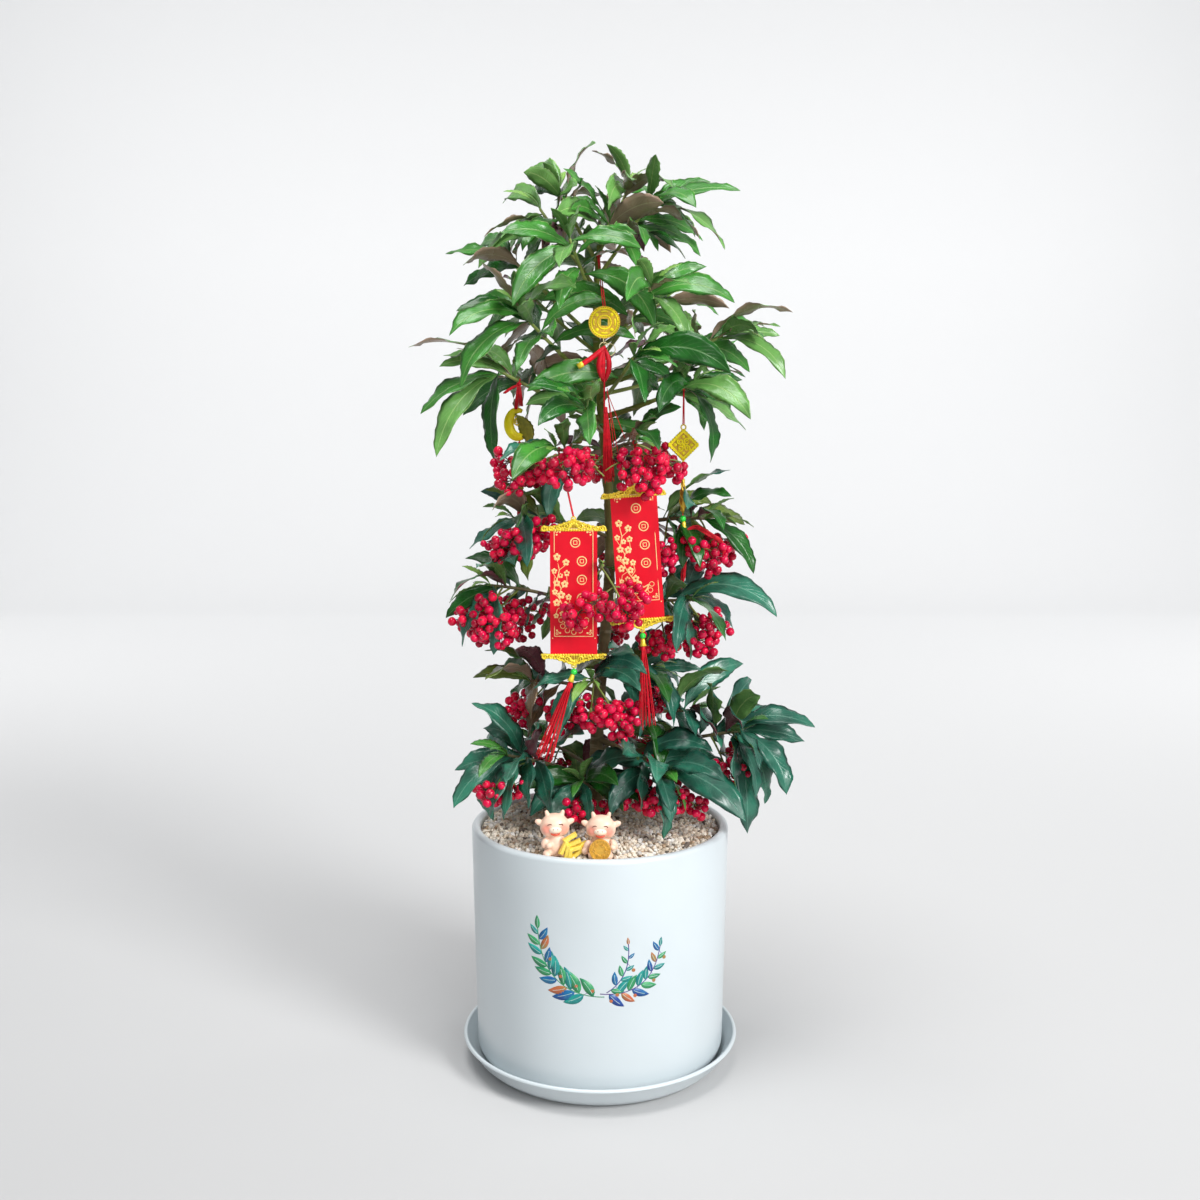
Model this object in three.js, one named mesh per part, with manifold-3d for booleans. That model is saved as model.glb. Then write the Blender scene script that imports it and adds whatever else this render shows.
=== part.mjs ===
// A potted coral ardisia about 0.9 m tall, in millimetres, with +Z up and the front towards -Y.
// A slim trunk carries whorls of leaves and tiers of red berries, above a round white pot in a
// saucer. Five hanging ornaments and two small calf figures dress it. The origin is the centre
// of the saucer's flat underside. Every leafy mass grows by one seeded rule from one stem.
import * as THREE from 'three';
import Module from 'manifold-3d';
import { mergeVertices } from 'three/addons/utils/BufferGeometryUtils.js';

const wasm = await Module();
wasm.setup();

const CLEAR = 0.3;
const ROUND = 26;

// Pot, saucer and filling
const POT_FOOT_Z = 6;
const POT_FOOT_RADIUS = 108;
const POT_LOW_RADIUS = 124;
const POT_RIM_RADIUS = 128;
const POT_TOP_Z = 242;
const POT_WALL = 9;
const POT_FLOOR = 10;
const SAUCER_FOOT_RADIUS = 113;
const SAUCER_RIM_RADIUS = 138.5;
const SAUCER_RIM_Z = 25.5;
const SAUCER_WALL = 4;
const SAUCER_FLOOR = 5.7;
const SAUCER_KNEE_DROP = 15;
const SOIL_EDGE_Z = 236;
const SOIL_TOP_Z = 247;
const SOIL_SEAT_RADIUS = 24;
const SOIL_STEPS = [[20, 4], [60, 8.5]];

// Trunk: a gentle S from the soil to the top whorl
const TRUNK_TOP_Z = 806;
const TRUNK_FOOT_RADIUS = 6.9;
const TRUNK_TOP_RADIUS = 2.1;
const TRUNK_TAPER = 0.75;
const FLARE = 4.5;
const FLARE_HEIGHT = 9;
const SWAY_X = 6.8;
const SWAY_Y = 4;
const TRUNK_OFFSET_X = 3;

// Leaves, stems and berries
const GOLDEN = 137.5;
const LEAFY = 42;
const LEAF_WIDTH = 0.31;
const LEAF_THICKNESS = 1.7;
const LEAF_FOLD = 0.22;
const LEAF_SUNK = 4;
const BLADE_FROM = 0.3;
const LEAD_GAP = 20;
const LEAD_ZONE = 18;
const LEAD_STEPS = 3;
const FILL_STEPS = 2;
const LIGHT_PULL = 0.6;
const FACING_ROLL = 44;
const STEM_RADIUS = 2.3;
const STEM_TIP_RADIUS = 1.5;
const BOUGH_RADIUS = 3;
const PEDUNCLE_RADIUS = 1;
const PEDICEL_RADIUS = 0.8;
const PEDICEL_LENGTH = 12;
const PEDICEL_STEP = 3.4;
const BERRY_RADIUS = 6.2;
const BERRIES_PER_UMBEL = 3;
const HEADING_TRIES = [0, 12, -12, 24, -24, 38, -38];
const LENGTH_TRIES = [1, 0.82];
const GUARD = 0.45;
const SEED = 1009;
const SEED_STEP = 977;

// Growth of each kind of mass: leaf count and length, how far leaves lie back, how stems arch
const KINDS = {
  crown: { leaves: 9, length: 92, young: 28, old: 84, lift: 8, bend: 52, arch: -0.04 },
  tier: { leaves: 4, length: 80, young: 30, old: 80, lift: 6, bend: 58, arch: 0.1 },
  base: { leaves: 6, length: 92, young: 30, old: 82, lift: 10, bend: 50, arch: 0.06 },
};

// Laterals: height of the root on the trunk, compass heading, reach from the trunk's axis and
// rise to the tip. bough is the share of the stem that is a bare limb of its own. leads are the
// leaves that give the outline: heading, pitch of the chord and length. umbels: count, angle
// between them, spread from the stem and drop below it.
const LATERALS = [
  { name: 'crown_apex', kind: 'crown', root: TRUNK_TOP_Z, heading: 0, reach: 10, rise: 20,
    leads: [[310, -30, 82], [20, -15, 94], [165, 25, 70]] },
  { name: 'crown_high_left', kind: 'crown', root: 788, heading: 172, reach: 38, rise: 67, leaves: 6,
    leads: [[300, 40, 82], [120, 10, 82], [105, 25, 82]] },
  { name: 'crown_high_right', kind: 'crown', root: 797, heading: 35, reach: 36, rise: 66, leaves: 6,
    leads: [[310, 0, 82], [255, -20, 82], [105, 5, 82]] },
  { name: 'crown_upper_right', kind: 'crown', root: 774, heading: 338, reach: 52, rise: 66, leaves: 7,
    leads: [[340, 10, 102], [320, -5, 82], [335, -30, 94]] },
  { name: 'crown_upper_left', kind: 'crown', root: 764, heading: 160, reach: 58, rise: 78, leaves: 7,
    leads: [[200, -15, 70], [195, -35, 78], [125, 15, 82]] },
  { name: 'crown_front_high', kind: 'crown', root: 748, heading: 248, reach: 64, rise: 54,
    leads: [[205, 10, 78], [210, -45, 86], [340, -10, 70]] },
  { name: 'crown_left_mid', kind: 'crown', root: 716, heading: 174, reach: 84, rise: 80,
    leads: [[230, -5, 82], [290, 10, 82], [120, 15, 82]] },
  { name: 'crown_left', kind: 'crown', root: 668, heading: 212, reach: 85, rise: 69, bough: 0.5,
    leads: [[195, 10, 78], [210, -40, 102], [200, -15, 86], [305, 15, 82]] },
  { name: 'crown_left_low', kind: 'crown', root: 640, heading: 194, reach: 101, rise: 46, bough: 0.55,
    leads: [[200, 15, 110], [195, 5, 70], [200, -25, 94], [215, -50, 110], [255, -75, 94]] },
  { name: 'crown_front_low', kind: 'crown', root: 628, heading: 261, reach: 96, rise: 20,
    leads: [[205, 20, 70], [200, -10, 70], [295, -25, 82]] },
  { name: 'crown_right_front', kind: 'crown', root: 656, heading: 292, reach: 81, rise: 38,
    leads: [[190, -60, 86], [265, -30, 82], [335, -10, 102]] },
  { name: 'crown_right_mid', kind: 'crown', root: 694, heading: 312, reach: 74, rise: 64,
    leads: [[335, -5, 94], [325, -50, 70], [230, -15, 82]] },
  { name: 'crown_right', kind: 'crown', root: 672, heading: 355, reach: 118, rise: 47, bough: 0.6,
    leads: [[338, 16, 94], [340, -30, 86], [295, -5, 82]] },
  { name: 'crown_right_low', kind: 'crown', root: 642, heading: 332, reach: 96, rise: 30, bough: 0.55,
    leads: [[340, -20, 94], [300, -65, 86], [240, -20, 82]] },
  { name: 'crown_back_left', kind: 'crown', root: 704, heading: 126, reach: 108, rise: 60 },
  { name: 'crown_back_right', kind: 'crown', root: 708, heading: 50, reach: 108, rise: 55 },
  { name: 'crown_back_high', kind: 'crown', root: 756, heading: 88, reach: 82, rise: 64 },
  { name: 'crown_back_low', kind: 'crown', root: 652, heading: 88, reach: 108, rise: 50 },
  { name: 'crown_back_left_low', kind: 'crown', root: 660, heading: 146, reach: 104, rise: 24 },
  { name: 'crown_back_right_low', kind: 'crown', root: 664, heading: 32, reach: 104, rise: 26 },
  { name: 'tier1_left', kind: 'tier', root: 590, heading: 239, reach: 90, rise: 22, bough: 0.5,
    leaves: 3, leads: [[235, -20, 82]], umbels: [4, 54, 46, 16] },
  { name: 'tier1_right', kind: 'tier', root: 604, heading: 294, reach: 68, rise: 14, bough: 0.45,
    leaves: 3, leads: [[285, -5, 82]], umbels: [4, 48, 35, 22] },
  { name: 'tier1_back', kind: 'tier', root: 596, heading: 85, reach: 60, rise: 20,
    umbels: [2, 75, 36, 22] },
  { name: 'tier2_left', kind: 'tier', root: 526, heading: 210, reach: 104, rise: 22,
    leads: [[250, 10, 82], [295, -30, 82]], umbels: [3, 70, 32, 26] },
  { name: 'tier2_right', kind: 'tier', root: 532, heading: 344, reach: 94, rise: 14, bough: 0.45,
    leads: [[250, 10, 82], [345, -45, 78]], umbels: [4, 55, 34, 34] },
  { name: 'tier2_back', kind: 'tier', root: 512, heading: 70, reach: 70, rise: 17,
    umbels: [2, 75, 34, 28] },
  { name: 'tier3_left', kind: 'tier', root: 448, heading: 196, reach: 116, rise: 34,
    leads: [[230, -5, 82], [100, 20, 82], [285, 20, 82], [280, -70, 78]], umbels: [5, 44, 36, 38] },
  { name: 'tier3_front', kind: 'tier', root: 488, heading: 264, reach: 88, rise: 17, leaves: 2,
    umbels: [3, 62, 30, 42] },
  { name: 'tier3_right', kind: 'tier', root: 450, heading: 337, reach: 87, rise: 18,
    leads: [[350, -10, 110], [305, -25, 82], [30, -30, 78], [70, 20, 82], [255, -35, 82]],
    umbels: [3, 55, 32, 38] },
  { name: 'tier3_back', kind: 'tier', root: 436, heading: 104, reach: 72, rise: 20,
    umbels: [2, 75, 34, 30] },
  { name: 'tier4_left', kind: 'tier', root: 372, heading: 192, reach: 70, rise: 14,
    leads: [[245, 30, 82], [265, -20, 82], [240, 10, 82]], umbels: [1, 0, 26, 26] },
  { name: 'tier4_front', kind: 'tier', root: 380, heading: 264, reach: 76, rise: 17, leaves: 4,
    leads: [[275, 25, 82], [310, 10, 82], [215, -55, 70]], umbels: [3, 62, 32, 34] },
  { name: 'tier4_right', kind: 'tier', root: 386, heading: 336, reach: 52, rise: 12,
    leads: [[295, -15, 82], [300, -40, 82]], umbels: [1, 0, 26, 26] },
  { name: 'base_left', kind: 'base', root: 284, heading: 208, reach: 96, rise: 36,
    leads: [[185, 50, 78], [240, -45, 72], [205, -34, 80], [120, -15, 82]], umbels: [2, 50, 42, 24] },
  { name: 'base_front', kind: 'base', root: 272, heading: 252, reach: 46, rise: 22, leaves: 4,
    leads: [[200, 0, 74], [218, -40, 58], [328, 25, 72], [285, -58, 46]], umbels: [1, 0, 26, 20] },
  { name: 'base_right_front', kind: 'base', root: 326, heading: 316, reach: 88, rise: -22, bough: 0.5,
    leads: [[335, -26, 110], [200, -5, 78], [212, -32, 72], [318, 5, 86], [100, 35, 82]],
    umbels: [2, 60, 26, 24] },
  { name: 'base_right', kind: 'base', root: 300, heading: 349, reach: 144, rise: 40, bough: 0.66,
    leads: [[345, 5, 92], [60, 40, 76], [290, 42, 76], [265, -48, 76], [285, -78, 104], [325, -45, 82]],
    umbels: [2, 50, 22, 36] },
  { name: 'base_right_high', kind: 'base', root: 342, heading: 354, reach: 92, rise: 14,
    leads: [[325, 38, 82], [110, 20, 82], [30, 28, 88], [290, -15, 82]] },
  { name: 'base_back_left', kind: 'base', root: 292, heading: 128, reach: 92, rise: 16,
    umbels: [2, 60, 34, 26] },
  { name: 'base_back_right', kind: 'base', root: 310, heading: 58, reach: 94, rise: 12,
    umbels: [2, 60, 34, 26] },
];

// Scrolls: the top of the upper finial, lean, and where the tassel ends
const SCROLL_WIDTH = 43;
const SCROLL_HEIGHT = 112;
const SCROLL_THICKNESS = 1.8;
const FINIAL_WIDTH = 61;
const FINIAL_HEIGHT = 11;
const FINIAL_THICKNESS = 4;
const SCROLLS = [
  { name: 'scroll_left', carrier: 'tier1_left', share: 0.95, top: [-24, -90, 549], lean: 0,
    tassel: [-52, -97, 331] },
  { name: 'scroll_right', carrier: 'tier1_right', share: 0.97, top: [30, -70, 579], lean: 4,
    tassel: [44, -75, 356] },
];

const SCROLL_BEAD = { drop: 6, size: [3.2, 3.2, 3.6], link: 1.4 };
const SCROLL_TASSEL = { top: 2.2, end: 6 };

// Coin, bow charm and square plaque on their strings
const STRING_RADIUS = 0.9;
const HANG_GAP = 0.5;
const TASSEL_TOP_RADIUS = 2.4;
const COIN = { centre: [4, -60, 727], radius: 14.5, thickness: 2.4, hole: 7, hangs: 795 };
const COIN_KNOT = { z: 688, size: [6.5, 3, 10.4] };
const COIN_TASSEL = { top: 648, end: 589, radius: 4.2 };
const BOW_CHARM = { carrier: 'crown_left_low', share: 0.8 };
const BOW_GEM = { z: 636, size: [13, 3, 17] };
const BOW_TUBE = { top: 574, end: 547, radius: 2.8 };
const BOW_TASSEL = { end: 522, radius: 3.8 };
const PLAQUE = { carrier: 'crown_right_low', share: 0.9, z: 616, side: 20, thickness: 2.4 };
const PLAQUE_SPINDLE = { top: 585, end: 553, radius: 2.4 };
const PLAQUE_BEAD = { z: 547, size: [3.4, 3.4, 3.4] };
// Swags of the plaque's tassel: start and end across and down from the bead, and end radii
const PLAQUE_SWAGS = [
  { from: [0, 0], to: [20, -7], radii: [2.2, 3.6], sides: 5 },
  { from: [17, -6], to: [40, -44], radii: [3.4, 4.6], sides: 3 },
];

// Calf figures: base centre and whether the left arm holds bars or the front a coin
const CALF_HEIGHT = 45;
const CALF_BODY = { z: 11, size: [12, 8.5, 15] };
const CALF_HEAD = { z: 30, size: [13, 10.5, 11.5] };
const CALF_SNOUT = { y: -9, z: 26.5, size: [7, 4, 4.6] };
const CALF_EAR = { x: 14, z: 32, size: [5, 2.6, 3] };
const CALF_HORN = { foot: [6, 38], tip: 8.5, radii: [2.6, 0.8] };
const CALF_LEG = { hip: [8, -2, 6], hoof: [7, -11, 3], radii: [4.4, 3.6] };
const BAR = { size: [17, 8, 6], x: 15, y: -7, z: 4, step: 5.5, turn: 0.35, turnStep: 0.3, count: 3 };
const HELD_COIN = { y: -12.5, z: 12, radius: 9.6, depth: 6.5 };
const CALVES = [
  { name: 'calf_left', base: [-42, -97], turn: 6, bars: true },
  { name: 'calf_right', base: [1, -103], turn: -4, bars: false },
];

const UP = new THREE.Vector3(0, 0, 1);
const SIDEWAYS = new THREE.Vector3(1, 0, 0);
const BERRY_BULK = new THREE.Vector3(1, 1, 1).multiplyScalar(0.8 * BERRY_RADIUS);

const radians = THREE.MathUtils.degToRad;

function paint(colour, roughness, metalness = 0) {
  return new THREE.MeshStandardMaterial({ color: colour, roughness, metalness });
}

const glaze = paint(0xf4f6f8, 0.35);
const gravel = paint(0xcfc2ab, 0.95);
const bark = paint(0x6d6a4a, 0.8);
const greens = { crown: paint(0x3f7a3c, 0.5), tier: paint(0x8c1f33, 0.5), base: paint(0x23504a, 0.5) };
const red = paint(0xc2161d, 0.7);
const gold = paint(0xd9a520, 0.35, 0.8);
const skin = paint(0xf0b48c, 0.6);

// A geometry with only its corners, each corner once, so that its surface is closed
function closed(geometry) {
  geometry.deleteAttribute('normal');
  geometry.deleteAttribute('uv');
  return mergeVertices(geometry, 1e-4);
}

// The solid bounded by a closed geometry, with faces of no area left out
function solid(geometry) {
  const corners = geometry.index.array;
  const faces = [];
  for (let i = 0; i < corners.length; i += 3) {
    const [a, b, c] = [corners[i], corners[i + 1], corners[i + 2]];
    if (a !== b && b !== c && c !== a) faces.push(a, b, c);
  }
  return new wasm.Manifold(new wasm.Mesh({
    numProp: 3,
    vertProperties: new Float32Array(geometry.attributes.position.array),
    triVerts: new Uint32Array(faces),
  }));
}

// One body: the largest piece, with loose scraps dropped and sealed hollows filled
function oneBody(bodies) {
  const pieces = wasm.Manifold.union(bodies).decompose();
  return pieces.reduce((best, piece) => (piece.volume() > best.volume() ? piece : best));
}

function meshOf(name, body, material) {
  const { vertProperties, triVerts } = body.getMesh();
  const geometry = new THREE.BufferGeometry();
  geometry.setAttribute('position', new THREE.BufferAttribute(vertProperties, 3));
  geometry.setIndex(new THREE.BufferAttribute(triVerts, 1));
  geometry.computeVertexNormals();
  const mesh = new THREE.Mesh(geometry, material);
  mesh.name = name;
  return mesh;
}

// Moves the axis of a unit cylinder onto a curve and gives it a radius at each share of it
function limb(pointAt, tangentAt, radiusAt, sides, steps, side) {
  const geometry = closed(new THREE.CylinderGeometry(1, 1, 1, sides, steps));
  const position = geometry.attributes.position;
  for (let i = 0; i < position.count; i += 1) {
    const share = THREE.MathUtils.clamp(position.getY(i) + 0.5, 0, 1);
    const ahead = tangentAt(share);
    const across = side.clone().addScaledVector(ahead, -side.dot(ahead)).normalize();
    const over = new THREE.Vector3().crossVectors(across, ahead);
    const point = pointAt(share);
    point.addScaledVector(across, position.getX(i) * radiusAt(share));
    point.addScaledVector(over, position.getZ(i) * radiusAt(share));
    position.setXYZ(i, point.x, point.y, point.z);
  }
  return solid(geometry);
}

// A direction that isn't near the given one
function awayFrom(ahead) {
  return Math.abs(ahead.z) > 0.9 ? SIDEWAYS : UP;
}

function rod(from, to, radius, sides = 3, endRadius = radius) {
  const ahead = to.clone().sub(from).normalize();
  const side = awayFrom(ahead);
  const radiusAt = (share) => THREE.MathUtils.lerp(radius, endRadius, share);
  return limb((share) => from.clone().lerp(to, share), () => ahead, radiusAt, sides, 1, side);
}

function ball(centre, size, columns = 8, rows = 6) {
  const geometry = closed(new THREE.SphereGeometry(1, columns, rows));
  geometry.rotateX(Math.PI / 2);
  geometry.scale(size.x, size.y, size.z);
  geometry.translate(centre.x, centre.y, centre.z);
  return solid(geometry);
}

function slab(width, depth, height, turnY = 0) {
  const geometry = closed(new THREE.BoxGeometry(width, depth, height));
  geometry.rotateY(turnY);
  return solid(geometry);
}

function vector(x, y, z) {
  return new THREE.Vector3(x, y, z);
}

// Turned pieces

function turned(profile) {
  const points = profile.map(([radius, z]) => new THREE.Vector2(radius, z));
  const geometry = closed(new THREE.LatheGeometry(points, ROUND));
  geometry.rotateX(Math.PI / 2);
  return solid(geometry);
}

function arc(centreRadius, centreZ, radius, fromAngle, toAngle, steps) {
  const points = [];
  for (let i = 0; i <= steps; i += 1) {
    const angle = radians(THREE.MathUtils.lerp(fromAngle, toAngle, i / steps));
    points.push([centreRadius + radius * Math.cos(angle), centreZ + radius * Math.sin(angle)]);
  }
  return points;
}

function makePot() {
  const corner = POT_LOW_RADIUS - POT_FOOT_RADIUS;
  const rim = POT_WALL / 2;
  const innerLow = POT_LOW_RADIUS - POT_WALL;
  const innerFloor = POT_FOOT_Z + POT_FLOOR;
  return turned([
    [0, POT_FOOT_Z],
    ...arc(POT_FOOT_RADIUS, POT_FOOT_Z + corner, corner, -90, 0, 3),
    ...arc(POT_RIM_RADIUS - rim, POT_TOP_Z - rim, rim, 0, 180, 4),
    [innerLow, innerFloor],
    [0, innerFloor],
  ]);
}

function makeSaucer() {
  const lip = SAUCER_WALL / 2;
  const kneeZ = SAUCER_RIM_Z - SAUCER_KNEE_DROP;
  return turned([
    [0, 0],
    [SAUCER_FOOT_RADIUS, 0],
    [SAUCER_RIM_RADIUS - 2 * lip - 7, kneeZ],
    ...arc(SAUCER_RIM_RADIUS - lip, SAUCER_RIM_Z, lip, 0, 180, 3),
    [SAUCER_RIM_RADIUS - 3 * lip - 7, kneeZ + lip],
    [SAUCER_FOOT_RADIUS + 1, SAUCER_FLOOR],
    [0, SAUCER_FLOOR],
  ]);
}

function makeSoil() {
  const low = POT_FOOT_Z + POT_FLOOR + CLEAR;
  const innerLow = POT_LOW_RADIUS - POT_WALL - CLEAR;
  const innerHigh = POT_RIM_RADIUS - POT_WALL - CLEAR;
  return turned([
    [0, low],
    [innerLow - 0.2, low],
    [innerHigh, SOIL_EDGE_Z],
    ...SOIL_STEPS.map(([inward, rise]) => [innerHigh - inward, SOIL_EDGE_Z + rise]),
    [SOIL_SEAT_RADIUS, SOIL_TOP_Z],
    [0, SOIL_TOP_Z],
  ]);
}

// Trunk and boughs

function trunkAxis(z) {
  const swayX = SWAY_X * Math.sin((2 * Math.PI * (z - 408)) / 440);
  const swayY = SWAY_Y * Math.sin((2 * Math.PI * (z - 330)) / 380);
  return vector(TRUNK_OFFSET_X + swayX, swayY, z);
}

function trunkRadius(z) {
  const share = (z - SOIL_TOP_Z) / (TRUNK_TOP_Z - SOIL_TOP_Z);
  const left = Math.max(0, 1 - share);
  const taper = TRUNK_TOP_RADIUS + (TRUNK_FOOT_RADIUS - TRUNK_TOP_RADIUS) * left ** TRUNK_TAPER;
  return taper + FLARE * Math.exp((SOIL_TOP_Z - z) / FLARE_HEIGHT);
}

// The trunk from z low to z high, fattened by extra. Its rings lie closer near the flared foot.
function makeTrunk(low, high, extra) {
  const heightAt = (share) => low + (high - low) * share ** 1.35;
  const tangent = (share) => {
    const z = heightAt(share);
    return trunkAxis(z + 1).sub(trunkAxis(z - 1)).normalize();
  };
  const upright = (share) => (share === 0 ? UP : tangent(share));
  const radiusAt = (share) => trunkRadius(heightAt(share)) + extra;
  return limb((share) => trunkAxis(heightAt(share)), upright, radiusAt, 7, 15, vector(1, 0, 0));
}

// A lateral's stem: an arc in the upright plane of its heading, from the trunk's axis to the tip
function stemOf(lateral) {
  const kind = KINDS[lateral.kind];
  const heading = radians(lateral.heading);
  const out = vector(Math.cos(heading), Math.sin(heading), 0);
  const side = vector(-Math.sin(heading), Math.cos(heading), 0);
  const root = trunkAxis(lateral.root);
  const tip = root.clone().addScaledVector(out, lateral.reach);
  tip.z += lateral.rise;
  const middle = root.clone().lerp(tip, 0.5);
  middle.z += lateral.reach * kind.arch;
  const curve = new THREE.QuadraticBezierCurve3(root, middle, tip);
  return { curve, side, length: curve.getLength() };
}

function stemRadius(lateral, share) {
  const thick = lateral.bough ? BOUGH_RADIUS : STEM_RADIUS;
  return THREE.MathUtils.lerp(thick, STEM_TIP_RADIUS, share);
}

function stemPiece(lateral, stem, from, to, sides, steps) {
  const at = (share) => THREE.MathUtils.lerp(from, to, share);
  const point = (share) => stem.curve.getPoint(at(share));
  const tangent = (share) => stem.curve.getTangent(at(share));
  const radiusAt = (share) => stemRadius(lateral, at(share));
  return limb(point, tangent, radiusAt, sides, steps, stem.side);
}

// Leaves: each midrib is an arc in the upright plane of its heading

function midrib(leaf, share) {
  const turn = leaf.pitch - leaf.bend * share;
  const ahead = (leaf.length / leaf.bend) * (Math.sin(leaf.pitch) - Math.sin(turn));
  const rise = (leaf.length / leaf.bend) * (Math.cos(turn) - Math.cos(leaf.pitch));
  const out = vector(Math.cos(leaf.heading), Math.sin(leaf.heading), 0);
  return leaf.root.clone().addScaledVector(out, ahead).addScaledVector(UP, rise);
}

function halfWidth(share) {
  return 0.5 * Math.max(0, Math.sin(Math.PI * share ** 0.8)) ** 0.85;
}

// A spindle with a lens section, folded up along the midrib and sunk into its stem at the root
function leafSolid(leaf, extra = 0, from = 0) {
  const geometry = closed(new THREE.SphereGeometry(1, 4, leaf.steps));
  const position = geometry.attributes.position;
  const out = vector(Math.cos(leaf.heading), Math.sin(leaf.heading), 0);
  const side = vector(-Math.sin(leaf.heading), Math.cos(leaf.heading), 0);
  for (let i = 0; i < position.count; i += 1) {
    const stage = Math.acos(THREE.MathUtils.clamp(position.getY(i), -1, 1)) / Math.PI;
    const ring = Math.max(Math.sin(stage * Math.PI), 1e-6);
    const across = Math.round(position.getX(i) / ring);
    const corner = Math.round(position.getZ(i) / ring);
    const share = THREE.MathUtils.lerp(from, 1, stage);
    const turn = leaf.pitch - leaf.bend * share;
    const normal = vector(0, 0, Math.cos(turn)).addScaledVector(out, -Math.sin(turn));
    const left = side.clone().multiplyScalar(Math.cos(leaf.roll));
    left.addScaledVector(normal, Math.sin(leaf.roll));
    const face = normal.multiplyScalar(Math.cos(leaf.roll));
    face.addScaledVector(side, -Math.sin(leaf.roll));
    const half = leaf.length * LEAF_WIDTH * halfWidth(share) + extra;
    const over = corner * (LEAF_THICKNESS / 2 + extra) + Math.abs(across) * LEAF_FOLD * half;
    const point = midrib(leaf, share);
    if (share < 0.01) point.addScaledVector(leaf.sunk, LEAF_SUNK);
    if (stage > 0.01 && stage < 0.99) {
      point.addScaledVector(left, across * half).addScaledVector(face, over);
    }
    position.setXYZ(i, point.x, point.y, point.z);
  }
  return solid(geometry);
}

function seeded(seed) {
  let state = seed;
  return () => {
    state = (state * 48271) % 2147483647;
    return state / 2147483647;
  };
}

// Share of the stem at which the leafy zone's place 0 (oldest) to 1 (tip) lies
function leafyShare(stem, place) {
  return 1 - Math.min(0.8, LEAFY / stem.length) * (1 - place);
}

// Roll that turns a blade's upper face away from the trunk, and a little towards the light in front
function facingRoll(root, heading) {
  const outward = root.clone().sub(trunkAxis(root.z)).setZ(0).normalize();
  outward.y -= LIGHT_PULL;
  const sideways = -outward.x * Math.sin(heading) + outward.y * Math.cos(heading);
  return -radians(FACING_ROLL) * THREE.MathUtils.clamp(sideways, -1, 1);
}

// The leaves of one lateral: its leads first, then a golden-angle whorl that fills between them
function leavesOf(lateral, stem, random) {
  const kind = KINDS[lateral.kind];
  const count = lateral.leaves ?? kind.leaves;
  const leads = lateral.leads ?? [];
  const leaves = leads.map(([heading, pitch, length], i) => {
    const share = 1 - (LEAD_ZONE / stem.length) * (1 - (i + 0.5) / leads.length);
    const root = stem.curve.getPoint(share);
    const bend = radians(kind.bend * (0.7 + 0.5 * random()));
    return {
      root,
      sunk: stem.curve.getTangent(share).negate(),
      heading: radians(heading),
      pitch: radians(pitch) + bend / 2,
      bend,
      length,
      roll: facingRoll(root, radians(heading)) + radians(28 * (random() - 0.5)),
      steps: LEAD_STEPS,
    };
  });
  const phase = 360 * random();
  for (let i = 0; i < count; i += 1) {
    const age = 1 - i / (count - 1 || 1);
    const share = leafyShare(stem, 1 - age);
    const ahead = stem.curve.getTangent(share);
    const over = new THREE.Vector3().crossVectors(ahead, stem.side);
    const turn = radians(phase + GOLDEN * i + 24 * (random() - 0.5));
    const incline = radians(THREE.MathUtils.lerp(kind.young, kind.old, age) + 16 * (random() - 0.5));
    const aim = ahead.clone().multiplyScalar(Math.cos(incline));
    aim.addScaledVector(stem.side, Math.sin(incline) * Math.cos(turn));
    aim.addScaledVector(over, Math.sin(incline) * Math.sin(turn));
    const length = kind.length * (0.84 + 0.28 * random()) * (0.72 + 0.28 * age);
    const bend = radians(kind.bend * (0.6 + 0.6 * random()) * (0.55 + 0.45 * age));
    const heading = Math.atan2(aim.y, aim.x);
    const root = stem.curve.getPoint(share);
    const roll = facingRoll(root, heading) + radians(36 * (random() - 0.5));
    const beside = ([lead]) => Math.cos(heading - radians(lead)) > Math.cos(radians(LEAD_GAP));
    if (leads.some(beside)) continue;
    leaves.push({
      root,
      sunk: ahead.clone().negate(),
      heading,
      pitch: Math.asin(aim.z) * 0.6 + radians(kind.lift),
      bend,
      length,
      roll,
      steps: FILL_STEPS,
    });
  }
  return leaves;
}

// The umbels of one lateral: a stalk out and down from the stem, and berries round its end
function umbelsOf(lateral, stem, random) {
  const [count, fan, spread, drop] = lateral.umbels ?? [0, 0, 0, 0];
  const umbels = [];
  for (let i = 0; i < count; i += 1) {
    const share = leafyShare(stem, (i + 0.5) / count);
    const root = stem.curve.getPoint(share);
    const heading = radians(lateral.heading + fan * (i - (count - 1) / 2) + 14 * (random() - 0.5));
    const length = spread * (0.85 + 0.3 * random());
    const centre = root.clone();
    centre.add(vector(Math.cos(heading), Math.sin(heading), 0).multiplyScalar(length));
    centre.z -= drop * (0.8 + 0.4 * random());
    const turn = 360 * random();
    const berries = [];
    for (let j = 0; j < BERRIES_PER_UMBEL; j += 1) {
      const polar = Math.acos(1 - (1.5 * (j + 0.5)) / BERRIES_PER_UMBEL);
      const around = radians(turn + GOLDEN * j);
      const aim = vector(Math.cos(around), Math.sin(around), 0).multiplyScalar(Math.sin(polar));
      aim.z = -Math.cos(polar);
      const joint = centre.clone().lerp(root, (j * PEDICEL_STEP) / length);
      berries.push({ joint, berry: joint.clone().addScaledVector(aim, PEDICEL_LENGTH) });
    }
    umbels.push({ root, centre, berries });
  }
  return umbels;
}

// Bodies that are already placed, each with its owner
const placed = [];

function place(owner, body) {
  placed.push({ owner, body, box: body.boundingBox() });
}

function apart(a, b) {
  return [0, 1, 2].some((axis) => a.max[axis] < b.min[axis] || b.max[axis] < a.min[axis]);
}

function meets(body, others) {
  const box = body.boundingBox();
  return others.some((other) => !apart(box, other.box) && !body.intersect(other.body).isEmpty());
}

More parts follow.
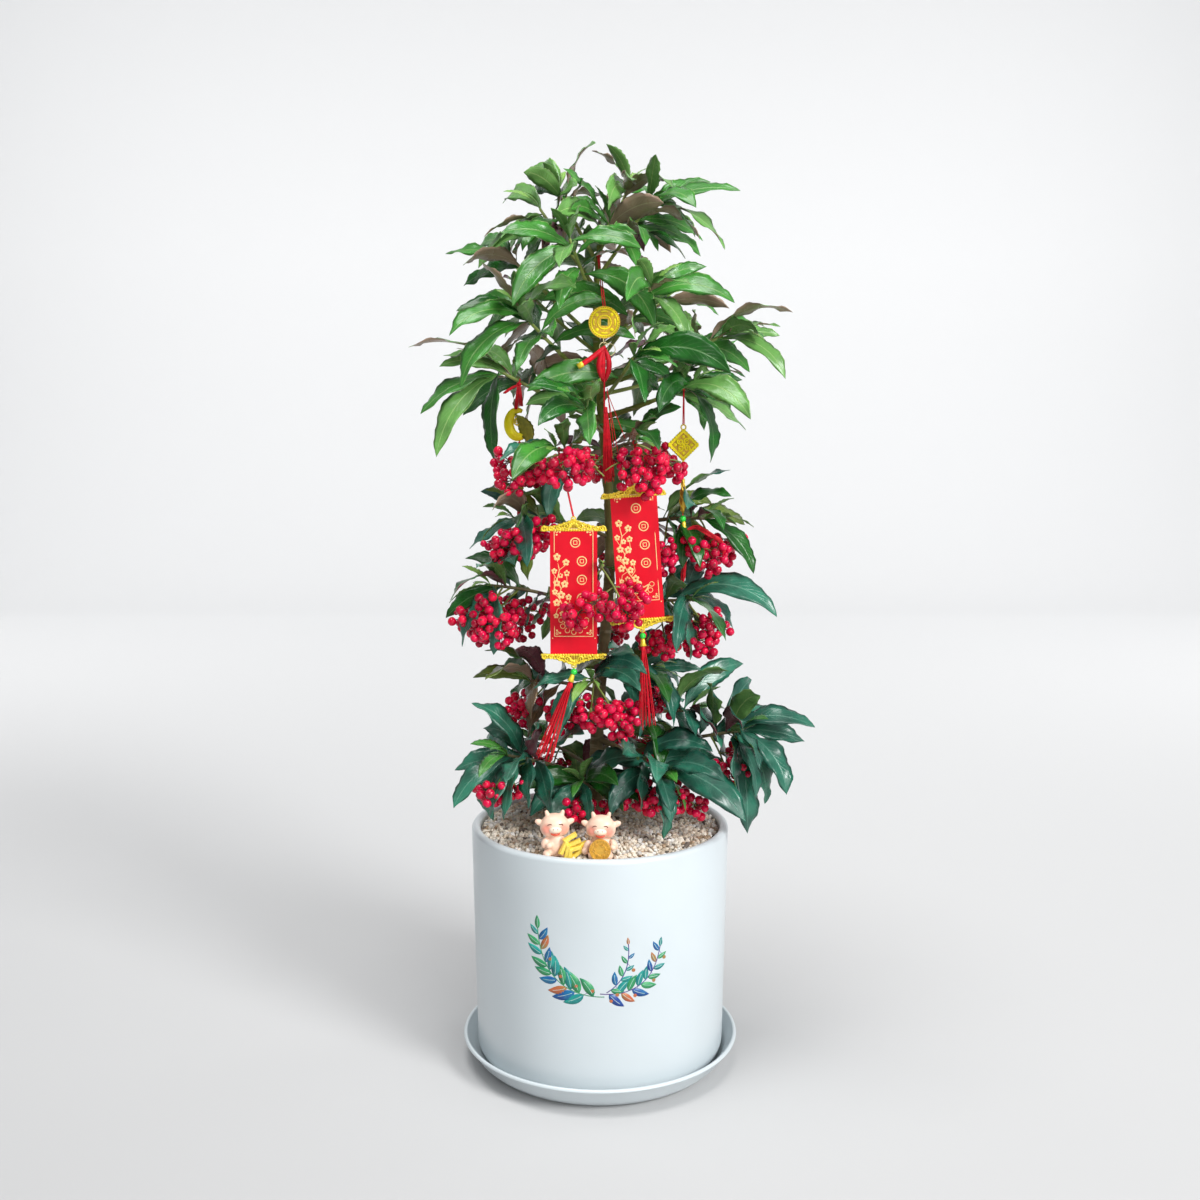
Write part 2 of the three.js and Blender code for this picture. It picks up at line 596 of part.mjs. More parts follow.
// Whether a body is clear of all that other owners have placed
function isFree(owner, body) {
  return !meets(body, placed.filter((other) => other.owner !== owner));
}

// Whether the far part of a leaf, or a berry, is clear of its own mass
function isOpen(owner, body) {
  return !meets(body, placed.filter((other) => other.owner === owner));
}

function freeLeaf(owner, leaf) {
  for (const factor of LENGTH_TRIES) {
    for (const offset of HEADING_TRIES) {
      const moved = { ...leaf, length: leaf.length * factor, heading: leaf.heading + radians(offset) };
      const open = isOpen(owner, leafSolid(moved, 0, BLADE_FROM));
      if (open && isFree(owner, leafSolid(moved, GUARD))) return moved;
    }
  }
  return null;
}

// A berry and its stalk in one spindle, with its thin end in the umbel's stalk
function berrySolid({ joint, berry }, extra = 0) {
  const ahead = berry.clone().sub(joint).normalize();
  const across = new THREE.Vector3().crossVectors(ahead, awayFrom(ahead)).normalize();
  const over = new THREE.Vector3().crossVectors(ahead, across);
  const radius = BERRY_RADIUS + extra;
  const stages = [
    [-1, 0],
    [PEDICEL_LENGTH - radius, PEDICEL_RADIUS + extra],
    [PEDICEL_LENGTH - 0.4 * radius, radius],
    [PEDICEL_LENGTH + 0.5 * radius, 0.9 * radius],
    [PEDICEL_LENGTH + radius, 0],
  ];
  const geometry = closed(new THREE.SphereGeometry(1, 3, 4));
  const position = geometry.attributes.position;
  for (let i = 0; i < position.count; i += 1) {
    const share = Math.acos(THREE.MathUtils.clamp(position.getY(i), -1, 1)) / Math.PI;
    const [along, reach] = stages[Math.round(4 * share)];
    const ring = Math.max(Math.sin(share * Math.PI), 1e-6);
    const point = joint.clone().addScaledVector(ahead, along);
    point.addScaledVector(across, (reach * position.getX(i)) / ring);
    point.addScaledVector(over, (reach * position.getZ(i)) / ring);
    position.setXYZ(i, point.x, point.y, point.z);
  }
  return solid(geometry);
}

// Masses: every stem is placed first, then the leads, the umbels and the leaves that fill in

function sprout(lateral, seed) {
  const random = seeded(seed);
  random();
  const stem = stemOf(lateral);
  const leaves = leavesOf(lateral, stem, random);
  const umbels = umbelsOf(lateral, stem, random);
  return { lateral, name: lateral.name, stem, leaves, umbels, pieces: [] };
}

function keep(sprig, body) {
  sprig.pieces.push(body);
  place(sprig.name, body);
}

function growStem(sprig) {
  const { lateral, stem } = sprig;
  const from = lateral.bough ? lateral.bough + CLEAR / stem.length : 0;
  keep(sprig, stemPiece(lateral, stem, from, 1, 3, 2).subtract(trunkGuard));
}

function growLeaves(sprig, steps) {
  sprig.leaves.filter((leaf) => leaf.steps === steps).forEach((leaf) => {
    const kept = freeLeaf(sprig.name, leaf);
    if (kept) keep(sprig, leafSolid(kept));
  });
}

function growUmbels(sprig) {
  sprig.umbels.forEach(({ root, centre, berries }) => {
    if (!isFree(sprig.name, rod(root, centre, PEDUNCLE_RADIUS + GUARD, 3))) return;
    keep(sprig, rod(root, centre, PEDUNCLE_RADIUS, 3, 1.4 * PEDUNCLE_RADIUS));
    berries.filter((fruit) => isOpen(sprig.name, ball(fruit.berry, BERRY_BULK, 4, 3)))
      .filter((fruit) => isFree(sprig.name, berrySolid(fruit, GUARD)))
      .forEach((fruit) => keep(sprig, berrySolid(fruit)));
  });
}

// Ornaments

// The point just below a stem from which a string hangs
function carrierPoint(name, share) {
  const lateral = LATERALS.find((one) => one.name === name);
  const stem = stemOf(lateral);
  const point = stem.curve.getPoint(share);
  return point.addScaledVector(UP, -stemRadius(lateral, share) - HANG_GAP);
}

// Ornate bar: a flat base line, a tall middle lobe and a curl at each end
function finial(direction) {
  const half = FINIAL_WIDTH / 2;
  const outline = new THREE.Shape();
  outline.moveTo(-half, 0);
  outline.lineTo(half, 0);
  outline.quadraticCurveTo(half + 1, 0.7 * FINIAL_HEIGHT, half - 6, 0.62 * FINIAL_HEIGHT);
  outline.quadraticCurveTo(half - 16, 0.35 * FINIAL_HEIGHT, 8, 0.55 * FINIAL_HEIGHT);
  outline.lineTo(0, FINIAL_HEIGHT);
  outline.lineTo(-8, 0.55 * FINIAL_HEIGHT);
  outline.quadraticCurveTo(-half + 16, 0.35 * FINIAL_HEIGHT, -half + 6, 0.62 * FINIAL_HEIGHT);
  outline.quadraticCurveTo(-half - 1, 0.7 * FINIAL_HEIGHT, -half, 0);
  const depth = FINIAL_THICKNESS;
  const settings = { depth, curveSegments: 1, bevelEnabled: false };
  const geometry = closed(new THREE.ExtrudeGeometry(outline, settings));
  geometry.rotateX(Math.PI / 2);
  geometry.translate(0, depth / 2, 0);
  if (direction < 0) geometry.rotateY(Math.PI);
  return geometry;
}

function makeScroll({ carrier, share, top, lean, tassel }) {
  const hung = carrierPoint(carrier, share);
  const hanging = new THREE.Matrix4().makeRotationY(-radians(lean));
  hanging.setPosition(...top);
  const at = (x, z) => vector(x, 0, z).applyMatrix4(hanging);
  const sunk = FINIAL_THICKNESS / 2;
  const panel = closed(new THREE.BoxGeometry(SCROLL_WIDTH, SCROLL_THICKNESS, SCROLL_HEIGHT + 2 * sunk));
  panel.translate(0, 0, -FINIAL_HEIGHT - SCROLL_HEIGHT / 2);
  const upper = finial(1);
  upper.translate(0, 0, -FINIAL_HEIGHT);
  const lower = finial(-1);
  lower.translate(0, 0, -FINIAL_HEIGHT - SCROLL_HEIGHT);
  const foot = -2 * FINIAL_HEIGHT - SCROLL_HEIGHT;
  const bead = at(0, foot - SCROLL_BEAD.drop);
  const end = vector(...tassel);
  return oneBody([
    rod(hung, at(0, -FINIAL_HEIGHT / 3), STRING_RADIUS),
    ...[panel, upper, lower].map((geometry) => solid(geometry.applyMatrix4(hanging))),
    rod(at(0, foot + FINIAL_HEIGHT / 2), bead, SCROLL_BEAD.link),
    ball(bead, vector(...SCROLL_BEAD.size), 5, 4),
    rod(bead, end, SCROLL_TASSEL.top, 5, SCROLL_TASSEL.end),
  ]);
}

function makeCoinCharm() {
  const trunkFront = trunkAxis(COIN.hangs);
  trunkFront.y -= trunkRadius(COIN.hangs) + CLEAR;
  const centre = vector(...COIN.centre);
  const at = (z) => vector(centre.x, centre.y, z);
  const disc = closed(new THREE.CylinderGeometry(COIN.radius, COIN.radius, COIN.thickness, 16));
  disc.translate(centre.x, centre.y, centre.z);
  const hole = closed(new THREE.BoxGeometry(COIN.hole, 3 * COIN.thickness, COIN.hole));
  hole.translate(centre.x, centre.y, centre.z);
  return oneBody([
    rod(trunkFront, at(centre.z + COIN.radius - COIN.thickness), STRING_RADIUS),
    solid(disc).subtract(solid(hole)),
    rod(at(centre.z - COIN.radius + COIN.thickness), at(COIN_TASSEL.end), STRING_RADIUS),
    ball(at(COIN_KNOT.z), vector(...COIN_KNOT.size), 6, 4),
    rod(at(COIN_TASSEL.top), at(COIN_TASSEL.end), TASSEL_TOP_RADIUS, 6, COIN_TASSEL.radius),
  ]).subtract(trunkGuard);
}

function makeBowCharm() {
  const top = carrierPoint(BOW_CHARM.carrier, BOW_CHARM.share);
  const at = (z) => vector(top.x, top.y, z);
  return oneBody([
    rod(top, at(BOW_TASSEL.end), STRING_RADIUS),
    ball(at(BOW_GEM.z), vector(...BOW_GEM.size), 6, 5),
    rod(at(BOW_TUBE.top), at(BOW_TUBE.end), BOW_TUBE.radius, 5),
    rod(at(BOW_TUBE.end + BOW_TUBE.radius), at(BOW_TASSEL.end), TASSEL_TOP_RADIUS, 5, BOW_TASSEL.radius),
  ]);
}

function makePlaqueCharm() {
  const top = carrierPoint(PLAQUE.carrier, PLAQUE.share);
  const at = (z, x = 0) => vector(top.x + x, top.y, z);
  const plate = slab(PLAQUE.side, PLAQUE.thickness, PLAQUE.side, Math.PI / 4);
  const swags = PLAQUE_SWAGS.map(({ from, to, radii, sides }) => {
    const start = at(PLAQUE_BEAD.z + from[1], from[0]);
    const end = at(PLAQUE_BEAD.z + to[1], to[0]);
    return rod(start, end, radii[0], sides, radii[1]);
  });
  return oneBody([
    rod(top, at(PLAQUE_BEAD.z), STRING_RADIUS),
    plate.translate(top.x, top.y, PLAQUE.z),
    rod(at(PLAQUE_SPINDLE.top), at(PLAQUE_SPINDLE.end), PLAQUE_SPINDLE.radius, 5),
    ball(at(PLAQUE_BEAD.z), vector(...PLAQUE_BEAD.size), 5, 3),
    ...swags,
  ]);
}

// A seated calf, seen from the front: round body, big head, horns, ears, snout and arms
function makeCalf({ base, turn, bars }) {
  const snoutAt = vector(0, CALF_SNOUT.y, CALF_SNOUT.z);
  const parts = [
    ball(vector(0, 0, CALF_BODY.z), vector(...CALF_BODY.size), 6, 4),
    ball(vector(0, 0, CALF_HEAD.z), vector(...CALF_HEAD.size), 6, 5),
    ball(snoutAt, vector(...CALF_SNOUT.size), 4, 3),
  ];
  [-1, 1].forEach((hand) => {
    const [footX, footZ] = CALF_HORN.foot;
    const [hipX, ...hip] = CALF_LEG.hip;
    const [hoofX, ...hoof] = CALF_LEG.hoof;
    const hornFoot = vector(hand * footX, 0, footZ);
    const hornTip = vector(hand * CALF_HORN.tip, 0, CALF_HEIGHT);
    const legFrom = vector(hand * hipX, ...hip);
    const legTo = vector(hand * hoofX, ...hoof);
    parts.push(ball(vector(hand * CALF_EAR.x, 0, CALF_EAR.z), vector(...CALF_EAR.size), 4, 3));
    parts.push(rod(hornFoot, hornTip, CALF_HORN.radii[0], 3, CALF_HORN.radii[1]));
    parts.push(rod(legFrom, legTo, CALF_LEG.radii[0], 4, CALF_LEG.radii[1]));
  });
  if (bars) {
    for (let i = 0; i < BAR.count; i += 1) {
      const bar = slab(...BAR.size, BAR.turn - BAR.turnStep * i);
      parts.push(bar.translate(BAR.x - i, BAR.y, BAR.z + BAR.step * i));
    }
  } else {
    const face = vector(0, HELD_COIN.y, HELD_COIN.z);
    parts.push(rod(face.clone().setY(face.y + HELD_COIN.depth), face, HELD_COIN.radius, 8));
  }
  const [x, y] = base;
  const seat = SOIL_EDGE_Z + 1;
  const body = wasm.Manifold.union(parts).rotate(0, 0, turn).translate(x, y, seat);
  return oneBody([body.subtract(soilGuard).subtract(potGuard)]);
}

// Assembly: fixed pieces first, then limbs and ornaments, then the masses that grow round them
const plant = new THREE.Group();

function add(name, body, material) {
  place(name, body);
  plant.add(meshOf(name, body, material));
}

const trunkFoot = SOIL_TOP_Z + CLEAR;
const trunkGuard = makeTrunk(trunkFoot - 1, TRUNK_TOP_Z + CLEAR, CLEAR + 0.05);
const pot = makePot();
const soil = makeSoil();
const soilGuard = soil.translate(0, 0, CLEAR);
const potGuard = pot.add(pot.translate(0, 0, CLEAR)).add(pot.scale([0.995, 0.995, 1]));

add('pot', pot, glaze);
add('saucer', makeSaucer(), glaze);
add('soil', soil, gravel);
add('trunk', makeTrunk(trunkFoot, TRUNK_TOP_Z, 0), bark);
LATERALS.filter((lateral) => lateral.bough).forEach((lateral) => {
  const limbBody = stemPiece(lateral, stemOf(lateral), 0, lateral.bough, 5, 3);
  add(`bough_${lateral.name}`, oneBody([limbBody.subtract(trunkGuard)]), bark);
});
SCROLLS.forEach((scroll) => add(scroll.name, makeScroll(scroll), red));
add('coin_charm', makeCoinCharm(), gold);
add('bow_charm', makeBowCharm(), gold);
add('plaque_charm', makePlaqueCharm(), gold);
CALVES.forEach((calf) => add(calf.name, makeCalf(calf), skin));

const sprigs = LATERALS.map((lateral, i) => sprout(lateral, SEED + SEED_STEP * i));
sprigs.forEach(growStem);
sprigs.forEach((sprig) => growLeaves(sprig, LEAD_STEPS));
sprigs.forEach(growUmbels);
sprigs.forEach((sprig) => growLeaves(sprig, FILL_STEPS));
sprigs.forEach(({ lateral, name, pieces }) => {
  plant.add(meshOf(name, oneBody(pieces), greens[lateral.kind]));
});

export default plant;
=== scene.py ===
"""Looks of the potted coral ardisia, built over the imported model.

The file is laid out as an add-on for Blender 4.5 and is run as a script. Each piece has its own
operator, the settings hold the sizes and colours, and main() makes the plant from the stage up.
Leaves, twigs and berries grow by the same seeded rule as the solids, carried on to finer ones.
"""
import math
from dataclasses import dataclass, field

import bpy
import numpy as np
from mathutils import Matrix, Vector
from mathutils.bvhtree import BVHTree


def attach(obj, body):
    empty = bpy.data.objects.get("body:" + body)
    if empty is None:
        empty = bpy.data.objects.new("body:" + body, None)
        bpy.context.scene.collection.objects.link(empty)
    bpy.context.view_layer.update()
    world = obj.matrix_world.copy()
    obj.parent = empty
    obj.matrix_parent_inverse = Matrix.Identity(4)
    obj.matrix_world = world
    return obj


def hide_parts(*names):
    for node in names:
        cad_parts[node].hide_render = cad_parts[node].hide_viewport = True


bl_info = {
    "name": "Potted Coral Ardisia",
    "version": (1, 0, 0),
    "blender": (4, 5, 0),
    "location": "3D Viewport > Sidebar > Ardisia",
    "description": "Builds a potted coral ardisia with red berries and hanging ornaments",
    "category": "Add Mesh",
}

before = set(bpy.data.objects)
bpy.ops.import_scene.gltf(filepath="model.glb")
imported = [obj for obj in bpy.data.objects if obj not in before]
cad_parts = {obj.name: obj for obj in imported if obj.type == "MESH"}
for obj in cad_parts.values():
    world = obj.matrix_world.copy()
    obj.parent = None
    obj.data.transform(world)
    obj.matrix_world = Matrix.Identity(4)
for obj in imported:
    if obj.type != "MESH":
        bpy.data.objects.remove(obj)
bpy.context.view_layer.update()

MM = 0.001
UP = np.array((0.0, 0.0, 1.0))
GOLDEN = 137.5


# Settings

def length(name, description, default):
    """A size in metres."""
    return bpy.props.FloatProperty(
        name=name, description=description, default=default, min=0.0, unit="LENGTH", precision=4)


def colour(name, description, default):
    """A linear colour."""
    return bpy.props.FloatVectorProperty(
        name=name, description=description, default=default, size=3, min=0.0, max=1.0,
        subtype="COLOR")


def count(name, description, default):
    """A whole number of pieces."""
    return bpy.props.IntProperty(name=name, description=description, default=default, min=1)


class ArdisiaPotSettings(bpy.types.PropertyGroup):
    """Sizes and colours of the pot, the saucer and the gravel."""

    foot_radius: length("Foot radius", "Radius of the pot's flat foot", 0.108)
    low_radius: length("Low radius", "Radius above the rounded foot", 0.124)
    rim_radius: length("Rim radius", "Outer radius at the rim", 0.128)
    foot_height: length("Foot height", "Height of the foot above the floor", 0.006)
    top: length("Top", "Height of the rim above the floor", 0.242)
    wall: length("Wall", "Thickness of the wall", 0.009)
    saucer_foot: length("Saucer foot", "Radius of the saucer's flat underside", 0.113)
    saucer_rim: length("Saucer rim", "Outer radius of the saucer", 0.1385)
    saucer_height: length("Saucer height", "Height of the saucer's rim", 0.0255)
    gravel_edge: length("Gravel edge", "Height of the gravel at the wall", 0.236)
    gravel_top: length("Gravel top", "Height of the gravel at the trunk", 0.247)
    pebbles: count("Pebbles", "Number of pebbles on the gravel bed", 2500)
    sides: count("Sides", "Faces round the pot", 160)
    glaze: colour("Glaze", "White of the glaze", (0.615, 0.675, 0.70))


class ArdisiaPlantSettings(bpy.types.PropertyGroup):
    """Sizes and colours of the trunk, the leaves and the fruit."""

    leaf_thickness: length("Leaf thickness", "Thickness at the middle of a blade", 0.0006)
    berry_radius: length("Berry radius", "Radius of a ripe berry", 0.0045)
    berries: count("Berries", "Berries of a main umbel", 18)
    side_berries: count("Side berries", "Berries of each umbel at its side", 11)
    young_leaves: count("Young leaves", "Small leaves at a shoot's tip", 4)
    fresh: colour("Fresh leaf", "Light top of an upper leaf", (0.138, 0.345, 0.078))
    middle: colour("Middle leaf", "Usual top of an upper leaf", (0.052, 0.245, 0.032))
    deep: colour("Deep leaf", "Shaded top of an upper leaf", (0.014, 0.125, 0.013))
    teal: colour("Teal leaf", "Top of a low leaf", (0.035, 0.205, 0.126))
    ripe: colour("Ripe berry", "Crimson of the berries", (0.76, 0.004, 0.065))


class ArdisiaOrnamentSettings(bpy.types.PropertyGroup):
    """Sizes and colours of the hanging ornaments and the calf figures."""

    scroll_width: length("Scroll width", "Width of a scroll's red panel", 0.043)
    scroll_height: length("Scroll height", "Height of a scroll's red panel", 0.112)
    finial_width: length("Finial width", "Width of the gilt bars", 0.061)
    coin_radius: length("Coin radius", "Radius of the hanging coin", 0.0145)
    plaque_side: length("Plaque side", "Side of the square plaque", 0.020)
    strands: count("Strands", "Threads of a tassel", 34)
    cloth: colour("Cloth", "Red of the scrolls", (0.74, 0.003, 0.018))
    thread: colour("Thread", "Red of cords and tassels", (0.78, 0.008, 0.025))
    gilt: colour("Gilt", "Yellow gold of the bars and charms", (0.97, 0.74, 0.045))


class ArdisiaStageSettings(bpy.types.PropertyGroup):
    """The camera's place and the studio round the plant."""

    distance: length("Distance", "Camera's distance in front of the trunk", 1.26)
    height: length("Height", "Camera's height above the floor", 0.617)
    pitch: bpy.props.FloatProperty(
        name="Pitch", description="Angle that the camera looks down", default=math.radians(6.9),
        subtype="ANGLE")
    lens: bpy.props.FloatProperty(
        name="Lens", description="Focal length on a 36 mm sensor", default=38.73, min=1.0)
    # The floor is a darker grey than the wall: painted shade that tones down the lamps' strong
    # light on the floor near the plant.
    floor: colour("Floor", "Pale grey of the floor under the plant", (0.53, 0.53, 0.53))
    backdrop: colour("Backdrop", "Pale grey of the wall", (0.90, 0.90, 0.90))


def pot_settings():
    return bpy.context.scene.ardisia_pot


def plant_settings():
    return bpy.context.scene.ardisia_plant


def ornament_settings():
    return bpy.context.scene.ardisia_ornaments


# Modelling helpers

def clear_selection():
    """Leaves edit mode and deselects everything."""
    if bpy.context.mode != "OBJECT":
        bpy.ops.object.mode_set(mode="OBJECT")
    bpy.ops.object.select_all(action="DESELECT")


def select_only(piece):
    """Makes a piece the only selected one, and the active one."""
    clear_selection()
    piece.select_set(True)
    bpy.context.view_layer.objects.active = piece


def apply_modifier(piece, kind, **values):
    """Adds a modifier to a piece, sets it and applies it."""
    select_only(piece)
    modifier = piece.modifiers.new(kind.title(), kind)
    for name, value in values.items():
        setattr(modifier, name, value)
    bpy.ops.object.modifier_apply(modifier=modifier.name)


def displace(piece, name, size, strength, direction="NORMAL"):
    """Pushes a piece's surface in and out by a clouded pattern."""
    texture = bpy.data.textures.new(name, "CLOUDS")
    texture.noise_scale = size
    apply_modifier(piece, "DISPLACE", texture=texture, texture_coords="GLOBAL",
                   direction=direction, strength=strength, mid_level=0.5)


def settle(piece):
    """Puts a piece's place, turn and scale into its mesh."""
    select_only(piece)
    bpy.ops.object.transform_apply(location=True, rotation=True, scale=True)
    return piece


def joined(pieces):
    """Joins pieces into the first of them."""
    clear_selection()
    for piece in pieces:
        piece.select_set(True)
    bpy.context.view_layer.objects.active = pieces[0]
    bpy.ops.object.join()
    return bpy.context.view_layer.objects.active


def smooth(piece, degrees):
    """Smooth shading with sharp edges kept."""
    select_only(piece)
    bpy.ops.object.shade_smooth_by_angle(angle=math.radians(degrees))
    return piece


def box_piece(width, depth, height):
    """A box at the origin, left in edit mode with all of it selected."""
    clear_selection()
    bpy.ops.mesh.primitive_cube_add(size=1.0, location=(0, 0, 0))
    piece = bpy.context.active_object
    bpy.ops.object.mode_set(mode="EDIT")
    bpy.ops.mesh.select_all(action="SELECT")
    bpy.ops.transform.resize(value=(width, depth, height))
    return piece


def pick(piece, kind, wanted):
    """Selects only the wanted parts of a kind, FACE or EDGE, and stays in edit mode."""
    bpy.ops.object.mode_set(mode="EDIT")
    bpy.ops.mesh.select_all(action="DESELECT")
    bpy.ops.object.mode_set(mode="OBJECT")
    for part in piece.data.polygons if kind == "FACE" else piece.data.edges:
        part.select = wanted(part)
    bpy.ops.object.mode_set(mode="EDIT")
    bpy.ops.mesh.select_mode(type=kind)


def coat(piece, material):
    """Gives a whole piece one material."""
    piece.data.materials.clear()
    piece.data.materials.append(material)
    return piece


def mounted(piece, name, slot, *nodes):
    """Names a finished piece and lets it ride and stand for its nodes."""
    piece.name = name
    piece.data.name = name
    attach(piece, "root")
    if nodes:
        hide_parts(*nodes)
    return piece


def turned_piece(profile, sides):
    """A round piece: a disc extruded and scaled from ring to ring of (radius, height)."""
    clear_selection()
    radius, height = profile[0]
    bpy.ops.mesh.primitive_circle_add(
        vertices=sides, radius=radius, fill_type="NGON", location=(0, 0, height))
    piece = settle(bpy.context.active_object)
    bpy.ops.object.mode_set(mode="EDIT")
    bpy.ops.mesh.select_all(action="SELECT")
    for next_radius, next_height in profile[1:]:
        bpy.ops.mesh.extrude_region_move(
            TRANSFORM_OT_translate={"value": (0, 0, next_height - height)})
        scale = next_radius / radius
        bpy.ops.transform.resize(value=(scale, scale, 1), center_override=(0, 0, next_height))
        radius, height = next_radius, next_height
    bpy.ops.mesh.select_all(action="SELECT")
    bpy.ops.mesh.normals_make_consistent(inside=False)
    bpy.ops.object.mode_set(mode="OBJECT")
    return piece


def arc(centre_radius, centre_height, radius, start, end, steps):
    """Rings along an arc of a turned profile, with the angles in degrees."""
    rings = []
    for step in range(steps + 1):
        angle = math.radians(start + (end - start) * step / steps)
        rings.append((centre_radius + radius * math.cos(angle),
                      centre_height + radius * math.sin(angle)))
    return rings


def swept_piece(path, radii, sides):
    """A round limb along a path in millimetres, as a bevelled curve made a mesh."""
    clear_selection()
    bpy.ops.curve.primitive_bezier_curve_add(location=(0, 0, 0))
    piece = bpy.context.active_object
    curve = piece.data
    curve.splines.clear()
    spline = curve.splines.new("POLY")
    spline.points.add(len(path) - 1)
    for point, place, radius in zip(spline.points, path, radii):
        point.co = (*(np.asarray(place) * MM), 1.0)
        point.radius = radius
    curve.dimensions = "3D"
    curve.bevel_depth = MM
    curve.bevel_resolution = max(0, sides // 2 - 2)
    curve.use_fill_caps = True
    bpy.ops.object.convert(target="MESH")
    return settle(bpy.context.active_object)


# Joined meshes of many small shapes, in millimetres

class Heap:
    """Gathers the points and faces of small shapes for one joined mesh."""

    def __init__(self):
        self.points = []
        self.faces = []
        self.slots = []
        self.marks = []
        self.total = 0

    def add(self, points, faces, slots=0, marks=None):
        """Adds a shape. A face of three corners ends with -1."""
        self.points.append(points)
        self.faces.append(np.where(faces < 0, -1, faces + self.total))
        self.slots.append(np.broadcast_to(slots, len(faces)))
        self.marks.append(np.zeros((len(points), 2)) if marks is None else marks)
        self.total += len(points)

    def add_copies(self, shape, turns, centres, sizes, slots):
        """Adds a copy of a shape for each turn (its axes as rows), centre and size."""
        points, faces = shape
        placed = np.einsum("nvi,nij->nvj", points[None] * sizes[:, None, :], turns)
        placed += centres[:, None, :]
        steps = np.arange(len(centres)) * len(points)
        copies = np.where(faces[None] < 0, -1, faces[None] + steps[:, None, None])
        slots = np.broadcast_to(slots, (len(centres), len(faces)))
        self.add(placed.reshape(-1, 3), copies.reshape(-1, 4), slots.ravel())

    def piece(self, materials):
        """The joined mesh as an object, with smooth shading."""
        points = np.concatenate(self.points) * MM
        faces = np.concatenate(self.faces)
        marks = np.concatenate(self.marks)
        corners = faces[faces >= 0]
        sizes = np.where(faces[:, 3] < 0, 3, 4)
        mesh = bpy.data.meshes.new("heap")
        mesh.vertices.add(len(points))
        mesh.vertices.foreach_set("co", points.astype(np.float32).ravel())
        mesh.loops.add(len(corners))
        mesh.loops.foreach_set("vertex_index", corners.astype(np.int32))
        mesh.polygons.add(len(faces))
        starts = np.concatenate([[0], np.cumsum(sizes)[:-1]])
        mesh.polygons.foreach_set("loop_start", starts.astype(np.int32))
        mesh.polygons.foreach_set("material_index", np.concatenate(self.slots).astype(np.int32))
        layer = mesh.uv_layers.new(name="surface")
        layer.data.foreach_set("uv", marks[corners].astype(np.float32).ravel())
        for material in materials:
            mesh.materials.append(material)
        mesh.update(calc_edges=True)
        mesh.validate()
        mesh.shade_smooth()
        piece = bpy.data.objects.new("heap", mesh)
        bpy.context.scene.collection.objects.link(piece)
        return piece


def unit(vectors):
    """Vectors brought to a length of 1."""
    return vectors / np.maximum(np.linalg.norm(vectors, axis=-1, keepdims=True), 1e-12)


def axes_along(ahead):
    """Rows of three axes for each direction: two across it, then the direction."""
    ahead = unit(np.atleast_2d(ahead))
    steep = np.abs(ahead[:, 2:3]) > 0.9
    other = np.where(steep, np.array((1.0, 0.0, 0.0)), UP)
    across = unit(np.cross(other, ahead))
    return np.stack([across, np.cross(ahead, across), ahead], axis=1)


def tube_faces(rows, sides):
    """Faces between rows of ring points, then a fan to the pole at each end. The poles are the
    last two points."""
    around = np.arange(sides)
    following = (around + 1) % sides
    blank = np.full(sides, -1)
    faces = []
    for low in np.arange(rows - 1) * sides:
        high = low + sides
        faces.append(np.stack([low + around, low + following, high + following, high + around], 1))
    pole = np.full(sides, rows * sides)
    last = (rows - 1) * sides
    faces.append(np.stack([pole, following, around, blank], 1))
    faces.append(np.stack([pole + 1, last + around, last + following, blank], 1))
    return np.concatenate(faces)


def rod(path, radii, sides):
    """A round rod along a path, closed at both ends, with marks round and along it."""
    path = np.asarray(path, float)
    radii = np.broadcast_to(np.asarray(radii, float), len(path))
    ahead = unit(np.gradient(path, axis=0))
    side = axes_along(ahead[:1])[0][0]
    angles = np.arange(sides) * 2 * math.pi / sides
    rings = []
    for place, radius, along in zip(path, radii, ahead):
        side = unit(side - np.dot(side, along) * along)
        over = np.cross(along, side)
        rings.append(place + radius * (np.outer(np.cos(angles), side)
                                       + np.outer(np.sin(angles), over)))
    points = np.concatenate([*rings, path[:1], path[-1:]])
    spans = np.concatenate([[0], np.cumsum(np.linalg.norm(np.diff(path, axis=0), axis=1))])
    marks = np.stack([np.tile(np.arange(sides) / sides, len(path)), np.repeat(spans, sides)], 1)
    marks = np.concatenate([marks, [[0, 0], [0, spans[-1]]]])
    return points, tube_faces(len(path), sides), marks


def add_rod(heap, path, radii, sides, slot):
    """Adds a round rod along a path."""
    points, faces, marks = rod(path, radii, sides)
    heap.add(points, faces, slot, marks)


def ball_shape(polar, columns):
    """A unit ball about +Z, with rings at the polar angles given in degrees, pole to pole."""
    turns = np.arange(columns) * 2 * math.pi / columns
    rings = [np.stack([math.sin(a) * np.cos(turns), math.sin(a) * np.sin(turns),
                       np.full(columns, math.cos(a))], 1) for a in np.radians(polar[1:-1])]
    faces = tube_faces(len(rings), columns)
    outward = np.where(faces[:, 3:] < 0, faces[:, (0, 2, 1, 3)], faces[:, (0, 3, 2, 1)])
    return np.concatenate([*rings, [[0, 0, 1], [0, 0, -1]]]), outward


def three_cornered(faces):
    """The triangles of faces that have three or four corners."""
    return faces[:, :3].tolist() + faces[faces[:, 3] >= 0][:, (0, 2, 3)].tolist()


BEAD = ball_shape((0, 36, 72, 108, 144, 180), 8)
ROUND_BEAD = ball_shape((0, 22, 45, 67, 90, 113, 135, 158, 180), 14)


def add_ball(heap, centre, size, slot, shape=BEAD):
    """Adds one ball, stretched to size along its axes."""
    sizes = np.broadcast_to(np.asarray(size, float), (1, 3))
    heap.add_copies(shape, np.eye(3)[None], np.asarray(centre, float)[None], sizes, slot)


def seeded(seed):
    """The source's random rule: each draw is a share from 0 to 1."""
    state = seed

    def draw():
        nonlocal state
        state = state * 48271 % 2147483647
        return state / 2147483647

    return draw


# Growth: trunk, laterals, leaves and umbels, as in the part's source, in millimetres

